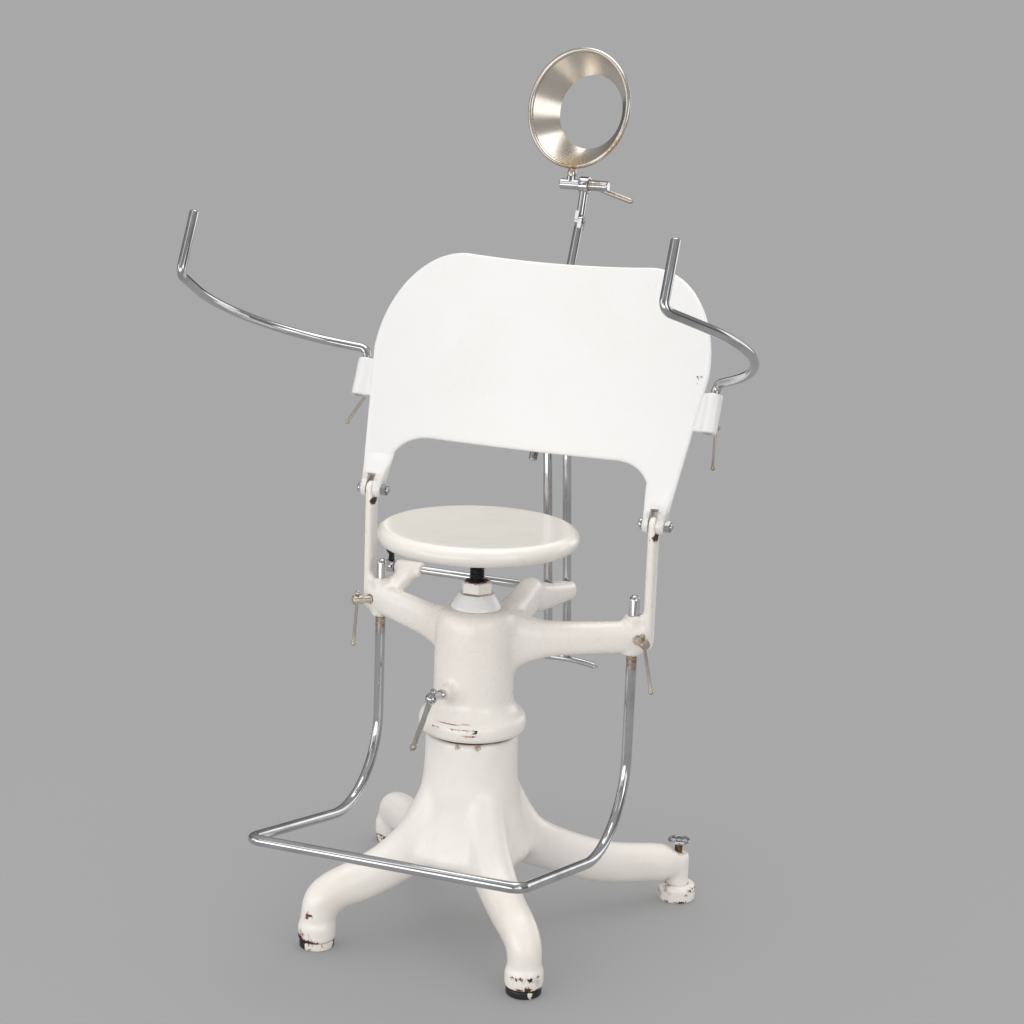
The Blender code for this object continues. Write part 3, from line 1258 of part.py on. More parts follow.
def build_arm(frame, side, label, swing_deg, bar_lean_deg):
    """Arm rod with its upright grip, and the clamp behind its sleeve."""
    axis = make_frame(f"arm_axis_{label}", (side * ARM_SLEEVE_SPREAD, 0.0, ARM_SLEEVE_LOW), parent=frame)
    level = ARM_SLEEVE_LENGTH + ARM_ROD_RISE
    start = math.radians(swing_deg)
    bow = math.radians(swing_deg - ARM_ROD_TURN_DEG)
    inner = Vector((side * math.sin(start), -math.cos(start), 0.0)) * ARM_ROD_INNER_LENGTH
    outer = Vector((side * math.sin(bow), -math.cos(bow), 0.0)) * ARM_ROD_OUTER_LENGTH
    up = Vector((0, 0, level))
    corners = [
        Vector((0, 0, -0.001)),
        up,
        up + inner,
        up + inner + outer,
        up + inner + outer + Vector((0, 0, ARM_GRIP_LENGTH)),
    ]
    bends = [ARM_ROD_BEND_RADIUS, ARM_ROD_BOW_RADIUS, ARM_ROD_BEND_RADIUS]
    points, radii = domed(rounded_path(corners, bends), ARM_ROD_RADIUS)
    make_object(f"arm_rod_{label}", sweep(points, radii), "chrome", axis)
    place = (side * ARM_SLEEVE_SPREAD, 0.0, ARM_SLEEVE_LOW + ARM_CLAMP_RISE)
    clamp = make_frame(f"arm_clamp_axis_{label}", place, parent=frame)
    lean = math.radians(bar_lean_deg)
    rise = Vector((math.sin(lean), 0.0, math.cos(lean)))
    centre = clamp_screw(
        f"arm_clamp_{label}",
        clamp,
        Vector((0, 1, 0)),
        ARM_ROD_RADIUS + GAP,
        ARM_SLEEVE_RADIUS,
        ARM_SLEEVE_RADIUS + ARM_CLAMP_NECK,
        ARM_CLAMP_HEAD_LENGTH,
        ARM_CLAMP_SCREW_RADIUS,
        ARM_CLAMP_HEAD_RADIUS,
        rise,
        ARM_BAR_RADIUS,
        "nickel",
    )
    bar_frame = make_frame(f"arm_bar_axis_{label}", centre, parent=clamp)
    above = ARM_CLAMP_HEAD_RADIUS + ARM_BAR_BALL_RADIUS + GAP
    below = ARM_BAR_LENGTH - above
    name = f"arm_bar_{label}"
    tommy_bar(name, bar_frame, rise, above, below, ARM_BAR_RADIUS, ARM_BAR_BALL_RADIUS, "nickel")


def back_of_plate(x):
    """Rear face of the plate at a width, where brackets sit."""
    return hollow_at(abs(x)) + PLATE_THICKNESS / 2


def build_head_brackets(frame):
    """Clamp and guide that hold the head rod behind the plate, and the clamp's knob."""
    seat = back_of_plate(0.0) + GAP
    rear = HEAD_ROD_SETBACK + HEAD_ROD_RADIUS + 0.008
    along = Vector((0, 0, 0.1))
    for name, rise, length in (
        ("head_clamp", HEAD_CLAMP_RISE, HEAD_CLAMP_LENGTH),
        ("head_guide", HEAD_GUIDE_RISE, HEAD_GUIDE_LENGTH),
    ):
        half = HEAD_CLAMP_HALF_WIDTH
        outline = [(-half, seat), (half, seat), (half * 0.9, HEAD_ROD_SETBACK - 0.012)]
        outline += arc((0.0, HEAD_ROD_SETBACK), rear - HEAD_ROD_SETBACK, 0, 180, 8)
        outline += [(-half * 0.9, HEAD_ROD_SETBACK - 0.012)]
        low, high = rise - length / 2, rise + length / 2
        block = skin([[(x, y, z) for x, y in outline] for z in (low, high)])
        bracket = make_object(name, block, "cream", frame)
        rod = Vector((0, HEAD_ROD_SETBACK, rise))
        cuts = [hole(rod - along, rod + along, HEAD_ROD_RADIUS + GAP, BORE_SIDES)]
        if name == "head_clamp":
            screw_bore = HEAD_CLAMP_SCREW_RADIUS + GAP
            cuts.append(hole(rod, rod + Vector((0, 0.05, 0)), screw_bore, SMALL_SIDES))
        combine(bracket, "DIFFERENCE", cuts)
    knob_frame = make_frame("head_clamp_knob_axis", (0.0, HEAD_ROD_SETBACK, HEAD_CLAMP_RISE), parent=frame)
    start = rear - HEAD_ROD_SETBACK + 0.002
    knob = [
        (HEAD_CLAMP_SCREW_RADIUS, HEAD_ROD_RADIUS + GAP),
        (HEAD_CLAMP_SCREW_RADIUS, start),
        (HEAD_CLAMP_KNOB_RADIUS * 0.72, start + 0.001),
        (HEAD_CLAMP_KNOB_RADIUS, start + 0.005),
        (HEAD_CLAMP_KNOB_RADIUS, start + HEAD_CLAMP_KNOB_LENGTH - 0.003),
        (HEAD_CLAMP_KNOB_RADIUS - 0.003, start + HEAD_CLAMP_KNOB_LENGTH),
    ]
    make_object("head_clamp_knob", turned(knob, (0, 0, 0), (0, 1, 0), BORE_SIDES), "chrome", knob_frame)


def half_lap(radius, side, low, high):
    """Outline helper: tongue on one side of the middle plane between two heights."""
    near, far = side * RUNNING_GAP / 2, side * (KNUCKLE_RADIUS - 0.0016)
    outline = arc((0.0, 0.0), radius, 0, 180, 8) if high > 0 else arc((0.0, 0.0), radius, 180, 360, 8)
    base = low if high > 0 else -low
    outline += [(-radius, base), (radius, base)] if high > 0 else [(radius, base), (-radius, base)]
    return plate_across_x(outline, min(near, far), max(near, far))


def build_head_rest(frame):
    """Rod, knuckle, link, cross barrel, neck and funnel ring, each on its own axis."""
    rod_frame = make_frame("head_rod_axis", (0.0, HEAD_ROD_SETBACK, KNUCKLE_RISE), parent=frame)
    lap = KNUCKLE_RADIUS + RUNNING_GAP
    rod_low = HEAD_ROD_LOW - KNUCKLE_RISE
    rod = bar((0, 0, rod_low), (0, 0, -lap), HEAD_ROD_RADIUS, ROD_SIDES, chamfer=0.0015)
    rod_object = make_object("head_rod", rod, "chrome", rod_frame)
    combine(rod_object, "UNION", [half_lap(KNUCKLE_RADIUS, 1, -lap - 0.006, 1.0)])
    pin_bore = KNUCKLE_PIN_RADIUS + GAP
    combine(rod_object, "DIFFERENCE", [hole((-0.02, 0, 0), (0.02, 0, 0), pin_bore, SMALL_SIDES)])
    pin_half = KNUCKLE_RADIUS - 0.0016 + 0.0022
    pin = [
        (KNUCKLE_PIN_RADIUS + 0.0016, 0.0),
        (KNUCKLE_PIN_RADIUS + 0.0018, 0.0018),
        (KNUCKLE_PIN_RADIUS, 0.0018),
        (KNUCKLE_PIN_RADIUS, 2 * pin_half - 0.0018),
        (KNUCKLE_PIN_RADIUS + 0.0018, 2 * pin_half - 0.0018),
        (KNUCKLE_PIN_RADIUS + 0.0016, 2 * pin_half),
    ]
    make_object("knuckle_pin", turned(pin, (-pin_half, 0, 0), (1, 0, 0), SMALL_SIDES), "steel", rod_frame)
    link_frame = make_frame("head_link_axis", (0, 0, 0), math.radians(LINK_LEAN_DEG), parent=rod_frame)
    shank = bar((0, 0, lap), (0, 0, LINK_LENGTH - BARREL_RADIUS - 0.002), LINK_RADIUS, ROD_SIDES)
    link = make_object("head_link", shank, "chrome", link_frame)
    eye_half = LINK_EYE_WIDTH / 2
    eye_left = (-eye_half, 0, LINK_LENGTH)
    eye_right = (eye_half, 0, LINK_LENGTH)
    eye = bar(eye_left, eye_right, LINK_EYE_RADIUS, BORE_SIDES, chamfer=0.001)
    combine(link, "UNION", [half_lap(KNUCKLE_RADIUS, -1, -lap - 0.006, -1.0), eye])
    lever_rise = LINK_LENGTH + HEAD_LEVER_HUB_RADIUS
    lever_place = Vector((-0.004, LINK_EYE_RADIUS + RUNNING_GAP, lever_rise - 0.002))
    combine(
        link,
        "DIFFERENCE",
        [
            hole((-0.02, 0, 0), (0.02, 0, 0), pin_bore, SMALL_SIDES),
            hole((-0.03, 0, LINK_LENGTH), (0.03, 0, LINK_LENGTH), BARREL_RADIUS + GAP, BORE_SIDES),
        ],
    )
    lever_frame = make_frame("head_lever_axis", lever_place, parent=link_frame)
    hub = [
        (HEAD_LEVER_HUB_RADIUS - 0.001, 0.0),
        (HEAD_LEVER_HUB_RADIUS, 0.001),
        (HEAD_LEVER_HUB_RADIUS, HEAD_LEVER_RADIUS * 2 + 0.001),
        (HEAD_LEVER_HUB_RADIUS - 0.002, HEAD_LEVER_RADIUS * 2 + 0.0025),
    ]
    hub_shape = turned(hub, (0, 0, 0), (0, 1, 0), BORE_SIDES)
    lever = make_object("head_clamp_lever", hub_shape, "nickel", lever_frame)
    drop = math.radians(HEAD_LEVER_DROP_DEG)
    away = Vector((math.cos(drop), 0.0, -math.sin(drop)))
    level = Vector((0, HEAD_LEVER_RADIUS + 0.0012, 0))
    handle = [
        (HEAD_LEVER_RADIUS * 0.85, 0.0),
        (HEAD_LEVER_RADIUS * 0.85, HEAD_LEVER_HUB_RADIUS),
        (HEAD_LEVER_RADIUS, HEAD_LEVER_LENGTH * 0.5),
        (HEAD_LEVER_RADIUS, HEAD_LEVER_LENGTH - 0.003),
        (HEAD_LEVER_RADIUS * 0.55, HEAD_LEVER_LENGTH),
    ]
    combine(lever, "UNION", [turned(handle, level, away, ROD_SIDES)])
    tilt = math.radians(HEAD_TILT_DEG - LINK_LEAN_DEG)
    barrel_frame = make_frame("head_barrel_axis", (0, 0, LINK_LENGTH), tilt, parent=link_frame)
    barrel = bar((-BARREL_LEFT, 0, 0), (BARREL_RIGHT, 0, 0), BARREL_RADIUS, BORE_SIDES, chamfer=0.0018)
    barrel_object = make_object("head_barrel", barrel, "chrome", barrel_frame)
    seat = bar((-NECK_OFFSET, 0, 0), (-NECK_OFFSET, 0, NECK_SEAT), NECK_RADIUS + 0.0008, BORE_SIDES)
    combine(barrel_object, "UNION", [seat])
    place = (-NECK_OFFSET, 0.0, 0.0)
    yaw = math.radians(RING_YAW_DEG)
    ring_frame = make_frame("head_ring_axis", place, turn_z=yaw, parent=barrel_frame)
    neck_top = RING_CENTRE_RISE - RING_RADIUS - GAP
    neck_low = NECK_SEAT + GAP
    neck = [
        (0.0, neck_low),
        (NECK_RADIUS, neck_low),
        (NECK_RADIUS + 0.0006, (neck_low + neck_top) / 2),
        (NECK_RADIUS - 0.0006, neck_top),
        (0.0, neck_top),
    ]
    make_object("head_neck", revolve(neck, BORE_SIDES), "nickel", ring_frame)
    bead_radius = RING_RADIUS - RING_BEAD_RADIUS
    bead = arc((bead_radius, 0.0), RING_BEAD_RADIUS, -40, 230, 6)
    rear = -RING_DEPTH
    slope = math.atan2(RING_DEPTH, bead_radius - RING_REAR_RADIUS)
    thick = RING_WALL / math.sin(slope)
    section = bead + [(RING_REAR_RADIUS, rear), (RING_REAR_RADIUS + thick * 0.5, rear - 0.0012)]
    section += [(RING_REAR_RADIUS + thick, rear)]
    facing = axis_matrix((0, 0, RING_CENTRE_RISE), (0, -1, 0))
    funnel = placed(revolve(section, RIM_SIDES, closed=True), facing)
    make_object("head_ring", funnel, "nickel", ring_frame)


def build_strut(frame):
    """Bracket behind the plate and the two-rod strut that hangs from it."""
    place = (REAR_ARM_OFFSET, STRUT_PIVOT_SETBACK, STRUT_PIVOT_RISE)
    head_radius = STRUT_HEAD_HALF_HEIGHT
    inner = STRUT_HEAD_HALF_WIDTH + RUNNING_GAP
    outer = inner + BRACKET_CHEEK
    seat = back_of_plate(REAR_ARM_OFFSET - outer) + GAP
    near = seat - STRUT_PIVOT_SETBACK
    foot_half = outer + BRACKET_FLANGE
    foot_low = (-foot_half, near, -BRACKET_HALF_HEIGHT)
    foot_plate = box(foot_low, (foot_half, near + BRACKET_FOOT, BRACKET_HALF_HEIGHT))
    pivot = make_frame("strut_axis", place, math.radians(RECLINE_DEG + STRUT_LEAN_DEG), parent=frame)
    bracket_frame = make_frame("strut_bracket_seat", place, parent=frame)
    bracket = make_object("strut_bracket", foot_plate, "cream", bracket_frame)
    root = near + BRACKET_FOOT / 2
    cheek_half = BRACKET_HALF_HEIGHT - 0.002
    cheek = arc((0.0, 0.0), head_radius - 0.001, -90, 90, 6) + [(root, cheek_half), (root, -cheek_half)]
    cheeks = [plate_across_x(cheek, inner, outer), plate_across_x(cheek, -outer, -inner)]
    combine(bracket, "UNION", cheeks)
    reach = outer + 0.0026
    bore = hole((-2 * reach, 0, 0), (2 * reach, 0, 0), STRUT_PIN_RADIUS + GAP, BORE_SIDES)
    window_half = STRUT_HEAD_HALF_WIDTH + RUNNING_GAP / 2
    window_low = (-window_half, near - BRACKET_FOOT, -2 * BRACKET_HALF_HEIGHT)
    window = box(window_low, (window_half, near + 2 * BRACKET_FOOT, head_radius))
    combine(bracket, "DIFFERENCE", [window, bore])
    pin = [
        (STRUT_PIN_RADIUS + 0.0020, 0.0),
        (STRUT_PIN_RADIUS + 0.0022, 0.0022),
        (STRUT_PIN_RADIUS, 0.0022),
        (STRUT_PIN_RADIUS, 2 * reach - 0.0022),
        (STRUT_PIN_RADIUS + 0.0022, 2 * reach - 0.0022),
        (STRUT_PIN_RADIUS + 0.0020, 2 * reach),
    ]
    make_object("strut_pin", turned(pin, (-reach, 0, 0), (1, 0, 0), ROD_SIDES), "steel", bracket_frame)
    half = STRUT_SPACING / 2
    ear = STRUT_ROD_RADIUS + 0.0035
    outline = arc((half, 0.0), ear, -90, 90, 6) + arc((0.0, 0.0), head_radius - 0.0005, 60, 120, 4)
    outline += arc((-half, 0.0), ear, 90, 270, 6) + arc((0.0, 0.0), head_radius - 0.0005, 240, 300, 4)
    head_block = plate_across_x(outline, -STRUT_HEAD_HALF_WIDTH, STRUT_HEAD_HALF_WIDTH)
    head = make_object("strut_head", head_block, "steel", pivot)
    pivot_bore = hole((-0.03, 0, 0), (0.03, 0, 0), STRUT_PIN_RADIUS + GAP, ROD_SIDES)
    top = ear + 0.002
    rod_bores = []
    for along in (-half, half):
        rod_bores.append(hole((0, along, -0.03), (0, along, 0.03), STRUT_ROD_RADIUS + GAP, BORE_SIDES))
    combine(head, "DIFFERENCE", [pivot_bore] + rod_bores)
    front_low = top - STRUT_FRONT_LENGTH
    front = bar((0, -half, front_low), (0, -half, top), STRUT_ROD_RADIUS, BORE_SIDES, chamfer=0.0015)
    make_object("strut_rod_front", front, "chrome", pivot)
    turn_frame = make_frame("strut_grip_axis", (0.0, half, 0.0), parent=pivot)
    rear_low = top - STRUT_REAR_LENGTH
    rear = bar((0, 0, rear_low), (0, 0, top), STRUT_ROD_RADIUS, BORE_SIDES, chamfer=0.0015)
    make_object("strut_rod_rear", rear, "chrome", turn_frame)
    drop = rear_low - GAP - GRIP_RADIUS
    path = curve_through(
        [
            (-GRIP_LEFT_LENGTH, 0.0, drop - GRIP_SAG * 0.4),
            (-GRIP_LEFT_LENGTH * 0.45, 0.0, drop - GRIP_SAG * 0.1),
            (0.0, 0.0, drop),
            (GRIP_RIGHT_LENGTH * 0.55, 0.0, drop - GRIP_SAG * 0.35),
            (GRIP_RIGHT_LENGTH, 0.0, drop - GRIP_SAG),
        ],
        2,
    )
    points, radii = domed(path, GRIP_RADIUS)
    make_object("strut_grip", sweep(points, radii), "chrome", turn_frame)


def build_chair():
    """Whole chair at rest."""
    clear_scene()
    build_base()
    build_rubber_feet()
    build_levelling_foot()
    build_swivel_bearing()
    swivel = make_frame("swivel_axis", (0.0, 0.0, FLANGE_LEVEL))
    build_upper_casting(swivel)
    build_swivel_lock(swivel)
    build_seat(swivel)
    build_footrest(swivel)
    build_footrest_clamps(swivel)
    build_lock_shaft(swivel)
    hinge = (0.0, HINGE_SETBACK, HINGE_LEVEL)
    back = make_frame("recline_axis", hinge, -math.radians(RECLINE_DEG), parent=swivel)
    build_back_plate(back)
    build_hinge_bolts(back)
    build_arm(back, -1, "left", ARM_SWING_LEFT_DEG, ARM_BAR_LEFT_LEAN_DEG)
    build_arm(back, 1, "right", ARM_SWING_RIGHT_DEG, ARM_BAR_RIGHT_LEAN_DEG)
    build_head_brackets(back)
    build_head_rest(back)
    build_strut(back)


build_chair()
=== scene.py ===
# %% [markdown]
# # An examination chair of enamelled iron
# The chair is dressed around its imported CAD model. Every piece drawn here rides on a CAD body, so
# the column swivels, the seat screws up and the back reclines exactly as the model says. Sizes are
# in metres. Most repeat those of the CAD source, and some corners are drawn finer here.

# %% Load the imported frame
import json
import math

import bmesh
import bpy
import numpy as np
from mathutils import Matrix, Vector


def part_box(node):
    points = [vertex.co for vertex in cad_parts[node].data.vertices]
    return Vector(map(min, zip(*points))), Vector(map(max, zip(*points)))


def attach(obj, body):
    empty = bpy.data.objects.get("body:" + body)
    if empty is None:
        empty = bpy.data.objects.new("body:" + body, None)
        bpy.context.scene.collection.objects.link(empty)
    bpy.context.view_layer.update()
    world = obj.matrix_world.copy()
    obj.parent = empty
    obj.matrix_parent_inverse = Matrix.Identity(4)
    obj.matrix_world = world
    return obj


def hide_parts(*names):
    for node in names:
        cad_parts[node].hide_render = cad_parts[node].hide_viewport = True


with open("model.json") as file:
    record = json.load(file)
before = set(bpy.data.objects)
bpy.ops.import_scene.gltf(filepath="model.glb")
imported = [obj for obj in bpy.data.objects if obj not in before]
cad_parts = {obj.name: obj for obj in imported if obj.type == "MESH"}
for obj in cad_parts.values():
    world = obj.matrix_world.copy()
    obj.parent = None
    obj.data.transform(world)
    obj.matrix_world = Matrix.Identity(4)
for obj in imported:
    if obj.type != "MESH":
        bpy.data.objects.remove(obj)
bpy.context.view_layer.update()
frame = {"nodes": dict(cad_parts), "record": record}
body_of = {node: body for body, nodes in frame["record"]["behaviour"]["bodies"].items() for node in nodes}

# %% [markdown]
# ## The camera
# The photograph's own lens and place were worked out from the round seat, the feet and the rods.
# The picture is square, so the sensor's width serves both ways.

# %% Camera
LENS = 70.92
SENSOR_WIDTH = 36.0
CAMERA_TURN = math.radians(22.8728)
CAMERA_RISE = math.radians(12.9385)
CAMERA_ROLL = math.radians(2.10996)
CAMERA_DISTANCE = 2.9756
AIM_ACROSS, AIM_LEVEL = 0.048255, 0.658617

to_camera = Vector(
    (
        math.sin(CAMERA_TURN) * math.cos(CAMERA_RISE),
        -math.cos(CAMERA_TURN) * math.cos(CAMERA_RISE),
        math.sin(CAMERA_RISE),
    )
)
level_right = Vector((math.cos(CAMERA_TURN), math.sin(CAMERA_TURN), 0.0))
level_up = to_camera.cross(level_right)
right = level_right * math.cos(CAMERA_ROLL) + level_up * math.sin(CAMERA_ROLL)
up = level_up * math.cos(CAMERA_ROLL) - level_right * math.sin(CAMERA_ROLL)
eye = Vector((0, 0, AIM_LEVEL)) + level_right * AIM_ACROSS + to_camera * CAMERA_DISTANCE
lens = bpy.data.cameras.new("photo_camera")
lens.lens = LENS
lens.sensor_width = SENSOR_WIDTH
camera = bpy.data.objects.new("photo_camera", lens)
turn = Matrix((right, up, to_camera)).transposed().to_4x4()
camera.matrix_world = Matrix.Translation(eye) @ turn
bpy.context.scene.collection.objects.link(camera)
bpy.context.scene.camera = camera
print("camera at", [round(value, 3) for value in eye])

# %% [markdown]
# ## Shape helpers
# Nearly everything on the chair was turned on a lathe, bent from bar or cast. Three ways of drawing
# cover that: a profile spun about an axis, rings skinned into a solid, and a bar along a path.


# %% Rings and turned solids
UP = Vector((0.0, 0.0, 1.0))
SIDES = ((-1, "left"), (1, "right"))


def bridge(bm, lower, upper):
    """Skin two rings of one size, or a ring and a point."""
    count = max(len(lower), len(upper))
    for k in range(count):
        after = (k + 1) % count
        corners = [lower[k % len(lower)], lower[after % len(lower)]]
        corners += [upper[after % len(upper)], upper[k % len(upper)]]
        distinct = list(dict.fromkeys(corners))
        if len(distinct) > 2:
            bm.faces.new(distinct)


def skin(rings, closed=False):
    """Solid through rings of points; open ends get caps."""
    bm = bmesh.new()
    loops = [[bm.verts.new(point) for point in ring] for ring in rings]
    pairs = list(zip(loops, loops[1:]))
    if closed:
        pairs.append((loops[-1], loops[0]))
    for lower, upper in pairs:
        bridge(bm, lower, upper)
    if not closed:
        for loop in (loops[0], loops[-1]):
            if len(loop) > 2:
                bm.faces.new(loop)
    return bm


def circle(radius, sides, turn=0.0):
    """Points of a circle in a plane."""
    angles = [turn + 2 * math.pi * k / sides for k in range(sides)]
    return [(radius * math.cos(a), radius * math.sin(a)) for a in angles]


def arc(centre, radius, start_deg, end_deg, steps):
    """Points of an arc in a plane."""
    angles = [math.radians(start_deg + (end_deg - start_deg) * k / steps) for k in range(steps + 1)]
    return [(centre[0] + radius * math.cos(a), centre[1] + radius * math.sin(a)) for a in angles]


def eased(profile, ease, closed=False, steps=3):
    """Profile with each corner rounded off a little, so that its edge catches the light."""
    points = [Vector(point) for point in profile]
    count = len(points)
    rounded = []
    for k, point in enumerate(points):
        if not closed and k in (0, count - 1):
            rounded.append(point)
            continue
        before = points[k - 1] - point
        after = points[(k + 1) % count] - point
        inset = min(ease, before.length * 0.45, after.length * 0.45)
        start = point + before.normalized() * inset
        end = point + after.normalized() * inset
        for step in range(steps + 1):
            t = step / steps
            rounded.append(start * (1 - t) ** 2 + point * 2 * t * (1 - t) + end * t**2)
    return rounded


def revolve(profile, sides=64, closed=False, ease=0.0, turn=0.0):
    """Turned solid about Z from (radius, height) points."""
    if ease:
        profile = eased(profile, ease, closed)
    rings = []
    for radius, height in profile:
        if radius <= 1e-6:
            rings.append([(0.0, 0.0, height)])
        else:
            rings.append([(x, y, height) for x, y in circle(radius, sides, turn)])
    return skin(rings, closed)


def placed(bm, matrix):
    """Move a shape."""
    bmesh.ops.transform(bm, matrix=matrix, verts=bm.verts)
    return bm


def axis_matrix(origin, direction):
    """Matrix that carries +Z onto a direction at an origin."""
    z = Vector(direction).normalized()
    x = UP.cross(z)
    if x.length < 1e-6:
        x = Vector((1.0, 0.0, 0.0))
    x.normalize()
    matrix = Matrix((x, z.cross(x), z)).transposed().to_4x4()
    matrix.translation = origin
    return matrix


def turned(profile, origin, direction, sides=40, ease=0.0006, turn=0.0):
    """Turned solid whose axis starts at a point and runs along a direction."""
    return placed(revolve(profile, sides, ease=ease, turn=turn), axis_matrix(origin, direction))


def bar(start, end, radius, sides=40, chamfer=0.0):
    """Straight round bar between two points."""
    start, end = Vector(start), Vector(end)
    length = (end - start).length
    profile = [(radius, 0.0), (radius, length)]
    if chamfer:
        profile = [(radius - chamfer, 0.0), (radius, chamfer)]
        profile += [(radius, length - chamfer), (radius - chamfer, length)]
    return placed(revolve(profile, sides), axis_matrix(start, end - start))


def slab(outline, low, high):
    """Slab between two X values with a (y, z) outline."""
    return skin([[(x, y, z) for y, z in outline] for x in (low, high)])


def block(low, high):
    """Block between two corners."""
    ring = [(low[0], low[1]), (high[0], low[1]), (high[0], high[1]), (low[0], high[1])]
    return skin([[(x, y, z) for x, y in ring] for z in (low[2], high[2])])


def curve_through(stations, steps):
    """Catmull-Rom rows of numbers through given rows."""
    rows = []
    for k in range(len(stations) - 1):
        a = stations[max(k - 1, 0)]
        b = stations[k]
        c = stations[k + 1]
        d = stations[min(k + 2, len(stations) - 1)]
        for step in range(steps):
            t = step / steps
            row = []
            for p, q, r, s in zip(a, b, c, d):
                bend = (2 * p - 5 * q + 4 * r - s) * t * t + (3 * q - p - 3 * r + s) * t**3
                row.append(0.5 * (2 * q + (r - p) * t + bend))
            rows.append(row)
    rows.append(list(stations[-1]))
    return rows


def oval(half_width, half_height, sides=40, squareness=2.3):
    """Points of a rounded section, a little squarer than an ellipse."""
    points = []
    for x, y in circle(1.0, sides, math.pi / sides):
        across = math.copysign(half_width * abs(x) ** (2 / squareness), x)
        points.append((across, math.copysign(half_height * abs(y) ** (2 / squareness), y)))
    return points


print("shape helpers ready")

# %% [markdown]
# ## From shape to piece
# A finished piece is a plain mesh at the origin. It rides on the body of the CAD node it stands for,
# hides that node, and takes the finish it is given as its only material.


# %% Pieces
SHARP_ANGLE = math.radians(38)


def to_mesh(name, bm):
    """Closed shape as a mesh, with smooth faces and sharp edges where they are."""
    bmesh.ops.remove_doubles(bm, verts=bm.verts, dist=1e-6)
    bmesh.ops.recalc_face_normals(bm, faces=bm.faces)
    mesh = bpy.data.meshes.new(name)
    bm.to_mesh(mesh)
    bm.free()
    mesh.shade_smooth()
    mesh.set_sharp_from_angle(angle=SHARP_ANGLE)
    return mesh


def loose_object(name, mesh):
    """Mesh as an object in the scene, not yet a piece."""
    obj = bpy.data.objects.new(name, mesh)
    bpy.context.scene.collection.objects.link(obj)
    return obj


def settled(obj):
    """Plain mesh of an object with its modifiers carried out; the object goes."""
    graph = bpy.context.evaluated_depsgraph_get()
    mesh = bpy.data.meshes.new_from_object(obj.evaluated_get(graph))
    bpy.data.objects.remove(obj)
    return mesh


def merged(shapes):
    """Several shapes in one."""
    whole = bmesh.new()
    for shape in shapes:
        mesh = to_mesh("part", shape)
        whole.from_mesh(mesh)
        bpy.data.meshes.remove(mesh)
    return whole


def piece(name, shape, finish, node, at=Matrix.Identity(4), stands_for=True):
    """Piece moved to its place, which rides with a CAD node's body and stands for the node."""
    mesh = shape if isinstance(shape, bpy.types.Mesh) else to_mesh(name, shape)
    mesh.transform(at)
    mesh.materials.clear()
    mesh.materials.append(finish)
    obj = loose_object(name, mesh)
    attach(obj, body_of[node])
    if stands_for:
        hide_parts(node)
    return obj


# %% [markdown]
# ## Castings
# A sand casting has soft corners and a fillet wherever two forms meet. Overlapping solids are skinned
# over by a voxel remesh, swollen and shrunk again so that inner corners fill, and smoothed. Bores are
# cut last, so they stay crisp. Nuts and rivets are turned, without a casting's skin.


# %% Casting helper
LEG_VOXEL = 0.0026
BASE_VOXEL = 0.0022
ARM_VOXEL = 0.0022
FRAME_VOXEL = 0.0020
SLEEVE_VOXEL = 0.0012
SMALL_VOXEL = 0.0011
LEG_FILLET = 0.030
ARM_FILLET = 0.016
CAST_FILLET = 0.005
SLEEVE_FILLET = 0.003
RIVET_EDGE = 0.0006


def cut_from(obj, cutters):
    """Take shapes away from an object."""
    helpers = []
    for number, shape in enumerate(cutters):
        helper = loose_object(f"cutter_{number}", to_mesh("cutter", shape))
        modifier = obj.modifiers.new("bore", "BOOLEAN")
        modifier.operation = "DIFFERENCE"
        modifier.solver = "MANIFOLD"
        modifier.object = helper
        helpers.append(helper)
    mesh = settled(obj)
    for helper in helpers:
        bpy.data.objects.remove(helper)
    return mesh


def bored(shape, cutters):
    """Mesh of a shape with others taken away, its edges sharp."""
    mesh = cut_from(loose_object("bored", to_mesh("bored", shape)), cutters)
    mesh.set_sharp_from_angle(angle=SHARP_ANGLE)
    return mesh


def swell(mesh, distance):
    """Push every point along its normal."""
    count = len(mesh.vertices)
    places = np.zeros(count * 3, np.float32)
    normals = np.zeros(count * 3, np.float32)
    mesh.vertices.foreach_get("co", places)
    mesh.vertices.foreach_get("normal", normals)
    mesh.vertices.foreach_set("co", places + normals * distance)
    mesh.update()
    return mesh


def remeshed(mesh, voxel, rounds):
    """Voxel skin of a mesh, smoothed."""
    obj = loose_object("skin", mesh)
    remesh = obj.modifiers.new("skin", "REMESH")
    remesh.mode = "VOXEL"
    remesh.voxel_size = voxel
    smooth = obj.modifiers.new("soften", "SMOOTH")
    smooth.factor = 0.5
    smooth.iterations = rounds
    return settled(obj)


def filleted(shapes, voxel, fillet):
    """One skin over overlapping solids, its inner corners filled."""
    mesh = remeshed(to_mesh("casting", merged(shapes)), voxel, 1)
    if fillet:
        mesh = remeshed(swell(mesh, fillet), voxel, 2)
        mesh = remeshed(swell(mesh, -fillet), voxel, 1)
    return mesh


def body_of_mesh(mesh):
    """Mesh as a shape that can be joined to others."""
    shape = bmesh.new()
    shape.from_mesh(mesh)
    return shape


def cast(shapes, cutters, voxel, fillet, rounds=8):
    """Soft-cornered casting from overlapping solids, with its bores cut."""
    mesh = remeshed(filleted(shapes, voxel, fillet), voxel, rounds)
    if cutters:
        mesh = cut_from(loose_object("casting", mesh), cutters)
    mesh.shade_smooth()
    mesh.set_sharp_from_angle(angle=SHARP_ANGLE)
    return mesh


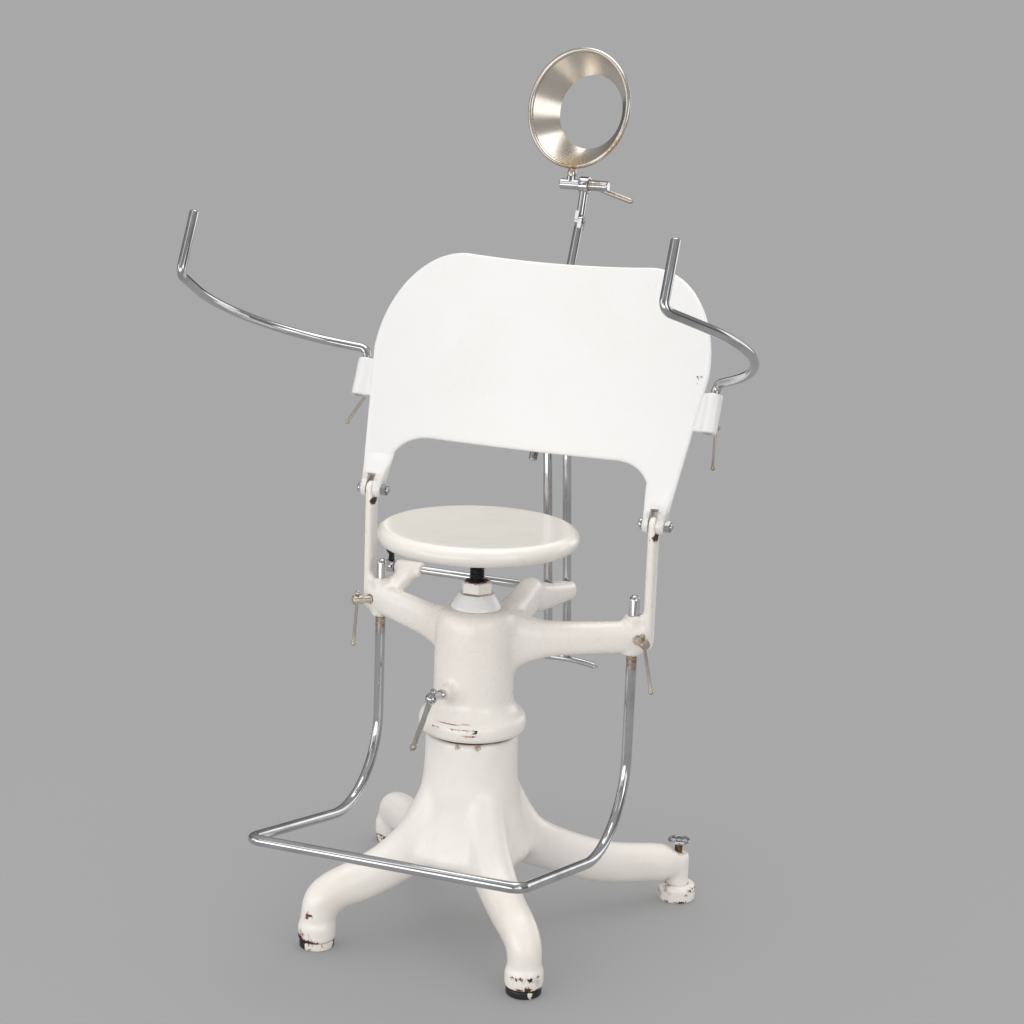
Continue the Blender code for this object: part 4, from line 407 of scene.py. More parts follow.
# %% Nuts and rivets
def hex_nut(corner, low, top, bevel, bore):
    """Nut about Z with its upper corners turned off; bevel is inset, flare, drop, rise and sides."""
    inset, flare, drop, rise, sides = bevel
    profile = [(0.0, low), (corner, low), (corner, top), (0.0, top)]
    off = [(corner - inset, top), (corner + flare, top - drop)]
    off += [(corner + flare, top + rise), (corner - inset, top + rise)]
    return bored(revolve(profile, 6), [revolve(off, sides, True), bore])


def rivet(radius, half, head, sides):
    """Pin along X with a low head at each end."""
    length = 2 * half
    crown = radius + head - RIVET_EDGE
    profile = [(0.0, 0.0), (crown, 0.0), (radius + head, head), (radius, head)]
    profile += [(radius, length - head), (radius + head, length - head), (crown, length), (0.0, length)]
    return turned(profile, (-half, 0, 0), (1, 0, 0), sides, 0.0004)


print("casting helper ready")

# %% [markdown]
# ## Shader maths
# A finish is written as sums on values. The Flow class wraps a socket, and each operator adds one
# Math node. Everything else comes from one method that makes a node and fills its sockets.


# %% Flow and Paint
class Flow:
    """One value in a finish."""

    def __init__(self, paint, socket):
        self.paint = paint
        self.socket = socket

    def maths(self, operation, *values):
        return self.paint.node("ShaderNodeMath", {"operation": operation}, dict(enumerate(values)))

    def __add__(self, other):
        return self.maths("ADD", self, other)

    def __sub__(self, other):
        return self.maths("SUBTRACT", self, other)

    def __rsub__(self, other):
        return self.maths("SUBTRACT", other, self)

    def __mul__(self, other):
        return self.maths("MULTIPLY", self, other)

    __radd__ = __add__

    def step(self, low, high):
        """Smooth step from 0 at low to 1 at high."""
        inputs = {"Value": self, "From Min": low, "From Max": high}
        return self.paint.node("ShaderNodeMapRange", {"interpolation_type": "SMOOTHSTEP"}, inputs)

    def either(self, other):
        """The larger of two masks."""
        return self.maths("MAXIMUM", self, other)


class Paint:
    """A finish: one Principled shader and the nodes that feed it."""

    def __init__(self, name, **constants):
        self.material = bpy.data.materials.new(name)
        self.material.use_nodes = True
        self.tree = self.material.node_tree
        self.shader = self.tree.nodes["Principled BSDF"]
        for socket, value in constants.items():
            self.feed(socket.replace("_", " ").title().replace("Ior", "IOR"), value)
        self.place = self.node("ShaderNodeTexCoord", output="Object")
        self.parts = [self.node("ShaderNodeSeparateXYZ", inputs={0: self.place}, output=k) for k in range(3)]

    def put(self, socket, value):
        if isinstance(value, Flow):
            self.tree.links.new(value.socket, socket)
        else:
            socket.default_value = value

    def node(self, kind, settings=None, inputs=None, output=0):
        """Any node, its settings first and then its sockets."""
        made = self.tree.nodes.new(kind)
        for key, value in (settings or {}).items():
            setattr(made, key, value)
        for key, value in (inputs or {}).items():
            self.put(made.inputs[key], value)
        return Flow(self, made.outputs[output])

    def feed(self, socket, value):
        self.put(self.shader.inputs[socket], value)

    def noise(self, scale, detail=2.0, roughness=0.5, stretch=None):
        """Cloudy value about 0.5; stretch squeezes the pattern along each axis."""
        place = self.place
        if stretch:
            place = self.node("ShaderNodeMapping", inputs={"Vector": place, "Scale": stretch})
        inputs = {"Vector": place, "Scale": scale, "Detail": detail, "Roughness": roughness}
        return self.node("ShaderNodeTexNoise", inputs=inputs)

    def vector(self, operation, *values, output="Vector"):
        return self.node("ShaderNodeVectorMath", {"operation": operation}, dict(enumerate(values)), output)

    def torn(self, amount, scale):
        """The place, shifted by fine noise, for ragged outlines."""
        inputs = {"Vector": self.place, "Scale": scale, "Detail": 4.0, "Roughness": 0.65}
        cloud = self.node("ShaderNodeTexNoise", inputs=inputs, output="Color")
        shift = self.vector("MULTIPLY_ADD", cloud, (amount,) * 3, (-amount / 2,) * 3)
        return self.vector("ADD", self.place, shift)

    def near(self, point, radius, place=None, flat=1.0):
        """Mask that is 1 at a point and 0 from a radius outward, squeezed in height if wanted."""
        way = self.vector("SUBTRACT", place or self.place, point)
        away = self.vector("LENGTH", self.vector("MULTIPLY", way, (1.0, 1.0, flat)), output="Value")
        return away.step(radius, radius * 0.25)

    def band(self, height, half, soft=1.0):
        """Mask of a level line at a height."""
        away = self.parts[2].maths("ABSOLUTE", self.parts[2] - height)
        return away.step(half * (1 + soft), half)

    def mix(self, share, first, second):
        """Colour between two colours."""
        inputs = {0: share, 6: first, 7: second}
        return self.node("ShaderNodeMix", {"data_type": "RGBA"}, inputs, 2)

    def bump(self, height, distance):
        return self.node("ShaderNodeBump", inputs={"Strength": 1.0, "Distance": distance, "Height": height})


print("shader helpers ready")

# %% [markdown]
# ## Enamel
# The iron wears thick stoved enamel, cream on the castings and a cleaner white on the back. It has
# yellowed in clouds, collects brown grime in its inner corners, and has chipped to red primer and black
# iron at the feet and round the swivel flange. Some dark marks are painted shade instead: brown lines along
# the seam of column and flange, a brown patch in the pocket where the levelling cup takes its leg, a
# bare-iron patch under each fork cheek, and the near-black top of the seat nut, which is painted shade of a
# recess with black grease in it. The masks come from places on the chair, broken up by noise, so that no
# two chipped spots look alike.

# %% Enamel finishes
CREAM = (0.840, 0.797, 0.750, 1.0)
CREAM_AGED = (0.770, 0.708, 0.625, 1.0)
WHITE = (0.768, 0.758, 0.747, 1.0)
WHITE_AGED = (0.748, 0.730, 0.702, 1.0)
DIRT_AND_SHADE = (0.215, 0.130, 0.065, 1.0)
RUST = (0.270, 0.100, 0.035, 1.0)
PRIMER = (0.540, 0.165, 0.080, 1.0)
IRON = (0.030, 0.026, 0.023, 1.0)
COAT = 0.5
SPOT_FLATNESS = 1.6
SPOT_DEPTH = 0.0004


def enamel(name, fresh, aged, gloss, lumps, chips_and_shade_places=(), dirt_and_shade_places=(), dirt_and_shade_lines=(), red_lines=()):
    """Stoved enamel with age, grime, chipping and painted shade at the places given."""
    paint = Paint(name, coat_weight=COAT, coat_roughness=0.14)
    clouds = paint.noise(5.0, 4.0, 0.6)
    fine = paint.noise(55.0, 5.0, 0.65)
    speck = paint.noise(210.0, 3.0, 0.6)
    colour = paint.mix(clouds.step(0.38, 0.72) * 0.6 + fine.step(0.45, 0.8) * 0.25, fresh, aged)
    # One brown mask: grime in specks and at places, and painted shade along seams and in pockets.
    dirt_and_shade = speck.step(0.62, 0.80) * clouds.step(0.45, 0.65) * 0.24
    torn = paint.torn(0.016, 240.0)
    for point, radius in dirt_and_shade_places:
        dirt_and_shade = dirt_and_shade.either(paint.near(point, radius, torn) * fine.step(0.40, 0.60) * 0.85)
    for height, half, middle, reach in dirt_and_shade_lines:
        line = paint.band(height, half, 0.8) * fine.step(0.30, 0.52)
        dirt_and_shade = dirt_and_shade.either(line * paint.near(middle, reach))
    colour = paint.mix(dirt_and_shade, colour, DIRT_AND_SHADE)
    for height, half, middle, reach in red_lines:
        line = paint.band(height, half, 0.8) * paint.near(middle, reach) * speck.step(0.30, 0.46)
        colour = paint.mix(line * 0.8, colour, PRIMER)
    depth = None
    ragged = paint.noise(150.0, 5.0, 0.65)
    # Chipped spots show primer and bare iron; a few of these places are painted shade drawn as bare iron.
    for point, radius, amount in chips_and_shade_places:
        spot = paint.near(point, radius, torn, SPOT_FLATNESS) * amount + ragged
        depth = spot if depth is None else depth.either(spot)
    height = paint.noise(28.0, 3.0, 0.5) * lumps + fine * (lumps * 0.16)
    rough = gloss + dirt_and_shade * 0.25
    if depth is not None:
        chips_and_shade = depth.step(0.98, 1.01)
        bare = paint.mix(depth.step(1.05, 1.12), paint.mix(speck.step(0.40, 0.60), PRIMER, RUST), IRON)
        colour = paint.mix(chips_and_shade, colour, bare)
        height = height - chips_and_shade * SPOT_DEPTH
        rough = rough + chips_and_shade * 0.4
        paint.feed("Coat Weight", COAT - chips_and_shade * COAT)
    paint.feed("Roughness", rough + fine * 0.08)
    paint.feed("Base Color", colour)
    paint.feed("Normal", paint.bump(height, 1.0))
    return paint.material


print("enamel ready")

# %% [markdown]
# ## Plated and bare metal
# The bent rods are chromium plated: bright, a little hazy, with brown pits along them. The clamps, the
# lever and the head ring are older nickel, warm and worn to brass where hands touched them.

# %% Metal finishes
CHROME = (0.64, 0.645, 0.655, 1.0)
CHROME_DULL = (0.47, 0.465, 0.46, 1.0)
NICKEL = (0.680, 0.610, 0.520, 1.0)
NICKEL_DULL = (0.470, 0.400, 0.310, 1.0)
BRASS_WORN = (0.480, 0.310, 0.110, 1.0)
STEEL = (0.420, 0.415, 0.405, 1.0)
STEEL_DARK = (0.180, 0.165, 0.150, 1.0)


def plated(name, bright, dull, polish, pits=0.5, warm_places=(), warm=DIRT_AND_SHADE):
    """Plated metal with haze and pits, and warm patches at the places given: worn brass, stains, and on the
    head barrel a painted reflection.
    """
    paint = Paint(name, metallic=1.0)
    haze = paint.noise(14.0, 5.0, 0.6)
    scuff = paint.noise(160.0, 4.0, 0.65)
    colour = paint.mix(haze.step(0.42, 0.74), bright, dull)
    pits_and_warm_patches = scuff.step(0.66, 0.74) * haze.step(0.40, 0.60) * pits
    for point, radius in warm_places:
        pits_and_warm_patches = pits_and_warm_patches.either(paint.near(point, radius) * scuff.step(0.32, 0.62) * 0.9)
    paint.feed("Base Color", paint.mix(pits_and_warm_patches, colour, warm))
    paint.feed("Roughness", polish + haze.step(0.45, 0.8) * 0.12 + pits_and_warm_patches * 0.3)
    paint.feed("Normal", paint.bump(haze * 0.00008 + scuff * 0.00002 - pits_and_warm_patches * 0.0001, 0.5))
    return paint.material


def dark_coat(name, colour, worn, polish, metallic, overpaint=()):
    """Blackened or moulded dark surface, rubbed paler in patches, with paint left on at some places."""
    paint = Paint(name, metallic=metallic)
    patches = paint.noise(45.0, 5.0, 0.65)
    grain = paint.noise(420.0, 3.0, 0.6)
    shade = paint.mix(patches.step(0.56, 0.78), colour, worn)
    torn = paint.torn(0.018, 160.0)
    flakes = paint.noise(170.0, 5.0, 0.7)
    for point, radius, amount in overpaint:
        left_on = paint.near(point, radius, torn) * amount + flakes
        shade = paint.mix(left_on.step(0.96, 1.00), shade, CREAM_AGED)
    paint.feed("Base Color", shade)
    paint.feed("Roughness", polish + patches.step(0.4, 0.7) * 0.2)
    paint.feed("Normal", paint.bump(grain * 0.0001 + patches * 0.0002, 0.6))
    return paint.material


chrome = plated("chromium_plate", CHROME, CHROME_DULL, 0.07, 0.45)
nickel = plated("worn_nickel", NICKEL, NICKEL_DULL, 0.30, 0.5)
machined = plated("machined_steel", STEEL, STEEL_DARK, 0.30, 0.7)
tarnished = plated("tarnished_bronze", (0.40, 0.27, 0.14, 1), (0.16, 0.10, 0.055, 1), 0.36, 0.6)
blackened = dark_coat("blackened_thread", (0.012, 0.012, 0.013, 1), (0.10, 0.085, 0.07, 1), 0.35, 0.5)
black_knob = dark_coat("black_knob", (0.010, 0.010, 0.011, 1), (0.030, 0.028, 0.026, 1), 0.18, 0.0)
RUBBER = (0.014, 0.013, 0.012, 1.0)
RUBBER_WORN = (0.060, 0.055, 0.050, 1.0)
print("metal finishes", len(bpy.data.materials))

# %% [markdown]
# ## Base casting
# A round column spreads into four legs, two short ones in front and two long ones behind. Three end in
# round ankles on rubber buttons. The fourth slopes down early, to leave room for the levelling wheel, and
# ends in a boss for its screw. The legs are rows of ovals along a curve, and the column is a turned
# profile, hollow from below.

# %% Base sizes and shapes
GAP = 0.0003
COLUMN_TOP = 0.318
COLUMN_RADIUS = 0.070
COLUMN_SKIRT_RADIUS = 0.098
COLUMN_SKIRT_HEIGHT = 0.122
COLUMN_WALL = 0.026
FRONT_FOOT_REACH = 0.239
REAR_FOOT_REACH = 0.362
LEG_TURN = math.radians(45)
FRONT_KNEE_HEIGHT = 0.086
REAR_KNEE_HEIGHT = 0.0645
LEG_HALF_WIDTH = 0.026
ANKLE_RADIUS = 0.0245
COLLAR_RADIUS = 0.0285
COLLAR_TOP = 0.043
RUBBER_HEIGHT = 0.012
RUBBER_RADIUS = 0.026
LEVEL_ANKLE_RADIUS = 0.0180
LEVEL_BOSS_TOP = 0.078
LEVEL_CUP_FLOOR = 0.012
LEVEL_SCREW_RADIUS = 0.0062
POST_RADIUS = 0.030
POST_WALL = 0.009
POST_FOOT_DEPTH = 0.056


def at_angle(turn, reach, height=0.0):
    """Point on the floor plan at an angle and a reach from the column."""
    return Vector((reach * math.cos(turn), reach * math.sin(turn), height))


def spots_round(middle, reach, rows):
    """Places round an upright axis, from rows of degrees, height, radius and amount."""
    return [(middle + at_angle(math.radians(deg), reach, height), *rest) for deg, height, *rest in rows]


FIXED_FEET = [
    ("front_left", -LEG_TURN - math.pi / 2, FRONT_FOOT_REACH, FRONT_KNEE_HEIGHT),
    ("front_right", -LEG_TURN, FRONT_FOOT_REACH, FRONT_KNEE_HEIGHT),
    ("rear_left", math.pi - LEG_TURN, REAR_FOOT_REACH, REAR_KNEE_HEIGHT),
]


def leg(turn, stations):
    """Cast leg in an upright plane, from rows of reach, height, half width and half height."""
    rows = curve_through(stations, 8)
    outward = at_angle(turn, 1.0)
    across = at_angle(turn + math.pi / 2, 1.0)
    rings = []
    for k, (away, height, half_width, half_height) in enumerate(rows):
        before = rows[max(k - 1, 0)]
        after = rows[min(k + 1, len(rows) - 1)]
        way = outward * (after[0] - before[0]) + UP * (after[1] - before[1])
        normal = across.cross(way.normalized())
        centre = outward * away + UP * height
        rings.append([centre + across * x + normal * y for x, y in oval(half_width, half_height)])
    return skin(rings)


def leg_rows(reach, knee_height):
    """Rows of a leg from inside the column out to its knee."""
    knee = reach - 0.028
    return [
        (0.020, 0.218, 0.040, 0.058),
        (0.070, 0.156, 0.034, 0.045),
        (0.120, 0.121, 0.029, 0.036),
        ((0.120 + knee) / 2, knee_height + 0.014, LEG_HALF_WIDTH + 0.001, 0.033),
        (knee, knee_height, LEG_HALF_WIDTH, 0.030),
    ]


# %% Base casting
column = [
    (0.0, COLUMN_SKIRT_HEIGHT),
    (COLUMN_SKIRT_RADIUS - 0.010, COLUMN_SKIRT_HEIGHT),
    (COLUMN_SKIRT_RADIUS, COLUMN_SKIRT_HEIGHT + 0.010),
    (COLUMN_SKIRT_RADIUS - 0.005, COLUMN_SKIRT_HEIGHT + 0.026),
    (COLUMN_RADIUS + 0.016, COLUMN_TOP - 0.147),
    (COLUMN_RADIUS + 0.006, COLUMN_TOP - 0.104),
    (COLUMN_RADIUS + 0.001, COLUMN_TOP - 0.058),
    (COLUMN_RADIUS, COLUMN_TOP - 0.004),
    (COLUMN_RADIUS - 0.002, COLUMN_TOP),
    (0.0, COLUMN_TOP),
]
base_shapes = []
leg_shapes = [revolve(column, 96, ease=0.012)]
foot_level = RUBBER_HEIGHT + GAP
collar = [
    (0.0, foot_level),
    (COLLAR_RADIUS - 0.001, foot_level),
    (COLLAR_RADIUS, foot_level + 0.003),
    (COLLAR_RADIUS, COLLAR_TOP - 0.008),
    (COLLAR_RADIUS - 0.0015, COLLAR_TOP - 0.003),
    (ANKLE_RADIUS - 0.004, COLLAR_TOP),
    (0.0, COLLAR_TOP),
]
for label, turn, reach, knee in FIXED_FEET:
    ankle = [
        (reach - 0.007, knee - 0.014, LEG_HALF_WIDTH - 0.0005, 0.027),
        (reach, (knee + foot_level) / 2 - 0.002, ANKLE_RADIUS, ANKLE_RADIUS),
        (reach, foot_level + 0.004, ANKLE_RADIUS, ANKLE_RADIUS),
    ]
    leg_shapes.append(leg(turn, leg_rows(reach, knee) + ankle))
    base_shapes.append(turned(collar, at_angle(turn, reach), UP, 64))
level_end = [
    (REAR_FOOT_REACH - 0.036, REAR_KNEE_HEIGHT + 0.0005, LEG_HALF_WIDTH, 0.0300),
    (REAR_FOOT_REACH - 0.021, REAR_KNEE_HEIGHT - 0.0025, 0.0255, 0.0250),
    (REAR_FOOT_REACH - 0.006, REAR_KNEE_HEIGHT - 0.0060, 0.0205, 0.0195),
    (REAR_FOOT_REACH + 0.008, REAR_KNEE_HEIGHT - 0.0080, 0.0110, 0.0165),
]
leg_shapes.append(leg(LEG_TURN, leg_rows(REAR_FOOT_REACH, REAR_KNEE_HEIGHT)[:-1] + level_end))
base_shapes.append(body_of_mesh(filleted(leg_shapes, LEG_VOXEL, LEG_FILLET)))
level_boss = [
    (0.0, LEVEL_CUP_FLOOR + GAP),
    (LEVEL_ANKLE_RADIUS - 0.0015, LEVEL_CUP_FLOOR + GAP),
    (LEVEL_ANKLE_RADIUS, LEVEL_CUP_FLOOR + 0.002),
    (LEVEL_ANKLE_RADIUS, LEVEL_BOSS_TOP - 0.006),
    (LEVEL_ANKLE_RADIUS - 0.002, LEVEL_BOSS_TOP),
    (0.0, LEVEL_BOSS_TOP),
]
level_place = at_angle(LEG_TURN, REAR_FOOT_REACH)
base_shapes.append(turned(level_boss, level_place, UP, 48))
post_seat = COLUMN_TOP - POST_FOOT_DEPTH
inside = [
    (0.0, 0.0),
    (COLUMN_SKIRT_RADIUS - COLUMN_WALL, 0.0),
    (COLUMN_SKIRT_RADIUS - COLUMN_WALL, COLUMN_SKIRT_HEIGHT + 0.030),
    (COLUMN_RADIUS - COLUMN_WALL, post_seat - 0.040),
    (POST_RADIUS - POST_WALL, post_seat - 0.016),
    (POST_RADIUS - POST_WALL, post_seat - GAP),
    (POST_RADIUS + GAP, post_seat - GAP),
    (POST_RADIUS + GAP, COLUMN_TOP + 0.01),
    (0.0, COLUMN_TOP + 0.01),
]
level_bore = bar(level_place, level_place + UP * 0.2, LEVEL_SCREW_RADIUS + GAP, 32)
base_mesh = cast(base_shapes, [revolve(inside, 64), level_bore], BASE_VOXEL, CAST_FILLET)
FOOT_CHIPS = {
    "front_left": [(-128, 0.015, 0.022, 0.92), (-102, 0.014, 0.016, 0.86), (-84, 0.014, 0.015, 0.90),
                   (-94, 0.057, 0.012, 0.60), (-102, 0.052, 0.008, 0.60), (-108, 0.026, 0.007, 0.60),
                   (-118, 0.030, 0.006, 0.58), (-90, 0.027, 0.006, 0.54), (-60, 0.013, 0.009, 0.62)],
    "front_right": [(-104, 0.033, 0.006, 0.66), (-92, 0.032, 0.006, 0.62), (-76, 0.033, 0.006, 0.62),
                    (-50, 0.033, 0.007, 0.76), (-23, 0.035, 0.006, 0.64), (-81, 0.016, 0.010, 0.62),
                    (-55, 0.017, 0.012, 0.66), (-20, 0.014, 0.010, 0.60)],
    "rear_left": [(170, 0.014, 0.014, 0.70), (120, 0.015, 0.012, 0.64), (-110, 0.014, 0.012, 0.66),
                  (-60, 0.030, 0.006, 0.60)],
}
foot_chips = []
foot_dirt = [(at_angle(LEG_TURN, REAR_FOOT_REACH, LEVEL_BOSS_TOP), 0.019)]
for deg in (-58, -85):
    foot_dirt.append((at_angle(math.radians(deg), COLUMN_RADIUS, COLUMN_TOP - 0.003), 0.008))
for label, turn, reach, knee in FIXED_FEET:
    for row in FOOT_CHIPS[label]:
        out = COLLAR_RADIUS if row[1] < COLLAR_TOP else ANKLE_RADIUS
        foot_chips += spots_round(at_angle(turn, reach), out, [row])
    foot_dirt.append((at_angle(turn, reach + 0.02, foot_level), 0.030))
# The brown line round the column's top edge is painted shade of the seam under the flange.
base_enamel = enamel(
    "base_enamel", CREAM, CREAM_AGED, 0.26, 0.0016, foot_chips, foot_dirt,
    [(COLUMN_TOP - 0.0003, 0.0005, Vector((0, 0, COLUMN_TOP)), 0.4)],
)
piece("base_cast_skin", base_mesh, base_enamel, "base_casting")
print("base casting", len(base_mesh.polygons), "faces")

# %% [markdown]
# ## Feet
# The rubber buttons are turned discs. The levelling foot is a cast cup that slides on the leg's end. Its
# screw carries a small wheel with spokes, which a node tree sets round the hub.

# %% Rubber feet and levelling foot
button = [
    (0.0, 0.0),
    (RUBBER_RADIUS - 0.002, 0.0),
    (RUBBER_RADIUS, 0.002),
    (RUBBER_RADIUS, RUBBER_HEIGHT - 0.003),
    (RUBBER_RADIUS - 0.001, RUBBER_HEIGHT),
    (0.0, RUBBER_HEIGHT),
]
PAINTED_RUBBER = {
    "front_left": [(-42, 0.008, 0.044, 0.60), (-84, 0.005, 0.024, 0.53)],
    "front_right": [(-48, 0.008, 0.008, 0.62), (-40, 0.004, 0.006, 0.55)],
    "rear_left": [(-120, 0.006, 0.020, 0.55)],
}
for label, turn, reach, knee in FIXED_FEET:
    shape = turned(button, at_angle(turn, reach), UP, 56, 0.001)
    paint_left = spots_round(at_angle(turn, reach), RUBBER_RADIUS, PAINTED_RUBBER[label])
    rubber = dark_coat(f"worn_rubber_{label}", RUBBER, RUBBER_WORN, 0.42, 0.0, paint_left)
    piece(f"rubber_button_{label}", shape, rubber, f"rubber_foot_{label}")

LEVEL_CUP_RADIUS = 0.0300
LEVEL_CUP_HEIGHT = 0.027
PIVOT_DEPTH = 0.006
cup = [
    (0.0, 0.0),
    (LEVEL_CUP_RADIUS - 0.002, 0.0),
    (LEVEL_CUP_RADIUS, 0.003),
    (LEVEL_CUP_RADIUS, LEVEL_CUP_HEIGHT - 0.007),
    (LEVEL_CUP_RADIUS - 0.002, LEVEL_CUP_HEIGHT - 0.002),
    (LEVEL_CUP_RADIUS - 0.007, LEVEL_CUP_HEIGHT),
    (LEVEL_ANKLE_RADIUS + 0.0006, LEVEL_CUP_HEIGHT),
    (LEVEL_ANKLE_RADIUS + 0.0006, LEVEL_CUP_FLOOR),
    (LEVEL_SCREW_RADIUS + GAP, LEVEL_CUP_FLOOR),
    (LEVEL_SCREW_RADIUS + GAP, LEVEL_CUP_FLOOR - PIVOT_DEPTH),
    (0.0, LEVEL_CUP_FLOOR - PIVOT_DEPTH),
]
CUP_CHIPS = [
    (9, 0.021, 0.008, 0.62), (0, 0.016, 0.008, 0.62), (-26, 0.021, 0.008, 0.74), (-58, 0.002, 0.008, 0.70),
    (-44, 0.002, 0.008, 0.72), (-72, 0.003, 0.008, 0.64), (-105, 0.003, 0.008, 0.62),
    (-14, 0.024, 0.006, 0.62), (-38, 0.015, 0.006, 0.60), (150, 0.004, 0.010, 0.62), (70, 0.012, 0.008, 0.60),
]
CUP_STAINS = [(-145, 0.014, 0.020), (-152, 0.020, 0.020), (-140, 0.024, 0.020)]
cup_chips = spots_round(level_place, LEVEL_CUP_RADIUS, CUP_CHIPS)
# The first place, where the leg's end enters the cup, is painted shade of that pocket; the others are stains.
cup_shade_and_stains = spots_round(level_place, 0.024, [(-129, LEVEL_CUP_HEIGHT, 0.026)])
cup_shade_and_stains += spots_round(level_place, LEVEL_CUP_RADIUS, CUP_STAINS)
cup_enamel = enamel("cup_enamel", CREAM, CREAM_AGED, 0.30, 0.0014, cup_chips, cup_shade_and_stains)
piece("levelling_cup", turned(cup, level_place, UP, 72, 0.0012), cup_enamel, "levelling_foot")
print("feet at reach", FRONT_FOOT_REACH, REAR_FOOT_REACH)

# %% [markdown]
# ## A tree for rods
# Footrest, arms and grips are bars bent cold round a former. The path is a chain of points with an arc
# at each bend. A node tree sweeps a circle along it, and a stored swell closes the ends into domes.


# %% Rod tree
ROD_SIDES = 36
DOME_STEPS = 7
DOME_TIP = 0.05


def new_tree(name, **inputs):
    """Empty geometry tree, the identifiers of its named inputs and their sockets inside the tree."""
    tree = bpy.data.node_groups.new(name, "GeometryNodeTree")
    tree.interface.new_socket("Geometry", in_out="INPUT", socket_type="NodeSocketGeometry")
    tree.interface.new_socket("Geometry", in_out="OUTPUT", socket_type="NodeSocketGeometry")
    names = {}
    for label, kind in inputs.items():
        socket = tree.interface.new_socket(label, in_out="INPUT", socket_type="NodeSocket" + kind)
        names[label] = socket.identifier
    return tree, names, tree.nodes.new("NodeGroupInput").outputs


def grow(tree, kind, settings=None, inputs=None):
    """Node of a geometry tree or of the world, with its settings and then its sockets."""
    made = tree.nodes.new(kind)
    for key, value in (settings or {}).items():
        setattr(made, key, value)
    for key, value in (inputs or {}).items():
        if isinstance(value, bpy.types.NodeSocket):
            tree.links.new(value, made.inputs[key])
        else:
            made.inputs[key].default_value = value
    return made


def circle_curve(tree, sides, radius):
    """Circle of a tree, as a curve."""
    inputs = {"Resolution": sides, "Radius": radius}
    return grow(tree, "GeometryNodeCurvePrimitiveCircle", {"mode": "RADIUS"}, inputs).outputs[0]


def sweep(tree, path, section, caps=True):
    """Section of a tree carried along a path."""
    inputs = {"Curve": path, "Profile Curve": section, "Fill Caps": caps}
    return grow(tree, "GeometryNodeCurveToMesh", inputs=inputs)


def close_tree(tree, geometry, finish_socket):
    """End a tree in Realize Instances and Set Material."""
    realised = grow(tree, "GeometryNodeRealizeInstances", inputs={"Geometry": geometry})
    smooth = grow(tree, "GeometryNodeSetShadeSmooth", inputs={"Geometry": realised.outputs[0]})
    coating = {"Geometry": smooth.outputs[0], "Material": finish_socket}
    coated = grow(tree, "GeometryNodeSetMaterial", inputs=coating)
    ending = tree.nodes.new("NodeGroupOutput")
    tree.links.new(coated.outputs[0], ending.inputs[0])


def grown(mesh, tree, names, values):
    """Plain mesh that a tree makes from a mesh and its input values."""
    obj = loose_object("grown", mesh)
    modifier = obj.modifiers.new("tree", "NODES")
    modifier.node_group = tree
    for label, value in values.items():
        modifier[names[label]] = value
    return to_mesh("grown", body_of_mesh(settled(obj)))


rod_tree, rod_names, entry = new_tree("rod_sweep", Radius="Float", Sides="Int", Finish="Material")
line = grow(rod_tree, "GeometryNodeMeshToCurve", inputs={0: entry["Geometry"]})
swelling = grow(rod_tree, "GeometryNodeInputNamedAttribute", {"data_type": "FLOAT"}, {"Name": "swell"})
widths = {"Curve": line.outputs[0], "Radius": swelling.outputs[0]}
gauge = grow(rod_tree, "GeometryNodeSetCurveRadius", inputs=widths)
tube = sweep(rod_tree, gauge.outputs[0], circle_curve(rod_tree, entry["Sides"], entry["Radius"]))
if "Scale" in tube.inputs:
    rod_tree.links.new(swelling.outputs[0], tube.inputs["Scale"])
close_tree(rod_tree, tube.outputs[0], entry["Finish"])


def rounded_path(corners, radii, step_deg=4):
    """Polyline with an arc of its own radius at each inner corner."""
    corners = [Vector(corner) for corner in corners]
    points = [corners[0]]
    for before, corner, after, radius in zip(corners, corners[1:], corners[2:], radii):
        incoming = (corner - before).normalized()
        outgoing = (after - corner).normalized()
        bend = incoming.angle(outgoing)
        centre = corner + (outgoing - incoming).normalized() * (radius / math.cos(bend / 2))
        spoke = corner - incoming * radius * math.tan(bend / 2) - centre
        hinge = incoming.cross(outgoing).normalized()
        steps = max(3, round(math.degrees(bend) / step_deg))
        for k in range(steps + 1):
            points.append(centre + Matrix.Rotation(bend * k / steps, 3, hinge) @ spoke)
    points.append(corners[-1])
    return points


def rod(name, points, radius, finish, node, matrix, dome=1.0):
    """Bar along a path with domed ends."""
    points = [Vector(point) for point in points]
    head = (points[1] - points[0]).normalized() * radius * dome
    tail = (points[-2] - points[-1]).normalized() * radius * dome
    angles = [math.pi / 2 * k / DOME_STEPS for k in range(DOME_STEPS)]
    rows = [(points[0] + head * (1 - math.sin(a)), math.cos(a)) for a in reversed(angles)]
    rows[0] = (points[0], DOME_TIP)
    rows += [(point, 1.0) for point in points[1:-1]]
    rows += [(points[-1] + tail * (1 - math.sin(a)), math.cos(a)) for a in angles]
    rows[-1] = (points[-1], DOME_TIP)
    mesh = bpy.data.meshes.new(name)
    mesh.from_pydata([matrix @ row[0] for row in rows], [(k, k + 1) for k in range(len(rows) - 1)], [])
    mesh.attributes.new("swell", "FLOAT", "POINT").data.foreach_set("value", [row[1] for row in rows])
    made = grown(mesh, rod_tree, rod_names, {"Radius": radius, "Sides": ROD_SIDES, "Finish": finish})
    return piece(name, made, finish, node)


print("rod tree has", len(rod_tree.nodes), "nodes")

# %% [markdown]
# ## Levelling wheel
# Five spokes join a little ring to its hub. The tree bends a circle into the ring and sets one spoke on
# each of five points, turned outward, so the number of spokes is one input.

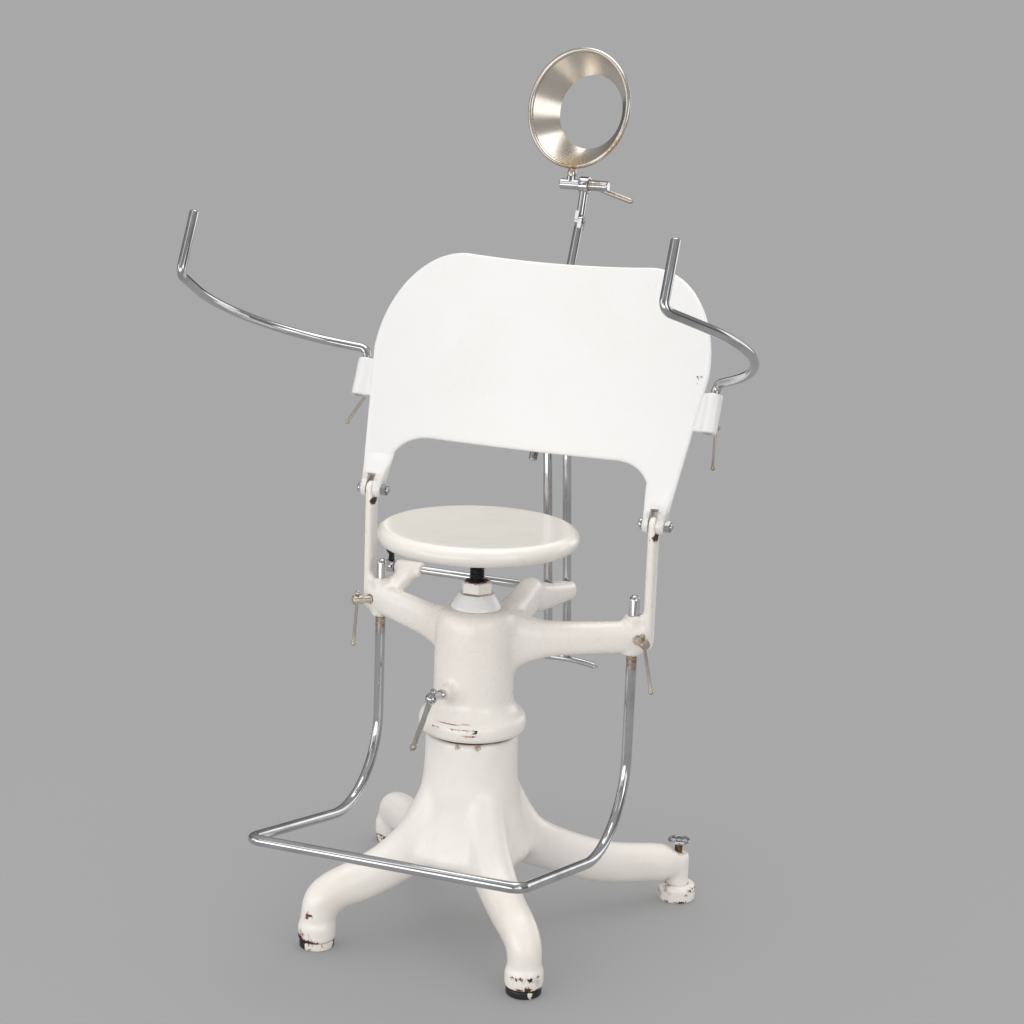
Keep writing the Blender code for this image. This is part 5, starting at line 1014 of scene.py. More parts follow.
# %% Levelling wheel and screw
LEVEL_WHEEL_RADIUS = 0.0155
LEVEL_WHEEL_RIM = 0.0024
LEVEL_SPOKES = 5
SPOKE_RADIUS = 0.0016
SPOKE_LENGTH = 0.0165
SPOKE_MIDDLE = 0.0075
stem_top = LEVEL_BOSS_TOP + 0.0165
rim_level = stem_top + LEVEL_WHEEL_RIM * 1.6
wheel_tree, wheel_names, entry = new_tree(
    "spoked_wheel", Spokes="Int", Radius="Float", Rim="Float", Finish="Material"
)
ring = circle_curve(wheel_tree, 48, entry["Radius"])
rim = sweep(wheel_tree, ring, circle_curve(wheel_tree, 14, entry["Rim"]), False)
spots = grow(wheel_tree, "GeometryNodeMeshCircle", {"fill_type": "NONE"},
             {"Vertices": entry["Spokes"], "Radius": SPOKE_MIDDLE})
outward = grow(wheel_tree, "GeometryNodeInputPosition")
facing = grow(wheel_tree, "FunctionNodeAlignRotationToVector", {"axis": "Z"}, {"Vector": outward.outputs[0]})
spoke = grow(wheel_tree, "GeometryNodeMeshCylinder", {"fill_type": "NGON"},
             {"Vertices": 12, "Radius": SPOKE_RADIUS, "Depth": SPOKE_LENGTH})
around_hub = {"Points": spots.outputs[0], "Instance": spoke.outputs[0], "Rotation": facing.outputs[0]}
spokes = grow(wheel_tree, "GeometryNodeInstanceOnPoints", inputs=around_hub)
both = wheel_tree.nodes.new("GeometryNodeJoinGeometry")
wheel_tree.links.new(rim.outputs[0], both.inputs[0])
wheel_tree.links.new(spokes.outputs[0], both.inputs[0])
on_stem = {"Geometry": both.outputs[0], "Translation": (level_place.x, level_place.y, rim_level)}
shift = grow(wheel_tree, "GeometryNodeTransform", inputs=on_stem)
close_tree(wheel_tree, shift.outputs[0], entry["Finish"])
wheel_mesh = grown(
    bpy.data.meshes.new("wheel_seed"), wheel_tree, wheel_names,
    {"Spokes": LEVEL_SPOKES, "Radius": LEVEL_WHEEL_RADIUS, "Rim": LEVEL_WHEEL_RIM, "Finish": chrome},
)
hub = [
    (0.0, stem_top),
    (LEVEL_SCREW_RADIUS, stem_top),
    (LEVEL_SCREW_RADIUS * 0.85, rim_level + LEVEL_WHEEL_RIM * 0.9),
    (0.0, rim_level + LEVEL_WHEEL_RIM * 1.5),
]
wheel_hub = turned(hub, level_place, UP, 32)
wheel_hub.from_mesh(wheel_mesh)
piece("levelling_spoked_wheel", wheel_hub, chrome, "levelling_wheel")
print("wheel faces", len(wheel_mesh.polygons))

# %% [markdown]
# ## Screw threads
# Two screws show their threads: the black one under the seat and the brown one of the levelling foot.
# A tree coils a spiral and sweeps a small wedge along it, and a plain core goes inside.

# %% Thread tree
CREST_SHARE = 0.30
thread_sizes = dict.fromkeys(("Turns", "Radius", "Length", "Crest"), "Float")
thread_tree, thread_names, entry = new_tree("screw_thread", **thread_sizes, Finish="Material")
coil = grow(
    thread_tree, "GeometryNodeCurveSpiral",
    inputs={"Resolution": 36, "Rotations": entry["Turns"], "Start Radius": entry["Radius"],
            "End Radius": entry["Radius"], "Height": entry["Length"]},
)
ridge = sweep(thread_tree, coil.outputs[0], circle_curve(thread_tree, 6, entry["Crest"]))
close_tree(thread_tree, ridge.outputs[0], entry["Finish"])


def threaded(radius, low, high, pitch, finish):
    """Threaded stem about Z between two heights."""
    crest = pitch * CREST_SHARE
    values = {
        "Turns": (high - low - 2 * crest) / pitch,
        "Radius": radius - crest * 0.9,
        "Length": high - low - 2 * crest,
        "Crest": crest,
        "Finish": finish,
    }
    ridge_mesh = grown(bpy.data.meshes.new("thread_seed"), thread_tree, thread_names, values)
    core = [(0.0, low), (radius - crest * 1.2, low), (radius - crest * 1.2, high), (0.0, high)]
    whole = revolve(core, 40)
    ridge_mesh.transform(Matrix.Translation((0, 0, low + crest)))
    whole.from_mesh(ridge_mesh)
    return whole


LEVEL_PITCH = 0.0015
stem_low = LEVEL_CUP_FLOOR - PIVOT_DEPTH + GAP
level_stem = threaded(LEVEL_SCREW_RADIUS, stem_low, stem_top - GAP, LEVEL_PITCH, tarnished)
level_frame = Matrix.Translation(level_place)
piece("levelling_threaded_stem", level_stem, tarnished, "levelling_screw", level_frame)
print("thread tree has", len(thread_tree.nodes), "nodes")

# %% [markdown]
# ## Swivelling frame
# The upper casting turns on the column. It has a flange, a sleeve, two swept arms that end in footrest
# bosses and hinge uprights, a bearing for the lock shaft, and an arm to the rear with two slots that
# guide the recline strut. It is drawn as overlapping solids and cast in one skin.

# %% Frame sizes
BEARING_THICKNESS = 0.003
FLANGE_LEVEL = COLUMN_TOP + BEARING_THICKNESS + 2 * GAP
RUNNING_GAP = 0.0005
FLANGE_RADIUS = 0.0815
FLANGE_HEIGHT = 0.028
SLEEVE_RADIUS = 0.0605
SLEEVE_LENGTH = 0.190
SLEEVE_TOP_RADIUS = 0.043
SLEEVE_TOP_WALL = 0.036
ARM_RISE = 0.148
ARM_HALF_HEIGHT = 0.025
ARM_HALF_WIDTH = 0.017
BOSS_SPREAD = 0.212
BOSS_SETBACK = 0.106
BOSS_RADIUS = 0.0150
BOSS_LENGTH = 0.063
UPRIGHT_SPREAD = 0.2345
UPRIGHT_THICKNESS = 0.012
UPRIGHT_DEPTH = 0.028
HINGE_SETBACK = 0.112
HINGE_LEVEL = ARM_RISE + 0.1744
HINGE_PIN_RADIUS = 0.005
REAR_ARM_OFFSET = 0.030
REAR_ARM_REACH = 0.301
REAR_ARM_HALF_WIDTH = 0.0165
REAR_ARM_END_RISE = 0.1515
REAR_ARM_END_HALF_HEIGHT = 0.0165
SHAFT_RADIUS = 0.0065
SHAFT_SETBACK = 0.143
SHAFT_RISE = 0.193
SHAFT_BEARING_RADIUS = 0.0125
SHAFT_BEARING_OUT = 0.2045
SHAFT_BEARING_IN = 0.157
LOCK_RISE = 0.073
LOCK_BOSS_REACH = 0.078
LOCK_BOSS_RADIUS = 0.0105
LOCK_SCREW_RADIUS = 0.0050
FOOTREST_ROD_RADIUS = 0.008
CLAMP_SCREW_RADIUS = 0.0042
CLAMP_HEAD_RADIUS = 0.0075
SEAT_SCREW_RADIUS = 0.011
RECLINE = math.radians(23.5)
STRUT_LEAN = math.radians(6.3)
STRUT_PIVOT = (REAR_ARM_OFFSET, 0.067, 0.1284)
STRUT_SPACING = 0.080
STRUT_ROD_RADIUS = 0.0070
STRUT_SLOT_PLAY = 0.0060

swivel = Matrix.Translation((0, 0, FLANGE_LEVEL))
back = swivel @ Matrix.Translation((0, HINGE_SETBACK, HINGE_LEVEL)) @ Matrix.Rotation(-RECLINE, 4, "X")
strut_turn = Matrix.Rotation(RECLINE + STRUT_LEAN, 4, "X")
strut_frame = back @ Matrix.Translation(STRUT_PIVOT) @ strut_turn
lock_turn = math.radians(11)
lock_way = Vector((-math.sin(lock_turn), -math.cos(lock_turn), 0.0))
half_turn = math.sqrt(0.5)
clamp_ways = {side: Vector((side * half_turn, -half_turn, 0.0)) for side in (-1, 1)}


# %% Arms of the frame
def casting_arm(side):
    """Swept arm from the sleeve to a boss and the foot of its upright."""
    end = Vector((side * (UPRIGHT_SPREAD + UPRIGHT_THICKNESS / 2 - 0.002), HINGE_SETBACK, ARM_RISE))
    boss = Vector((side * BOSS_SPREAD, BOSS_SETBACK, ARM_RISE))
    root = Vector((side * SLEEVE_RADIUS * 0.35, SLEEVE_RADIUS * 0.25, ARM_RISE - 0.010))
    stations = [
        (0.0, 0.034, 0.048),
        (0.14, 0.029, 0.044),
        (0.27, 0.0235, 0.034),
        (0.42, 0.0205, ARM_HALF_HEIGHT + 0.002),
        (0.66, ARM_HALF_WIDTH + 0.002, ARM_HALF_HEIGHT),
        (1.0, ARM_HALF_WIDTH, ARM_HALF_HEIGHT - 0.001),
    ]
    way = (boss - root).normalized()
    across = UP.cross(way).normalized()
    rise = way.cross(across)
    rings = []
    for share, half_width, half_height in curve_through(stations, 6):
        centre = root.lerp(boss, share)
        rings.append([centre + across * x + rise * y for x, y in oval(half_width, half_height, 40, 2.7)])
    tail = oval(UPRIGHT_DEPTH / 2 - 0.001, ARM_HALF_HEIGHT - 0.004, 40, 3.0)
    rings.append([end + Vector((0, side * x, y)) for x, y in tail])
    return skin(rings)


def casting_upright(side):
    """Flat upright with a round head for the hinge pin."""
    foot = ARM_RISE - 0.016
    front = HINGE_SETBACK - UPRIGHT_DEPTH / 2
    rear = HINGE_SETBACK + UPRIGHT_DEPTH / 2
    outline = arc((front + 0.010, foot + 0.010), 0.010, 180, 270, 8)
    outline += arc((rear - 0.012, foot + 0.012), 0.012, 270, 360, 8)
    outline += arc((HINGE_SETBACK, HINGE_LEVEL), UPRIGHT_DEPTH / 2 - 0.0005, 0, 180, 32)
    inner = UPRIGHT_SPREAD - UPRIGHT_THICKNESS / 2
    return slab(outline, side * inner, side * (inner + UPRIGHT_THICKNESS))


def rear_arm():
    """Arm to the rear that guides the strut, with a hump for the lock shaft."""
    end = REAR_ARM_END_RISE
    stations = [
        (0.022, 0.165, 0.024, 0.024),
        (0.075, 0.168, 0.021, 0.026),
        (0.112, 0.174, 0.019, 0.029),
        (SHAFT_SETBACK - 0.004, SHAFT_RISE - 0.013, 0.018, 0.0285),
        (SHAFT_SETBACK + 0.022, 0.171, 0.0175, 0.0255),
        (SHAFT_SETBACK + 0.070, (end + 0.167) / 2 + 0.003, REAR_ARM_HALF_WIDTH, 0.0215),
        (REAR_ARM_REACH - 0.030, end + 0.003, REAR_ARM_HALF_WIDTH, REAR_ARM_END_HALF_HEIGHT + 0.001),
        (REAR_ARM_REACH - 0.004, end, REAR_ARM_HALF_WIDTH, REAR_ARM_END_HALF_HEIGHT),
        (REAR_ARM_REACH, end, REAR_ARM_HALF_WIDTH - 0.003, REAR_ARM_END_HALF_HEIGHT - 0.003),
    ]
    rings = []
    for y, z, half_width, half_height in curve_through(stations, 5):
        rings.append([(REAR_ARM_OFFSET + u, y, z + v) for u, v in oval(half_width, half_height, 40, 2.8)])
    return skin(rings)


def strut_slot(along, open_end):
    """Long hole for a strut rod, open to the rear if wanted."""
    half = STRUT_ROD_RADIUS + RUNNING_GAP
    reach = STRUT_ROD_RADIUS + STRUT_SLOT_PLAY
    local = swivel.inverted() @ strut_frame
    middle = local @ Vector((0, along, 0))
    way = (local @ Vector((0, along, -1)) - middle).normalized()
    centre = middle + way * ((REAR_ARM_END_RISE + 0.012 - middle.z) / way.z)
    outline = arc((-(reach - half), 0.0), half, 90, 270, 14)
    if open_end:
        outline += [(0.05, -half), (0.05, half)]
    else:
        outline += arc((reach - half, 0.0), half, -90, 90, 14)
    ends = (-0.08, 0.08)
    return skin([[centre + way * step + Vector((v, u, 0.0)) for u, v in outline] for step in ends])


# %% Frame casting
sleeve = [
    (0.0, 0.0),
    (FLANGE_RADIUS - 0.006, 0.0),
    (FLANGE_RADIUS - 0.0012, 0.0035),
    (FLANGE_RADIUS, 0.010),
    (FLANGE_RADIUS, FLANGE_HEIGHT - 0.006),
    (FLANGE_RADIUS - 0.0025, FLANGE_HEIGHT - 0.001),
    (FLANGE_RADIUS - 0.012, FLANGE_HEIGHT + 0.006),
    (SLEEVE_RADIUS + 0.002, FLANGE_HEIGHT + 0.012),
    (SLEEVE_RADIUS, FLANGE_HEIGHT + 0.022),
    (SLEEVE_RADIUS, SLEEVE_LENGTH - 0.050),
    (SLEEVE_RADIUS - 0.0008, SLEEVE_LENGTH - 0.022),
    (SLEEVE_RADIUS - 0.0030, SLEEVE_LENGTH - 0.009),
    (SLEEVE_RADIUS - 0.0090, SLEEVE_LENGTH - 0.0025),
    (SLEEVE_TOP_RADIUS, SLEEVE_LENGTH),
    (0.0, SLEEVE_LENGTH),
]
arm_shapes = [revolve(sleeve, 96, ease=0.003), rear_arm(), casting_arm(-1), casting_arm(1)]
frame_shapes = [body_of_mesh(filleted(arm_shapes, ARM_VOXEL, ARM_FILLET))]
frame_cuts = []
boss_low = ARM_RISE - BOSS_LENGTH / 2 + 0.003
for side in (-1, 1):
    foot = Vector((side * BOSS_SPREAD, BOSS_SETBACK, boss_low))
    top = foot + UP * BOSS_LENGTH
    frame_shapes += [casting_upright(side), bar(foot, top, BOSS_RADIUS, 48, 0.002)]
    frame_cuts.append(bar(foot - UP * 0.1, top + UP * 0.1, FOOTREST_ROD_RADIUS + GAP))
    pin = Vector((side * UPRIGHT_SPREAD, HINGE_SETBACK, HINGE_LEVEL))
    across = Vector((UPRIGHT_THICKNESS, 0, 0))
    frame_cuts.append(bar(pin - across, pin + across, HINGE_PIN_RADIUS + GAP))
    middle = Vector((side * BOSS_SPREAD, BOSS_SETBACK, ARM_RISE))
    way = clamp_ways[side]
    frame_cuts.append(bar(middle, middle + way * 0.05, CLAMP_SCREW_RADIUS + GAP, 32))
    frame_cuts.append(bar(middle + way * BOSS_RADIUS, middle + way * 0.05, CLAMP_HEAD_RADIUS + RUNNING_GAP))
bearing_out = Vector((-SHAFT_BEARING_OUT, SHAFT_SETBACK, SHAFT_RISE))
bearing_in = Vector((-SHAFT_BEARING_IN, SHAFT_SETBACK, SHAFT_RISE))
web_root = Vector((-BOSS_SPREAD + 0.022, BOSS_SETBACK - 0.006, ARM_RISE + 0.008))
web_end = (bearing_out + bearing_in) / 2
web = []
for middle, half_width, half_height in ((web_root, 0.011, 0.017), (web_end, 0.019, 0.0105)):
    web.append([middle + Vector((u, 0, v)) for u, v in oval(half_width, half_height, 32, 2.8)])
lock_rise = UP * LOCK_RISE
lock_root = lock_way * (SLEEVE_RADIUS - 0.012) + lock_rise
lock_boss = bar(lock_root, lock_way * LOCK_BOSS_REACH + lock_rise, LOCK_BOSS_RADIUS, 40, 0.0015)
frame_shapes += [skin(web), bar(bearing_out, bearing_in, SHAFT_BEARING_RADIUS, 40, 0.001), lock_boss]
post_room = SLEEVE_LENGTH - SLEEVE_TOP_WALL
frame_cuts.append(bar((0, 0, -0.01), (0, 0, post_room), POST_RADIUS + GAP, 64))
screw_bore = SEAT_SCREW_RADIUS + RUNNING_GAP
frame_cuts.append(bar((0, 0, post_room - 0.01), (0, 0, SLEEVE_LENGTH + 0.01), screw_bore, 48))
shaft_out = Vector((-0.24, SHAFT_SETBACK, SHAFT_RISE))
shaft_in = Vector((REAR_ARM_OFFSET, SHAFT_SETBACK, SHAFT_RISE))
frame_cuts.append(bar(shaft_out, shaft_in, SHAFT_RADIUS + GAP, 40))
lock_hole = (lock_way * (POST_RADIUS - 0.002) + lock_rise, lock_way * 0.098 + lock_rise)
frame_cuts.append(bar(*lock_hole, LOCK_SCREW_RADIUS + GAP, 32))
frame_cuts += [strut_slot(-STRUT_SPACING / 2, False), strut_slot(STRUT_SPACING / 2, True)]
for shape in frame_shapes + frame_cuts:
    placed(shape, swivel)
frame_mesh = cast(frame_shapes, frame_cuts, FRAME_VOXEL, CAST_FILLET)
FLANGE_CHIPS = [
    (-112, 0.022, 0.006, 0.60), (-77, 0.028, 0.007, 0.54), (-88, 0.0228, 0.005, 0.62),
    (-80, 0.0224, 0.005, 0.64), (-73, 0.0216, 0.005, 0.62), (-63, 0.0203, 0.006, 0.78),
    (-66, 0.014, 0.007, 0.58), (-72, 0.0135, 0.006, 0.54), (150, 0.015, 0.009, 0.62),
    (60, 0.012, 0.010, 0.60), (100, 0.020, 0.007, 0.60),
]
flange_chips_and_fork_shade = spots_round(swivel.translation, FLANGE_RADIUS, FLANGE_CHIPS)
boss_dirt = []
for side in (-1, 1):
    for height in (boss_low, boss_low + BOSS_LENGTH):
        boss_dirt.append((Vector((side * BOSS_SPREAD, BOSS_SETBACK, FLANGE_LEVEL + height)), 0.018))
groove = at_angle(math.radians(-94), FLANGE_RADIUS, FLANGE_LEVEL + FLANGE_HEIGHT)
flange_lines = [(FLANGE_LEVEL + FLANGE_HEIGHT + 0.0005, 0.0005, groove, 0.026)]
# The brown line round the flange's lower edge is painted shade of the seam over the column.
flange_lines.append((FLANGE_LEVEL + 0.0003, 0.0005, swivel.translation, 0.4))
scratch = at_angle(math.radians(-79), FLANGE_RADIUS, FLANGE_LEVEL + 0.0226)
flange_lines.append((FLANGE_LEVEL + 0.0226, 0.0005, scratch, 0.022))
flange_reds = []
for deg, rise, reach in ((-69, 0.0140, 0.016), (-74, 0.0300, 0.014), (-106, 0.0215, 0.006)):
    place = at_angle(math.radians(deg), FLANGE_RADIUS, FLANGE_LEVEL + rise)
    flange_reds.append((FLANGE_LEVEL + rise, 0.0007, place, reach))
# A bare-iron patch on each upright, just under its fork cheek, is painted shade of the gap there.
for side in (-1, 1):
    across = side * UPRIGHT_SPREAD + UPRIGHT_THICKNESS / 2
    below_fork = Vector((across, HINGE_SETBACK - 0.004, FLANGE_LEVEL + HINGE_LEVEL - 0.018))
    flange_chips_and_fork_shade.append((below_fork, 0.017, 0.90))
frame_enamel = enamel(
    "frame_enamel", CREAM, CREAM_AGED, 0.24, 0.0012, flange_chips_and_fork_shade, boss_dirt, flange_lines, flange_reds
)
piece("frame_cast_skin", frame_mesh, frame_enamel, "upper_casting")
print("frame casting", len(frame_mesh.polygons), "faces")

# %% [markdown]
# ## Swivel lock
# A clamp screw on the front of the sleeve stops the swivel. Its hub is a bright ball, with a small acorn
# above it and a slim worn lever below.

# %% Swivel lock
LOCK_BALL = 0.0090
LOCK_REACH = 0.107
LEVER_LENGTH = 0.094
lock_start = POST_RADIUS + RUNNING_GAP
hub_ball = arc((0.0, LOCK_REACH - lock_start), LOCK_BALL, -52, 90, 16)
lock_screw = [
    (0.0, 0.0),
    (LOCK_SCREW_RADIUS, 0.0005),
    (LOCK_SCREW_RADIUS, LOCK_BOSS_REACH + 0.001 - lock_start),
    (LOCK_SCREW_RADIUS + 0.0028, LOCK_BOSS_REACH + 0.0015 - lock_start),
    (LOCK_SCREW_RADIUS + 0.0026, LOCK_BOSS_REACH + 0.006 - lock_start),
    (LOCK_SCREW_RADIUS + 0.0004, LOCK_BOSS_REACH + 0.009 - lock_start),
] + hub_ball
lever_lean = math.radians(20)
lever_side = UP.cross(lock_way)
lever_down = Vector((0, 0, -math.cos(lever_lean)))
lever_down += lever_side * math.sin(lever_lean) * math.copysign(1.0, -lever_side.x)
lever_centre = lock_way * LOCK_REACH
lever = [
    (0.0048, 0.0),
    (0.0048, LOCK_BALL + 0.001),
    (0.0042, LEVER_LENGTH * 0.30),
    (0.0042, LEVER_LENGTH - 0.011),
    (0.0052, LEVER_LENGTH - 0.0095),
    (0.0054, LEVER_LENGTH - 0.005),
    (0.0038, LEVER_LENGTH - 0.001),
    (0.0, LEVER_LENGTH),
]
acorn = [(0.0040, 0.0), (0.0040, LOCK_BALL), (0.0052, LOCK_BALL + 0.0015), (0.0052, LOCK_BALL + 0.0045)]
acorn += [(0.0036, LOCK_BALL + 0.0075), (0.0, LOCK_BALL + 0.0085)]
lock_shapes = [turned(lock_screw, lock_way * lock_start, lock_way, 40, 0.0004)]
lock_shapes.append(turned(lever, lever_centre, lever_down, 32))
lock_shapes.append(turned(acorn, lever_centre, -lever_down, 32))
lock_matrix = swivel @ Matrix.Translation(lock_rise)
lever_world = lock_matrix @ (lever_centre + lever_down * 0.075)
lever_chrome = plated(
    "lever_chrome", CHROME, CHROME_DULL, 0.10, 0.5, [(lever_world, 0.050)], NICKEL_DULL
)
piece("swivel_lock_ball_lever", merged(lock_shapes), lever_chrome, "swivel_lock_lever", lock_matrix)
print("lever tip", [round(value, 3) for value in lever_world])

# %% [markdown]
# ## Seat
# The seat is a turned wooden disc, painted and worn at its rim, on a black flange and screw. A cone collar
# and a hexagonal nut stand on the sleeve below it. All of it is turned work; the screw is threaded by the
# tree above.

# %% Seat, nut and screw
SEAT_RADIUS = 0.150
SEAT_THICKNESS = 0.028
SEAT_DISH = 0.003
SEAT_FLANGE_RADIUS = 0.020
SEAT_FLANGE_HEIGHT = 0.008
SEAT_SCREW_SHOWING = 0.046
SEAT_SCREW_BELOW_NUT = 0.128
NUT_COLLAR_RADIUS = 0.038
NUT_COLLAR_HEIGHT = 0.022
NUT_CORNER = 0.024
NUT_HEIGHT = 0.019
SEAT_PITCH = 0.004
collar_low = SLEEVE_LENGTH + GAP
collar_top = collar_low + NUT_COLLAR_HEIGHT
cone = [
    (screw_bore, collar_low),
    (NUT_COLLAR_RADIUS, collar_low),
    (NUT_COLLAR_RADIUS - 0.002, collar_low + 0.005),
    (NUT_CORNER + 0.005, collar_top - 0.005),
    (NUT_CORNER + 0.002, collar_top),
    (screw_bore, collar_top),
]
collar_enamel = enamel("collar_enamel", (0.80, 0.80, 0.79, 1), (0.66, 0.66, 0.65, 1), 0.24, 0.0008,
                       dirt_and_shade_places=[(Vector((0, 0, FLANGE_LEVEL + collar_top)), 0.032)])
piece("seat_nut_cone", revolve(cone, 72, True, 0.001), collar_enamel, "nut_collar", swivel)
nut_low = collar_top + GAP
nut_top = nut_low + NUT_HEIGHT
nut_bore = bar((0, 0, nut_low - 0.01), (0, 0, nut_top + 0.01), screw_bore)
nut_mesh = hex_nut(NUT_CORNER, nut_low, nut_top, (0.008, 0.010, 0.006, 0.01, 72), nut_bore)
nut_middle = Vector((0, 0, FLANGE_LEVEL + nut_top))
nut_seam = (FLANGE_LEVEL + nut_low + 0.0006, 0.0008, nut_middle, 0.2)
# The nut's top is painted near black round the screw: painted shade of a recess there, with black grease.
nut_top_shade_and_grease = [(nut_middle, 0.031, 0.95)]
nut_enamel = enamel("nut_enamel", CREAM, CREAM_AGED, 0.26, 0.0006, nut_top_shade_and_grease, (), [nut_seam])
piece("seat_hex_nut", nut_mesh, nut_enamel, "seat_nut", swivel)

seat_frame = swivel @ Matrix.Translation((0, 0, nut_top + SEAT_SCREW_SHOWING))
seat_low = SEAT_FLANGE_HEIGHT + GAP
seat_top = seat_low + SEAT_THICKNESS
seat_half = SEAT_THICKNESS / 2
disc = [(0.0, seat_low), (SEAT_RADIUS * 0.72, seat_low)]
disc += arc((SEAT_RADIUS - seat_half, seat_low + seat_half), seat_half, -82, 82, 20)
disc += [(SEAT_RADIUS * 0.84, seat_top - SEAT_DISH * 0.15), (SEAT_RADIUS * 0.66, seat_top - SEAT_DISH * 0.5)]
disc += [(SEAT_RADIUS * 0.40, seat_top - SEAT_DISH * 0.85), (0.0, seat_top - SEAT_DISH)]
seat_level = FLANGE_LEVEL + nut_top + SEAT_SCREW_SHOWING + seat_low
rim_chips = []
for deg in (-150, -118, -96, -71, -40, -12, 35, 80, 140, 171):
    rim_chips.append((at_angle(math.radians(deg), SEAT_RADIUS, seat_level + 0.010), 0.013, 0.40))
seat_paint = enamel("seat_paint", (0.795, 0.755, 0.695, 1), (0.735, 0.675, 0.585, 1), 0.20, 0.0006, rim_chips)
piece("seat_turned_disc", revolve(disc, 128, ease=0.004), seat_paint, "seat_disc", seat_frame)
seat_flange = [
    (0.0, 0.0),
    (SEAT_SCREW_RADIUS + 0.003, 0.0),
    (SEAT_FLANGE_RADIUS, SEAT_FLANGE_HEIGHT * 0.45),
    (SEAT_FLANGE_RADIUS, SEAT_FLANGE_HEIGHT),
    (0.0, SEAT_FLANGE_HEIGHT),
]
piece("seat_black_flange", revolve(seat_flange, 48, ease=0.0008), blackened, "seat_flange", seat_frame)
screw_low = -GAP - SEAT_SCREW_SHOWING - NUT_HEIGHT - SEAT_SCREW_BELOW_NUT
seat_thread = threaded(SEAT_SCREW_RADIUS, screw_low, -GAP, SEAT_PITCH, blackened)
piece("seat_black_thread", seat_thread, blackened, "seat_screw", seat_frame)
print("seat top at", round(seat_level + SEAT_THICKNESS, 4))

# %% [markdown]
# ## Footrest
# One bar runs down from the left boss, forward in a wide bend, across the front and back up to the right
# boss. Its ends slide in the bosses.

# %% Footrest rod
FOOTREST_TOP_RISE = 0.2134
FOOTREST_CORNER_DROP = 0.1938
FOOTREST_FRONT = 0.298
FOOTREST_FRONT_DROP = 0.1081
FOOTREST_FRONT_SPREAD = 0.2075
FOOTREST_SKEW = 0.010
FOOTREST_BENDS = [0.125, 0.020, 0.020, 0.125]
ROD_STAIN = (0.330, 0.185, 0.075, 1.0)
footrest_path = [
    (-BOSS_SPREAD, BOSS_SETBACK, FOOTREST_TOP_RISE),
    (-BOSS_SPREAD, BOSS_SETBACK, -FOOTREST_CORNER_DROP),
    (-FOOTREST_FRONT_SPREAD, -FOOTREST_FRONT - FOOTREST_SKEW, -FOOTREST_FRONT_DROP),
    (FOOTREST_FRONT_SPREAD, -FOOTREST_FRONT + FOOTREST_SKEW, -FOOTREST_FRONT_DROP),
    (BOSS_SPREAD, BOSS_SETBACK, -FOOTREST_CORNER_DROP),
    (BOSS_SPREAD, BOSS_SETBACK, FOOTREST_TOP_RISE),
]
bent = rounded_path(footrest_path, FOOTREST_BENDS)
stain_level = FLANGE_LEVEL + boss_low - 0.006
rod_stains = [(Vector((side * BOSS_SPREAD, BOSS_SETBACK, stain_level)), 0.030) for side in (-1, 1)]
stained_chrome = plated("stained_chromium", CHROME, CHROME_DULL, 0.07, 0.45, rod_stains, ROD_STAIN)
rod("footrest_bent_rod", bent, FOOTREST_ROD_RADIUS, stained_chrome, "footrest_rod", swivel)
print("footrest path points", len(bent))

# %% [markdown]
# ## Tommy-bar clamps
# Each clamp is a screw with a drilled round head, and a loose bar with a ball at each end passes through
# it. The footrest has two and the arm rods two, all of worn nickel.


# %% Clamps
def clamp(label, matrix, way, tip, seat, neck_end, sizes, cross, bar_sizes, nodes):
    """Drilled-head screw and its loose bar."""
    screw, head, head_length = sizes
    radius, ball, length = bar_sizes
    neck = (screw + head) / 2
    profile = [
        (0.0, tip),
        (screw - 0.0008, tip),
        (screw, tip + 0.001),
        (screw, seat + 0.0006),
        (neck, seat + 0.0012),
        (neck * 0.92, neck_end - 0.003),
        (head - 0.001, neck_end),
        (head, neck_end + 0.001),
        (head, neck_end + head_length - 0.0015),
        (head - 0.002, neck_end + head_length),
        (0.0, neck_end + head_length),
    ]
    centre = way * (neck_end + head_length / 2)
    hole = bar(centre - cross * 0.03, centre + cross * 0.03, radius + GAP, 24)
    mesh = bored(turned(profile, (0, 0, 0), way, 36), [hole])
    piece(f"{label}_screw", mesh, nickel, nodes[0], matrix)
    above = head + ball + GAP
    below = length - above
    tommy = arc((0.0, -below), ball, -90, 60, 12) + arc((0.0, above), ball, -60, 90, 12)
    tommy = [(max(r, radius) if -below < z < above else r, z) for r, z in tommy]
    piece(f"{label}_tommy", turned(tommy, centre, cross, 28, 0.0), nickel, nodes[1], matrix)


FOOTREST_SCREW = (CLAMP_SCREW_RADIUS, CLAMP_HEAD_RADIUS, 0.016)
FOOTREST_TOMMY = (0.0026, 0.0042, 0.090)
FOOTREST_NECK_END = 0.031
clamp_lean = math.radians(12)
for side, label in SIDES:
    matrix = swivel @ Matrix.Translation((side * BOSS_SPREAD, BOSS_SETBACK, ARM_RISE))
    way = clamp_ways[side]
    swing = way.cross(UP)
    cross = Vector((0, 0, math.cos(clamp_lean))) - swing * math.copysign(math.sin(clamp_lean), swing.y)
    nodes = (f"footrest_clamp_{label}", f"footrest_bar_{label}")
    clamp(f"footrest_{label}", matrix, way, FOOTREST_ROD_RADIUS + GAP, BOSS_RADIUS, FOOTREST_NECK_END,
          FOOTREST_SCREW, cross, FOOTREST_TOMMY, nodes)
print("footrest clamps done")

# %% [markdown]
# ## Strut lock
# A cross shaft under the left of the seat runs to the recline strut. Its hub carries a black knob.

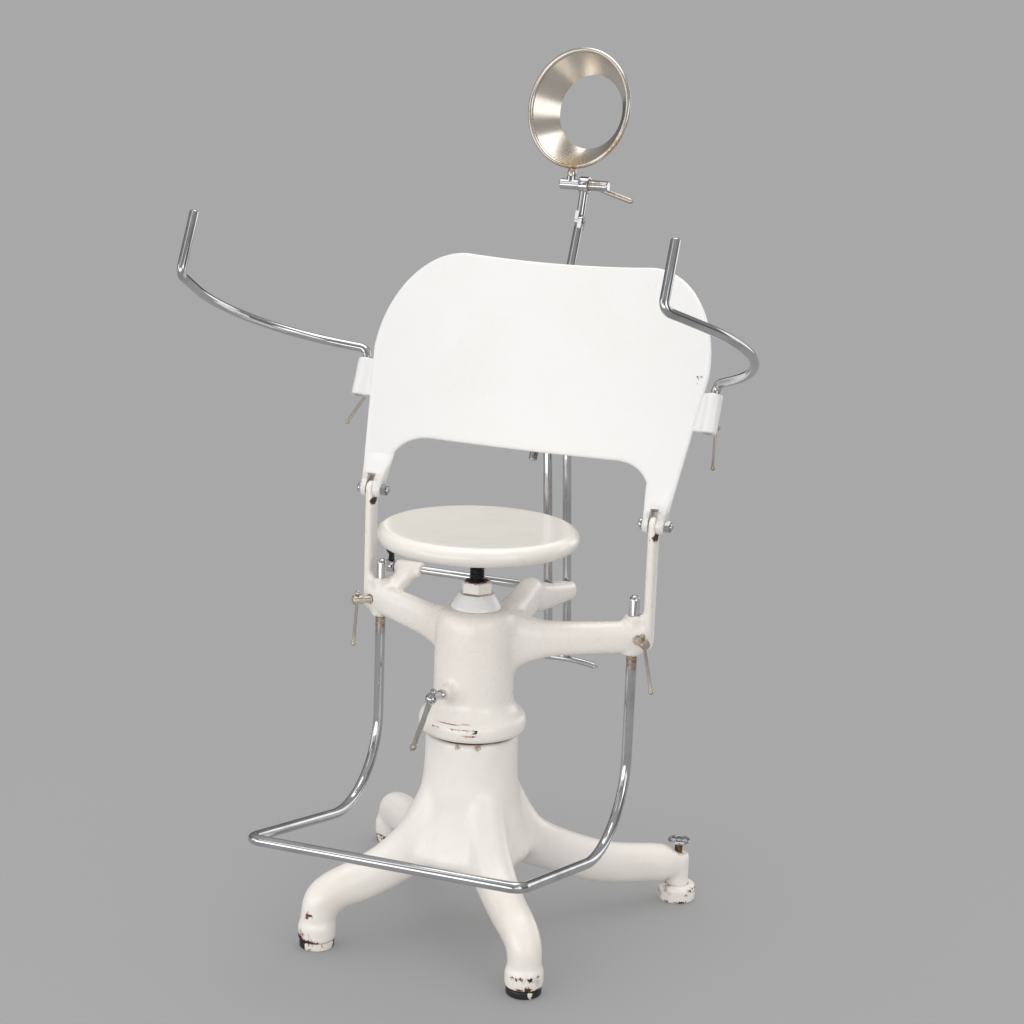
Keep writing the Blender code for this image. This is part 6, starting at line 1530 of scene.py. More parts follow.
# %% Lock shaft and knob
SHAFT_END = 0.2205
HUB_LENGTH = 0.0145
HUB_RADIUS = 0.0100
KNOB_RADIUS = 0.0085
KNOB_REACH = 0.027
shaft_frame = swivel @ Matrix.Translation((0, SHAFT_SETBACK, SHAFT_RISE))
shaft_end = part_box("lock_shaft")[1].x + SHAFT_END
shaft = [
    (0.0, 0.0),
    (HUB_RADIUS, 0.0),
    (HUB_RADIUS, HUB_LENGTH),
    (SHAFT_RADIUS, HUB_LENGTH),
    (SHAFT_RADIUS, shaft_end),
    (0.0, shaft_end),
]
shaft_shape = turned(shaft, (-SHAFT_END, 0, 0), (1, 0, 0), 40)
piece("strut_lock_shaft", shaft_shape, chrome, "lock_shaft", shaft_frame)
knob_low, knob_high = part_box("lock_knob")
knob_x = (knob_low.x + knob_high.x) / 2
knob = [(0.0, HUB_RADIUS + GAP), (0.0050, HUB_RADIUS + GAP), (0.0044, KNOB_REACH - KNOB_RADIUS)]
knob += arc((0.0, KNOB_REACH), KNOB_RADIUS, -55, 90, 16)
knob_shape = turned(knob, (knob_x, 0, 0), UP, 40, 0.0)
piece("strut_lock_knob", knob_shape, black_knob, "lock_knob", shaft_frame)
print("shaft length", round(shaft_end, 4))

# %% [markdown]
# ## Back plate
# The back is one thick sheet, hollowed from side to side, with rounded edges, an arch at the bottom and
# two legs that end in forks. Its outline is drawn flat, ringed with a rounded edge, sliced into upright
# strips and then bent, so the polished face has no ripples.

# %% Back sizes and outline
PLATE_THICKNESS = 0.008
PLATE_HALF_WIDTH = 0.279
PLATE_WIDEST_RISE = 0.226
PLATE_TOP_RISE = 0.397
PLATE_TOP_DIP = 0.004
PLATE_CORNER_WIDTH = 0.124
PLATE_LEG_RISE = 0.020
PLATE_LEG_OUTER = 0.2545
PLATE_LEG_INNER = 0.2185
PLATE_ARCH_RISE = 0.091
PLATE_ARCH_CORNER = 0.069
PLATE_HOLLOW = 0.018
PLATE_STRIPS = 72
PLATE_EDGE_ROUND = 0.9
PLATE_EDGE_LAND = 0.003


def hollow_at(x):
    """How far the middle of the plate's wall lies behind the hinge line at a width."""
    at_fork = PLATE_HOLLOW * (UPRIGHT_SPREAD / PLATE_HALF_WIDTH) ** 2
    return at_fork - PLATE_HOLLOW * (x / PLATE_HALF_WIDTH) ** 2


def plate_outline():
    """Right half of the outline from the top middle round to the arch's middle, then its mirror."""
    inner_top = PLATE_HALF_WIDTH - PLATE_CORNER_WIDTH
    inner_arch = PLATE_LEG_INNER - PLATE_ARCH_CORNER
    corner_rise = PLATE_TOP_RISE - PLATE_WIDEST_RISE
    arch_rise = PLATE_ARCH_RISE - PLATE_LEG_RISE
    points = []
    for k in range(12):
        share = k / 12
        points.append((inner_top * share, PLATE_TOP_RISE - PLATE_TOP_DIP * (1 - share**2)))
    for k in range(33):
        angle = math.pi / 2 * k / 32
        x = inner_top + PLATE_CORNER_WIDTH * math.sin(angle)
        points.append((x, PLATE_WIDEST_RISE + corner_rise * math.cos(angle)))
    for k in range(1, 13):
        share = k / 12
        x = PLATE_HALF_WIDTH + (PLATE_LEG_OUTER - PLATE_HALF_WIDTH) * share
        points.append((x, PLATE_WIDEST_RISE + (PLATE_LEG_RISE - PLATE_WIDEST_RISE) * share))
    points.append((PLATE_LEG_INNER + 0.004, PLATE_LEG_RISE))
    for k in range(25):
        angle = math.pi / 2 * k / 24
        share_x, share_z = math.cos(angle) ** (2 / 2.4), math.sin(angle) ** (2 / 2.4)
        points.append((inner_arch + PLATE_ARCH_CORNER * share_x, PLATE_LEG_RISE + arch_rise * share_z))
    for k in range(1, 11):
        points.append((inner_arch * (1 - k / 10), PLATE_ARCH_RISE))
    mirrored = [(-x, z) for x, z in reversed(points[1:-1])]
    return [Vector(point) for point in points + mirrored]


def inset_ring(outline, inset):
    """Outline moved inward, each point along its own normal."""
    moved = []
    count = len(outline)
    for k, point in enumerate(outline):
        way = outline[(k + 1) % count] - outline[k - 1]
        normal = Vector((way.y, -way.x)).normalized()
        moved.append(point + normal * inset)
    return moved


# %% Back sheet
outline = plate_outline()
plate_half = PLATE_THICKNESS / 2
sheet = bmesh.new()
loops = []
edge_land = plate_half * PLATE_EDGE_ROUND + PLATE_EDGE_LAND
edge_rows = [(edge_land, -plate_half)]
for step in range(9):
    angle = math.pi * step / 8
    inset = plate_half * (1 - math.sin(angle)) * PLATE_EDGE_ROUND
    edge_rows.append((inset, -plate_half * math.cos(angle)))
edge_rows.append((edge_land, plate_half))
for inset, depth in edge_rows:
    ring = inset_ring(outline, inset)
    loops.append([sheet.verts.new((point.x, depth, point.y)) for point in ring])
for lower, upper in zip(loops, loops[1:]):
    bridge(sheet, lower, upper)
sheet.faces.new(loops[0])
sheet.faces.new(loops[-1])
for strip in range(1, PLATE_STRIPS):
    cut = PLATE_HALF_WIDTH * (2 * strip / PLATE_STRIPS - 1)
    every = list(sheet.verts) + list(sheet.edges) + list(sheet.faces)
    bmesh.ops.bisect_plane(sheet, geom=every, dist=1e-7, plane_co=(cut, 0, 0), plane_no=(1, 0, 0))
for vert in sheet.verts:
    vert.co.y += hollow_at(vert.co.x)
plate_chips = [
    (back @ Vector((0.2645, -0.004, 0.2285)), 0.011, 0.62),
    (back @ Vector((0.2630, -0.004, 0.2195)), 0.007, 0.56),
    (back @ Vector((-0.250, 0.0, 0.060)), 0.008, 0.42),
    (back @ Vector((0.230, 0.0, 0.040)), 0.010, 0.42),
    (back @ Vector((0.150, 0.01, 0.392)), 0.006, 0.42),
]
fork_dirt = [(back @ Vector((side * UPRIGHT_SPREAD, 0, 0.010)), 0.025) for side in (-1, 1)]
plate_enamel = enamel("plate_enamel", WHITE, WHITE_AGED, 0.10, 0.00022, plate_chips, fork_dirt)
piece("back_hollow_sheet", sheet, plate_enamel, "back_plate", back)

# %% Forks and arm sleeves
FORK_WIDTH = 0.036
FORK_RADIUS = 0.0140
FORK_TOP_RISE = 0.060
FORK_SLOT_RISE = 0.022
ARM_SLEEVE_SPREAD = 0.291
ARM_SLEEVE_RADIUS = 0.0130
ARM_SLEEVE_LOW = 0.146
ARM_SLEEVE_LENGTH = 0.061
ARM_ROD_RADIUS = 0.0070
ARM_CLAMP_RISE = 0.020
ARM_CLAMP_SCREW_RADIUS = 0.0036
FORK_LAND_HALF = 0.0243
FORK_LAND_SPREAD = 0.2340
FORK_SHOULDER = 110
sleeve_top = ARM_SLEEVE_LOW + ARM_SLEEVE_LENGTH


def fork_form(side):
    """Cheeks of the hinge, round below, running out into the sheet above."""
    rows = []
    for k in range(15):
        angle = math.radians(14 + (FORK_SHOULDER - 14) * k / 14)
        narrow = 0.004 * (1 - math.sin(min(angle, math.pi / 2)))
        level = -FORK_RADIUS * math.cos(angle)
        rows.append((level, FORK_RADIUS * math.sin(angle), FORK_WIDTH / 2 - narrow, 0.0))
    foot, depth, width = rows[-1][:3]
    for k in range(1, 17):
        share = k / 16
        merge = share * share * (3 - 2 * share)
        level = foot + (FORK_TOP_RISE + 0.004 - foot) * share
        thin = depth + (plate_half - 0.0004 - depth) * merge
        rows.append((level, thin, width + (FORK_LAND_HALF - width) * merge, merge))
    rings = []
    for level, depth, width, merge in rows:
        middle = side * (UPRIGHT_SPREAD + (FORK_LAND_SPREAD - UPRIGHT_SPREAD) * merge)
        ring = []
        for u, v in oval(width, depth, 48, 4.0):
            ring.append((middle + u, v + hollow_at(middle + u) * merge, level))
        rings.append(ring)
    return skin(rings)


for side, label in SIDES:
    slot_x = side * UPRIGHT_SPREAD
    slot_half = UPRIGHT_THICKNESS / 2 + RUNNING_GAP
    slot_cut = block((slot_x - slot_half, -0.04, -0.04), (slot_x + slot_half, 0.04, FORK_SLOT_RISE))
    pin = bar((slot_x - FORK_WIDTH, 0, 0), (slot_x + FORK_WIDTH, 0, 0), HINGE_PIN_RADIUS + GAP, 32)
    fork_mesh = cast([fork_form(side)], [slot_cut, pin], SMALL_VOXEL, 0.0, 3)
    piece(f"back_fork_{label}", fork_mesh, plate_enamel, "back_plate", back, False)
    low = Vector((side * ARM_SLEEVE_SPREAD, 0.0, ARM_SLEEVE_LOW))
    high = Vector((side * ARM_SLEEVE_SPREAD, 0.0, sleeve_top))
    tab_x = sorted((side * (PLATE_HALF_WIDTH - 0.024), side * ARM_SLEEVE_SPREAD))
    tab = block((tab_x[0], -0.0068, ARM_SLEEVE_LOW + 0.0004), (tab_x[1], 0.0052, sleeve_top - 0.0004))
    along = UP * 0.05
    rod_bore = bar(low - along, high + along, ARM_ROD_RADIUS + GAP, 40)
    screw = low + UP * ARM_CLAMP_RISE
    screw_hole = bar(screw, screw + Vector((0, 0.05, 0)), ARM_CLAMP_SCREW_RADIUS + GAP, 32)
    sleeve_shapes = [bar(low, high, ARM_SLEEVE_RADIUS, 48, 0.001), tab]
    sleeve_mesh = cast(sleeve_shapes, [rod_bore, screw_hole], SLEEVE_VOXEL, SLEEVE_FILLET, 3)
    piece(f"back_arm_sleeve_{label}", sleeve_mesh, plate_enamel, "back_plate", back, False)
print("back sheet strips", PLATE_STRIPS)

# %% [markdown]
# ## Hinge bolts
# A plain bolt with a round head and a hexagonal nut passes through each fork and upright.

# %% Hinge bolts
BOLT_HEAD_RADIUS = 0.0085
BOLT_HEAD_HEIGHT = 0.006
NUT_RADIUS = 0.0092
NUT_LENGTH = 0.008
nut_near = BOLT_HEAD_HEIGHT + FORK_WIDTH + 2 * GAP
bolt_tip = nut_near + NUT_LENGTH + 0.003
bolt = [
    (0.0, 0.0),
    (BOLT_HEAD_RADIUS - 0.003, 0.0004),
    (BOLT_HEAD_RADIUS - 0.0008, 0.0018),
    (BOLT_HEAD_RADIUS, 0.0034),
    (BOLT_HEAD_RADIUS, BOLT_HEAD_HEIGHT),
    (HINGE_PIN_RADIUS, BOLT_HEAD_HEIGHT),
    (HINGE_PIN_RADIUS, bolt_tip - 0.001),
    (HINGE_PIN_RADIUS - 0.001, bolt_tip),
    (0.0, bolt_tip),
]
NUT_BEVEL = (0.002, 0.004, 0.003, 0.004, 48)
for side, label in SIDES:
    head_end = Vector((side * UPRIGHT_SPREAD - FORK_WIDTH / 2 - GAP - BOLT_HEAD_HEIGHT, 0, 0))
    bolt_frame = back @ axis_matrix(head_end, (1, 0, 0))
    piece(f"hinge_pin_{label}", revolve(bolt, 36, ease=0.0005), chrome, f"hinge_bolt_{label}", bolt_frame)
    pin_bore = bar((0, 0, 0), (0, 0, 0.1), HINGE_PIN_RADIUS + GAP, 32)
    hex_mesh = hex_nut(NUT_RADIUS, nut_near, nut_near + NUT_LENGTH, NUT_BEVEL, pin_bore)
    piece(f"hinge_hex_nut_{label}", hex_mesh, machined, f"hinge_nut_{label}", bolt_frame)
print("hinge bolts", round(bolt_tip, 4))

# %% [markdown]
# ## Arm rods
# Each arm is one bar: it stands in its sleeve, runs forward, bows inward and turns up into a grip. A clamp
# behind the sleeve holds it. The left one is swung further out than the right.

# %% Arms
ARM_SPECS = ((-1, "left", 67, 26), (1, "right", 46, -6))
ARM_BOW_DEG = 78
ARM_INNER_LENGTH = 0.222
ARM_OUTER_LENGTH = 0.255
ARM_GRIP_LENGTH = 0.100
ARM_BENDS = [0.014, 0.221, 0.014]
ARM_SCREW = (ARM_CLAMP_SCREW_RADIUS, 0.0062, 0.013)
ARM_TOMMY = (0.0023, 0.0036, 0.074)
for side, label, swing_deg, lean_deg in ARM_SPECS:
    start = math.radians(swing_deg)
    bow = math.radians(swing_deg - ARM_BOW_DEG)
    rise = UP * (ARM_SLEEVE_LENGTH + 0.016)
    inner = Vector((side * math.sin(start), -math.cos(start), 0.0)) * ARM_INNER_LENGTH
    outer = Vector((side * math.sin(bow), -math.cos(bow), 0.0)) * ARM_OUTER_LENGTH
    corners = [Vector((0, 0, -0.001)), rise, rise + inner, rise + inner + outer]
    corners.append(corners[-1] + UP * ARM_GRIP_LENGTH)
    arm_frame = back @ Matrix.Translation((side * ARM_SLEEVE_SPREAD, 0, ARM_SLEEVE_LOW))
    arm_path = rounded_path(corners, ARM_BENDS)
    rod(f"arm_bent_rod_{label}", arm_path, ARM_ROD_RADIUS, chrome, f"arm_rod_{label}", arm_frame, dome=0.55)
    lean = math.radians(lean_deg)
    clamp_frame = arm_frame @ Matrix.Translation((0, 0, ARM_CLAMP_RISE))
    cross = Vector((math.sin(lean), 0.0, math.cos(lean)))
    clamp(f"arm_{label}", clamp_frame, Vector((0, 1, 0)), ARM_ROD_RADIUS + GAP, ARM_SLEEVE_RADIUS,
          ARM_SLEEVE_RADIUS + 0.014, ARM_SCREW, cross, ARM_TOMMY,
          (f"arm_clamp_{label}", f"arm_bar_{label}"))
print("arm rods", len(arm_path), "points")

# %% [markdown]
# ## Head rod and its brackets
# A clamp and a guide behind the back hold the head rod. They are small castings, so they go through the
# same casting helper. The clamp's knob has ribs for the fingers.

# %% Head brackets
HEAD_ROD_SETBACK = 0.058
HEAD_ROD_RADIUS = 0.0070
HEAD_HALF_WIDTH = 0.017
HEAD_CLAMP_RISE, HEAD_CLAMP_LENGTH = 0.300, 0.052
HEAD_GUIDE_RISE, HEAD_GUIDE_LENGTH = 0.175, 0.026
KNUCKLE_RISE = 0.481
CLAMP_KNOB_RADIUS = 0.0115
CLAMP_KNOB_LENGTH = 0.018
HEAD_SCREW_RADIUS = 0.0040
plate_rear = hollow_at(0.0) + plate_half
bracket_rear = HEAD_ROD_RADIUS + 0.008
bracket_enamel = enamel("bracket_enamel", CREAM, CREAM_AGED, 0.26, 0.0008)
for node, name, rise, length in (
    ("head_clamp", "head_clamp_casting", HEAD_CLAMP_RISE, HEAD_CLAMP_LENGTH),
    ("head_guide", "head_guide_casting", HEAD_GUIDE_RISE, HEAD_GUIDE_LENGTH),
):
    seat = plate_rear + GAP
    shoulder = HEAD_ROD_SETBACK - 0.012
    shape = [(-HEAD_HALF_WIDTH, seat), (HEAD_HALF_WIDTH, seat), (HEAD_HALF_WIDTH * 0.9, shoulder)]
    shape += arc((0.0, HEAD_ROD_SETBACK), bracket_rear, 0, 180, 32) + [(-HEAD_HALF_WIDTH * 0.9, shoulder)]
    solid = skin([[(x, y, z) for x, y in shape] for z in (rise - length / 2, rise + length / 2)])
    centre = Vector((0, HEAD_ROD_SETBACK, rise))
    cuts = [bar(centre - UP * 0.1, centre + UP * 0.1, HEAD_ROD_RADIUS + GAP)]
    if node == "head_clamp":
        cuts.append(bar(centre, centre + Vector((0, 0.05, 0)), HEAD_SCREW_RADIUS + GAP, 32))
    piece(name, cast([solid], cuts, SMALL_VOXEL, 0.0, 4), bracket_enamel, node, back)
knob_start = bracket_rear + 0.002
knob = [
    (0.0, HEAD_ROD_RADIUS + GAP),
    (HEAD_SCREW_RADIUS, HEAD_ROD_RADIUS + GAP),
    (HEAD_SCREW_RADIUS, knob_start),
    (CLAMP_KNOB_RADIUS * 0.72, knob_start + 0.001),
    (CLAMP_KNOB_RADIUS, knob_start + 0.005),
    (CLAMP_KNOB_RADIUS, knob_start + CLAMP_KNOB_LENGTH - 0.003),
    (CLAMP_KNOB_RADIUS - 0.003, knob_start + CLAMP_KNOB_LENGTH),
    (0.0, knob_start + CLAMP_KNOB_LENGTH),
]
knob_frame = back @ Matrix.Translation((0, HEAD_ROD_SETBACK, HEAD_CLAMP_RISE))
knob_shape = turned(knob, (0, 0, 0), (0, 1, 0), 60, 0.0008)
for vert in knob_shape.verts:
    around = math.atan2(vert.co.z, vert.co.x)
    away = math.hypot(vert.co.x, vert.co.z)
    if away > CLAMP_KNOB_RADIUS * 0.95:
        flute = 1 - 0.045 * max(0.0, math.cos(around * 12))
        vert.co.x *= flute
        vert.co.z *= flute
piece("head_clamp_fluted_knob", knob_shape, chrome, "head_clamp_knob", knob_frame)
print("head brackets behind", round(plate_rear, 4))

# %% [markdown]
# ## Head rest
# The rod ends in a knuckle: two half tongues on a pin. A link leads up to a cross barrel with a clamp lever,
# and the barrel carries the neck of a funnel ring, beaded at its front edge and worn to brass below.

# %% Knuckle, link and barrel
KNUCKLE_RADIUS = 0.0078
KNUCKLE_PIN_RADIUS = 0.0030
HEAD_ROD_LOW = 0.087
LINK_LENGTH = 0.0574
LINK_RADIUS = 0.0066
LINK_EYE_RADIUS = 0.0135
LINK_EYE_WIDTH = 0.016
BARREL_RADIUS = 0.0085
BARREL_LEFT, BARREL_RIGHT = 0.042, 0.040
NECK_OFFSET = 0.024
NECK_RADIUS = 0.0068
NECK_SEAT = 0.0120
LEVER_HUB = 0.0075
LEVER_BAR = 0.0045
LEVER_REACH = 0.084
LINK_TILT = math.radians(7)
BARREL_TILT = math.radians(7)
RING_TURN = math.radians(-11.5)
BARREL_TAN = (0.370, 0.310, 0.225, 1.0)
rod_frame = back @ Matrix.Translation((0, HEAD_ROD_SETBACK, KNUCKLE_RISE))
link_frame = rod_frame @ Matrix.Rotation(LINK_TILT, 4, "X")
barrel_frame = link_frame @ Matrix.Translation((0, 0, LINK_LENGTH)) @ Matrix.Rotation(BARREL_TILT, 4, "X")
ring_frame = barrel_frame @ Matrix.Translation((-NECK_OFFSET, 0, 0)) @ Matrix.Rotation(RING_TURN, 4, "Z")
lap = KNUCKLE_RADIUS + RUNNING_GAP
tongue_out = KNUCKLE_RADIUS - 0.0016


def tongue(near, far, below):
    """Half of the knuckle, round at the pin and square towards its rod."""
    outline = arc((0.0, 0.0), KNUCKLE_RADIUS, 0, 180, 24)
    outline += [(-KNUCKLE_RADIUS, -lap - 0.006), (KNUCKLE_RADIUS, -lap - 0.006)]
    if not below:
        outline = [(-y, -z) for y, z in outline]
    return slab(outline, min(near, far), max(near, far))


rod_solid = [bar((0, 0, HEAD_ROD_LOW - KNUCKLE_RISE), (0, 0, -lap), HEAD_ROD_RADIUS, 40, 0.0015)]
rod_solid.append(tongue(RUNNING_GAP / 2, tongue_out, True))
piece("head_rest_rod", merged(rod_solid), chrome, "head_rod", rod_frame)
knuckle_rivet = rivet(KNUCKLE_PIN_RADIUS, tongue_out + 0.0022, 0.0018, 28)
piece("knuckle_rivet", knuckle_rivet, machined, "knuckle_pin", rod_frame)
eye_half = LINK_EYE_WIDTH / 2
link_solid = [bar((0, 0, lap), (0, 0, LINK_LENGTH - BARREL_RADIUS - 0.002), LINK_RADIUS, 40)]
link_solid.append(tongue(-RUNNING_GAP / 2, -tongue_out, False))
eye_profile = [(BARREL_RADIUS + GAP, -eye_half), (LINK_EYE_RADIUS, -eye_half), (LINK_EYE_RADIUS, eye_half)]
eye_profile.append((BARREL_RADIUS + GAP, eye_half))
eye_shape = placed(revolve(eye_profile, 48, True, 0.0012), axis_matrix((0, 0, LINK_LENGTH), (1, 0, 0)))
link_solid.append(eye_shape)
piece("head_rest_link", merged(link_solid), chrome, "head_link", link_frame)
barrel_solid = [bar((-BARREL_LEFT, 0, 0), (BARREL_RIGHT, 0, 0), BARREL_RADIUS, 44, 0.0018)]
barrel_solid.append(bar((-NECK_OFFSET, 0, 0), (-NECK_OFFSET, 0, NECK_SEAT), NECK_RADIUS + 0.0008, 36))
# A tan patch on the barrel's upper front, right of the neck, is a painted reflection of the tan lever and the
# brass ring.
barrel_tan_reflection = [(barrel_frame @ Vector((along, -0.004, 0.004)), 0.017) for along in (0.012, 0.020, 0.026)]
barrel_chrome = plated("barrel_chromium", CHROME, CHROME_DULL, 0.07, 0.3, barrel_tan_reflection, BARREL_TAN)
piece("head_cross_barrel", merged(barrel_solid), barrel_chrome, "head_barrel", barrel_frame)
lever_place = (-0.004, LINK_EYE_RADIUS + RUNNING_GAP, LINK_LENGTH + LEVER_HUB - 0.002)
lever_frame = link_frame @ Matrix.Translation(lever_place)
lever_hub = [
    (0.0, 0.0),
    (LEVER_HUB - 0.001, 0.0),
    (LEVER_HUB, 0.001),
    (LEVER_HUB, LEVER_BAR * 2 + 0.001),
    (LEVER_HUB - 0.002, LEVER_BAR * 2 + 0.0025),
    (0.0, LEVER_BAR * 2 + 0.0025),
]
drop = math.radians(16)
lever_handle = [
    (0.0, 0.0),
    (LEVER_BAR * 0.85, 0.0),
    (LEVER_BAR * 0.85, LEVER_HUB),
    (LEVER_BAR, LEVER_REACH * 0.5),
    (LEVER_BAR, LEVER_REACH - 0.003),
    (LEVER_BAR * 0.55, LEVER_REACH),
    (0.0, LEVER_REACH),
]
lever_away = Vector((math.cos(drop), 0.0, -math.sin(drop)))
lever_solid = [turned(lever_hub, (0, 0, 0), (0, 1, 0), 40)]
lever_solid.append(turned(lever_handle, (0, LEVER_BAR + 0.0012, 0), lever_away, 32, 0.001))
piece("head_lever_handle", merged(lever_solid), nickel, "head_clamp_lever", lever_frame)
print("knuckle at", [round(value, 3) for value in rod_frame.translation])

# %% Neck and funnel ring
RING_RADIUS = 0.0960
RING_BEAD_RADIUS = 0.0042
RING_REAR_RADIUS = 0.0590
RING_DEPTH = 0.037
RING_WALL = 0.0030
RING_CENTRE_RISE = 0.1205
neck_top = RING_CENTRE_RISE - RING_RADIUS - GAP
neck_low = NECK_SEAT + GAP
neck = [
    (0.0, neck_low),
    (NECK_RADIUS, neck_low),
    (NECK_RADIUS + 0.0006, (neck_low + neck_top) / 2),
    (NECK_RADIUS - 0.0006, neck_top),
    (0.0, neck_top),
]
ring_foot = ring_frame @ Vector((0, 0, RING_CENTRE_RISE - RING_RADIUS))
brass_places = [(ring_foot, 0.048), (ring_frame @ Vector((0.075, 0, RING_CENTRE_RISE - 0.06)), 0.030)]
RING_NICKEL = (0.720, 0.665, 0.590, 1.0)
RING_DULL = (0.600, 0.545, 0.470, 1.0)
ring_nickel = plated("ring_nickel", RING_NICKEL, RING_DULL, 0.22, 0.3, brass_places, BRASS_WORN)
neck_brass = [(ring_frame @ Vector((0, 0, level)), 0.010) for level in (neck_low, neck_top + 0.002)]
neck_nickel = plated("neck_nickel", RING_NICKEL, RING_NICKEL, 0.14, 0.1, neck_brass, BRASS_WORN)
piece("head_ring_neck", revolve(neck, 40, ease=0.0008), neck_nickel, "head_neck", ring_frame)
bead_radius = RING_RADIUS - RING_BEAD_RADIUS
slope = math.atan2(RING_DEPTH, bead_radius - RING_REAR_RADIUS)
wall = RING_WALL / math.sin(slope)
funnel = arc((bead_radius, 0.0), RING_BEAD_RADIUS, -40, 230, 24)
funnel += [(RING_REAR_RADIUS, -RING_DEPTH), (RING_REAR_RADIUS + wall * 0.5, -RING_DEPTH - 0.0012)]
funnel.append((RING_REAR_RADIUS + wall, -RING_DEPTH))
funnel_matrix = ring_frame @ axis_matrix((0, 0, RING_CENTRE_RISE), (0, -1, 0))
piece("head_funnel_ring", revolve(funnel, 112, True), ring_nickel, "head_ring", funnel_matrix)
print("ring centre", [round(value, 3) for value in funnel_matrix.translation])

# %% [markdown]
# ## Recline strut
# Two rods hang in one head from a bracket behind the back, and slide through slots of the rear arm. The rear
# one ends in a cross grip. The bracket is a small casting with two cheeks.

# %% Strut
STRUT_HEAD_HALF_WIDTH = 0.0095
STRUT_HEAD_HALF_HEIGHT = 0.011
STRUT_PIN_RADIUS = 0.005
STRUT_FRONT_LENGTH = 0.352
STRUT_REAR_LENGTH = 0.396
CHEEK_THICKNESS = 0.006
FOOT_LEDGE = 0.008
cheek_in = STRUT_HEAD_HALF_WIDTH + RUNNING_GAP
cheek_out = cheek_in + CHEEK_THICKNESS
foot_half = cheek_out + FOOT_LEDGE
bracket_seat = hollow_at(REAR_ARM_OFFSET - cheek_out) + plate_half + GAP - STRUT_PIVOT[1]
bracket_frame = back @ Matrix.Translation(STRUT_PIVOT)
foot_plate = block((-foot_half, bracket_seat, -0.026), (foot_half, bracket_seat + 0.005, 0.026))
root = bracket_seat + 0.0025
cheek = arc((0.0, 0.0), STRUT_HEAD_HALF_HEIGHT - 0.001, -90, 90, 24) + [(root, 0.024), (root, -0.024)]
window_half = STRUT_HEAD_HALF_WIDTH + RUNNING_GAP / 2
window_high = (window_half, bracket_seat + 0.010, STRUT_HEAD_HALF_HEIGHT)
window = block((-window_half, bracket_seat - 0.005, -0.052), window_high)
bracket_cuts = [window, bar((-0.05, 0, 0), (0.05, 0, 0), STRUT_PIN_RADIUS + GAP, 32)]
bracket_shapes = [foot_plate, slab(cheek, cheek_in, cheek_out), slab(cheek, -cheek_out, -cheek_in)]
strut_bracket = cast(bracket_shapes, bracket_cuts, SMALL_VOXEL, 0.0, 2)
piece("strut_cheek_bracket", strut_bracket, bracket_enamel, "strut_bracket", bracket_frame)
strut_rivet = rivet(STRUT_PIN_RADIUS, cheek_out + 0.0026, 0.0022, 32)
piece("strut_rivet", strut_rivet, machined, "strut_pin", bracket_frame)
gauge = STRUT_SPACING / 2
ear = STRUT_ROD_RADIUS + 0.0035
waist = STRUT_HEAD_HALF_HEIGHT - 0.0005
yoke = arc((gauge, 0.0), ear, -90, 90, 24) + arc((0.0, 0.0), waist, 60, 120, 10)
yoke += arc((-gauge, 0.0), ear, 90, 270, 24) + arc((0.0, 0.0), waist, 240, 300, 10)
yoke_shape = slab(yoke, -STRUT_HEAD_HALF_WIDTH, STRUT_HEAD_HALF_WIDTH)
yoke_cuts = [bar((-0.03, 0, 0), (0.03, 0, 0), STRUT_PIN_RADIUS + GAP, 32)]
yoke_cuts += [bar((0, y, -0.03), (0, y, 0.03), STRUT_ROD_RADIUS + GAP, 36) for y in (-gauge, gauge)]
piece("strut_yoke", bored(yoke_shape, yoke_cuts), machined, "strut_head", strut_frame)
strut_top = ear + 0.002
rear_low = strut_top - STRUT_REAR_LENGTH
for label, y, low in (("front", -gauge, strut_top - STRUT_FRONT_LENGTH), ("rear", gauge, rear_low)):
    path = [(0, y, low), (0, y, strut_top - 0.2), (0, y, strut_top)]
    rod(f"strut_{label}_bar", path, STRUT_ROD_RADIUS, chrome, f"strut_rod_{label}", strut_frame, dome=0.3)
GRIP_RADIUS = 0.0048
grip_level = rear_low - GAP - GRIP_RADIUS
grip = [
    (-0.076, gauge, grip_level - 0.0024),
    (-0.034, gauge, grip_level - 0.0006),
    (0.0, gauge, grip_level),
    (0.0286, gauge, grip_level - 0.0021),
    (0.052, gauge, grip_level - 0.0060),
]
rod("strut_cross_grip", curve_through(grip, 8), GRIP_RADIUS, chrome, "strut_grip", strut_frame)
print("strut hangs to", round((strut_frame @ Vector(grip[2])).z, 3))

# %% [markdown]
# ## Pieces kept as they are
# The swivel post, its bearing washer and the stop disc are inside the column. They keep their CAD shape
# and get a metal finish.

# %% Inner pieces
for node, finish in (("swivel_post", machined), ("bearing_washer", tarnished), ("screw_stop_disc", machined)):
    frame["nodes"][node].data.materials.clear()
    frame["nodes"][node].data.materials.append(finish)
print("inner pieces finished")

# %% [markdown]
# ## Studio
# A pale grey floor runs up into the same grey behind. One tall soft lamp to the left gives the upright
# streak on the hollow back, a broad one overhead lights the seat, two in front fill the castings, and a
# weak one comes from the right. Plated rods mirror three bright windows in a dim room.

# %% Floor, lamps and world
STUDIO_GREY = (0.392, 0.392, 0.393, 1.0)
FLOOR_GREY = (0.325, 0.325, 0.326, 1.0)
FLOOR_HALF = 14.0
FLOOR_GLOW = 0.35
FLOOR_NEAR, FLOOR_FAR = 0.9, 2.2
floor_shape = bmesh.new()
bmesh.ops.create_grid(floor_shape, x_segments=1, y_segments=1, size=FLOOR_HALF)
floor = loose_object("studio_floor", to_mesh("studio_floor", floor_shape))
floor_paint = Paint("floor_grey", base_color=FLOOR_GREY, roughness=0.8, specular_ior_level=0.1)
away = floor_paint.vector("LENGTH", floor_paint.place, output="Value")
lit = Flow(floor_paint, floor_paint.shader.outputs[0])
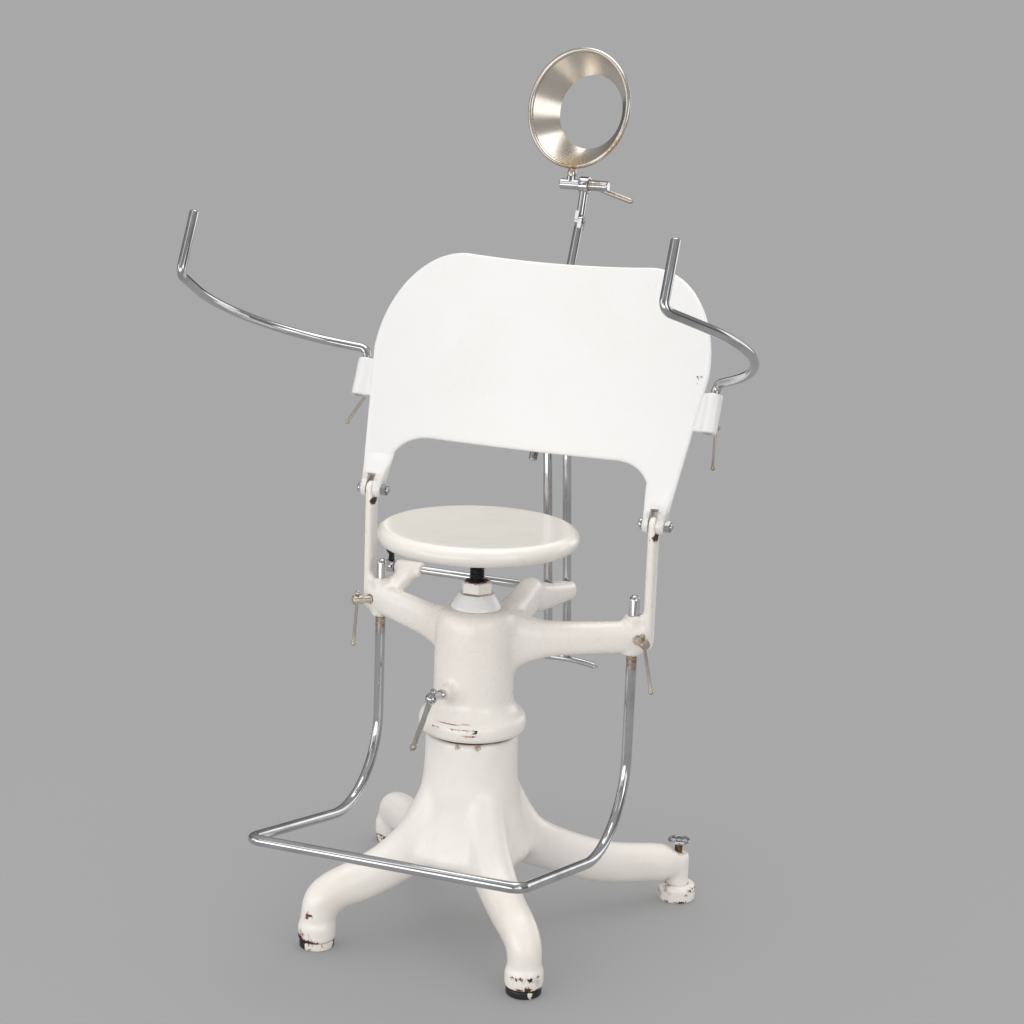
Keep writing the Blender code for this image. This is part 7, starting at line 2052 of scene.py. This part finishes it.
# The floor glows with the backdrop grey: about a third near the chair, which lightens the chair's shadow as
# painted light, and fully far off, where it becomes the backdrop.
floor_glow_shader = floor_paint.node("ShaderNodeEmission", inputs={"Color": STUDIO_GREY})
glow_share = away.step(FLOOR_NEAR, FLOOR_FAR) * (1 - FLOOR_GLOW) + FLOOR_GLOW
fade = floor_paint.node("ShaderNodeMixShader", inputs={0: glow_share, 1: lit, 2: floor_glow_shader})
floor_paint.put(floor_paint.tree.nodes["Material Output"].inputs["Surface"], fade)
floor.data.materials.append(floor_paint.material)


def soft_lamp(name, place, aim, width, height, power):
    """Rectangular lamp at a place, facing a point."""
    lamp = bpy.data.lights.new(name, "AREA")
    lamp.shape = "RECTANGLE"
    lamp.size = width
    lamp.size_y = height
    lamp.energy = power
    obj = bpy.data.objects.new(name, lamp)
    obj.location = place
    obj.rotation_mode = "QUATERNION"
    obj.rotation_quaternion = (Vector(aim) - Vector(place)).to_track_quat("-Z", "Y")
    bpy.context.scene.collection.objects.link(obj)


soft_lamp("streak_lamp", (-1.15, -2.0, 2.65), (0.0, 0.2, 0.88), 0.42, 1.7, 2.4)
soft_lamp("overhead_lamp", (0.0, 0.55, 3.2), (0.0, 0.1, 0.5), 2.2, 2.2, 28.0)
soft_lamp("right_lamp", (2.9, -1.3, 1.7), (0.0, 0.0, 0.7), 1.0, 1.8, 5.0)
soft_lamp("front_lamp", (-0.5, -3.3, 0.9), (0.0, 0.0, 0.5), 2.4, 1.6, 6.6)
soft_lamp("low_lamp", (-0.45, -2.6, 0.35), (0.0, 0.0, 0.4), 3.2, 1.2, 21.0)

AMBIENT_LOW = (1.15, 1.15, 1.15, 1.0)
AMBIENT_HIGH = (0.92, 0.92, 0.925, 1.0)
ROOM_DARK = (0.11, 0.11, 0.115, 1.0)
ROOM_PALE = (0.46, 0.46, 0.46, 1.0)
WINDOW = (1.35, 1.35, 1.36, 1.0)
WINDOW_WAYS = ((-0.820, -0.572, 0.05), (0.797, -0.603, 0.05), (0.516, 0.856, 0.05))
WINDOW_EDGE, WINDOW_CORE = 0.90, 0.95
world = bpy.data.worlds.new("studio")
bpy.context.scene.world = world
world.use_nodes = True
sky = world.node_tree
sky.nodes.clear()


def sky_mix(share, first, second):
    """Colour of the world between two colours."""
    inputs = {0: share, 6: first, 7: second}
    return grow(sky, "ShaderNodeMix", {"data_type": "RGBA"}, inputs).outputs[2]


rays = grow(sky, "ShaderNodeLightPath")
looking = grow(sky, "ShaderNodeTexCoord").outputs["Object"]
split = grow(sky, "ShaderNodeSeparateXYZ", {}, {0: looking})
height = grow(sky, "ShaderNodeMapRange", {}, {"Value": split.outputs[2], "From Min": 0.05, "From Max": 0.85})
ambient = sky_mix(height.outputs[0], AMBIENT_LOW, AMBIENT_HIGH)
room = sky_mix(height.outputs[0], ROOM_DARK, ROOM_PALE)
for way in WINDOW_WAYS:
    facing = grow(sky, "ShaderNodeVectorMath", {"operation": "DOT_PRODUCT"}, {0: looking, 1: way})
    window_range = {"Value": facing.outputs["Value"], "From Min": WINDOW_EDGE, "From Max": WINDOW_CORE}
    pane = grow(sky, "ShaderNodeMapRange", {}, window_range)
    room = sky_mix(pane.outputs[0], room, WINDOW)
mirrored = sky_mix(rays.outputs["Is Glossy Ray"], ambient, room)
is_seen = {0: rays.outputs["Is Camera Ray"], 1: rays.outputs["Is Transmission Ray"]}
seen = grow(sky, "ShaderNodeMath", {"operation": "MAXIMUM"}, is_seen)
shades = sky_mix(seen.outputs[0], mirrored, STUDIO_GREY)
glow = grow(sky, "ShaderNodeBackground", {}, {"Color": shades})
grow(sky, "ShaderNodeOutputWorld", {}, {"Surface": glow.outputs[0]})
bpy.context.scene.view_settings.view_transform = "Standard"
print("studio lit")
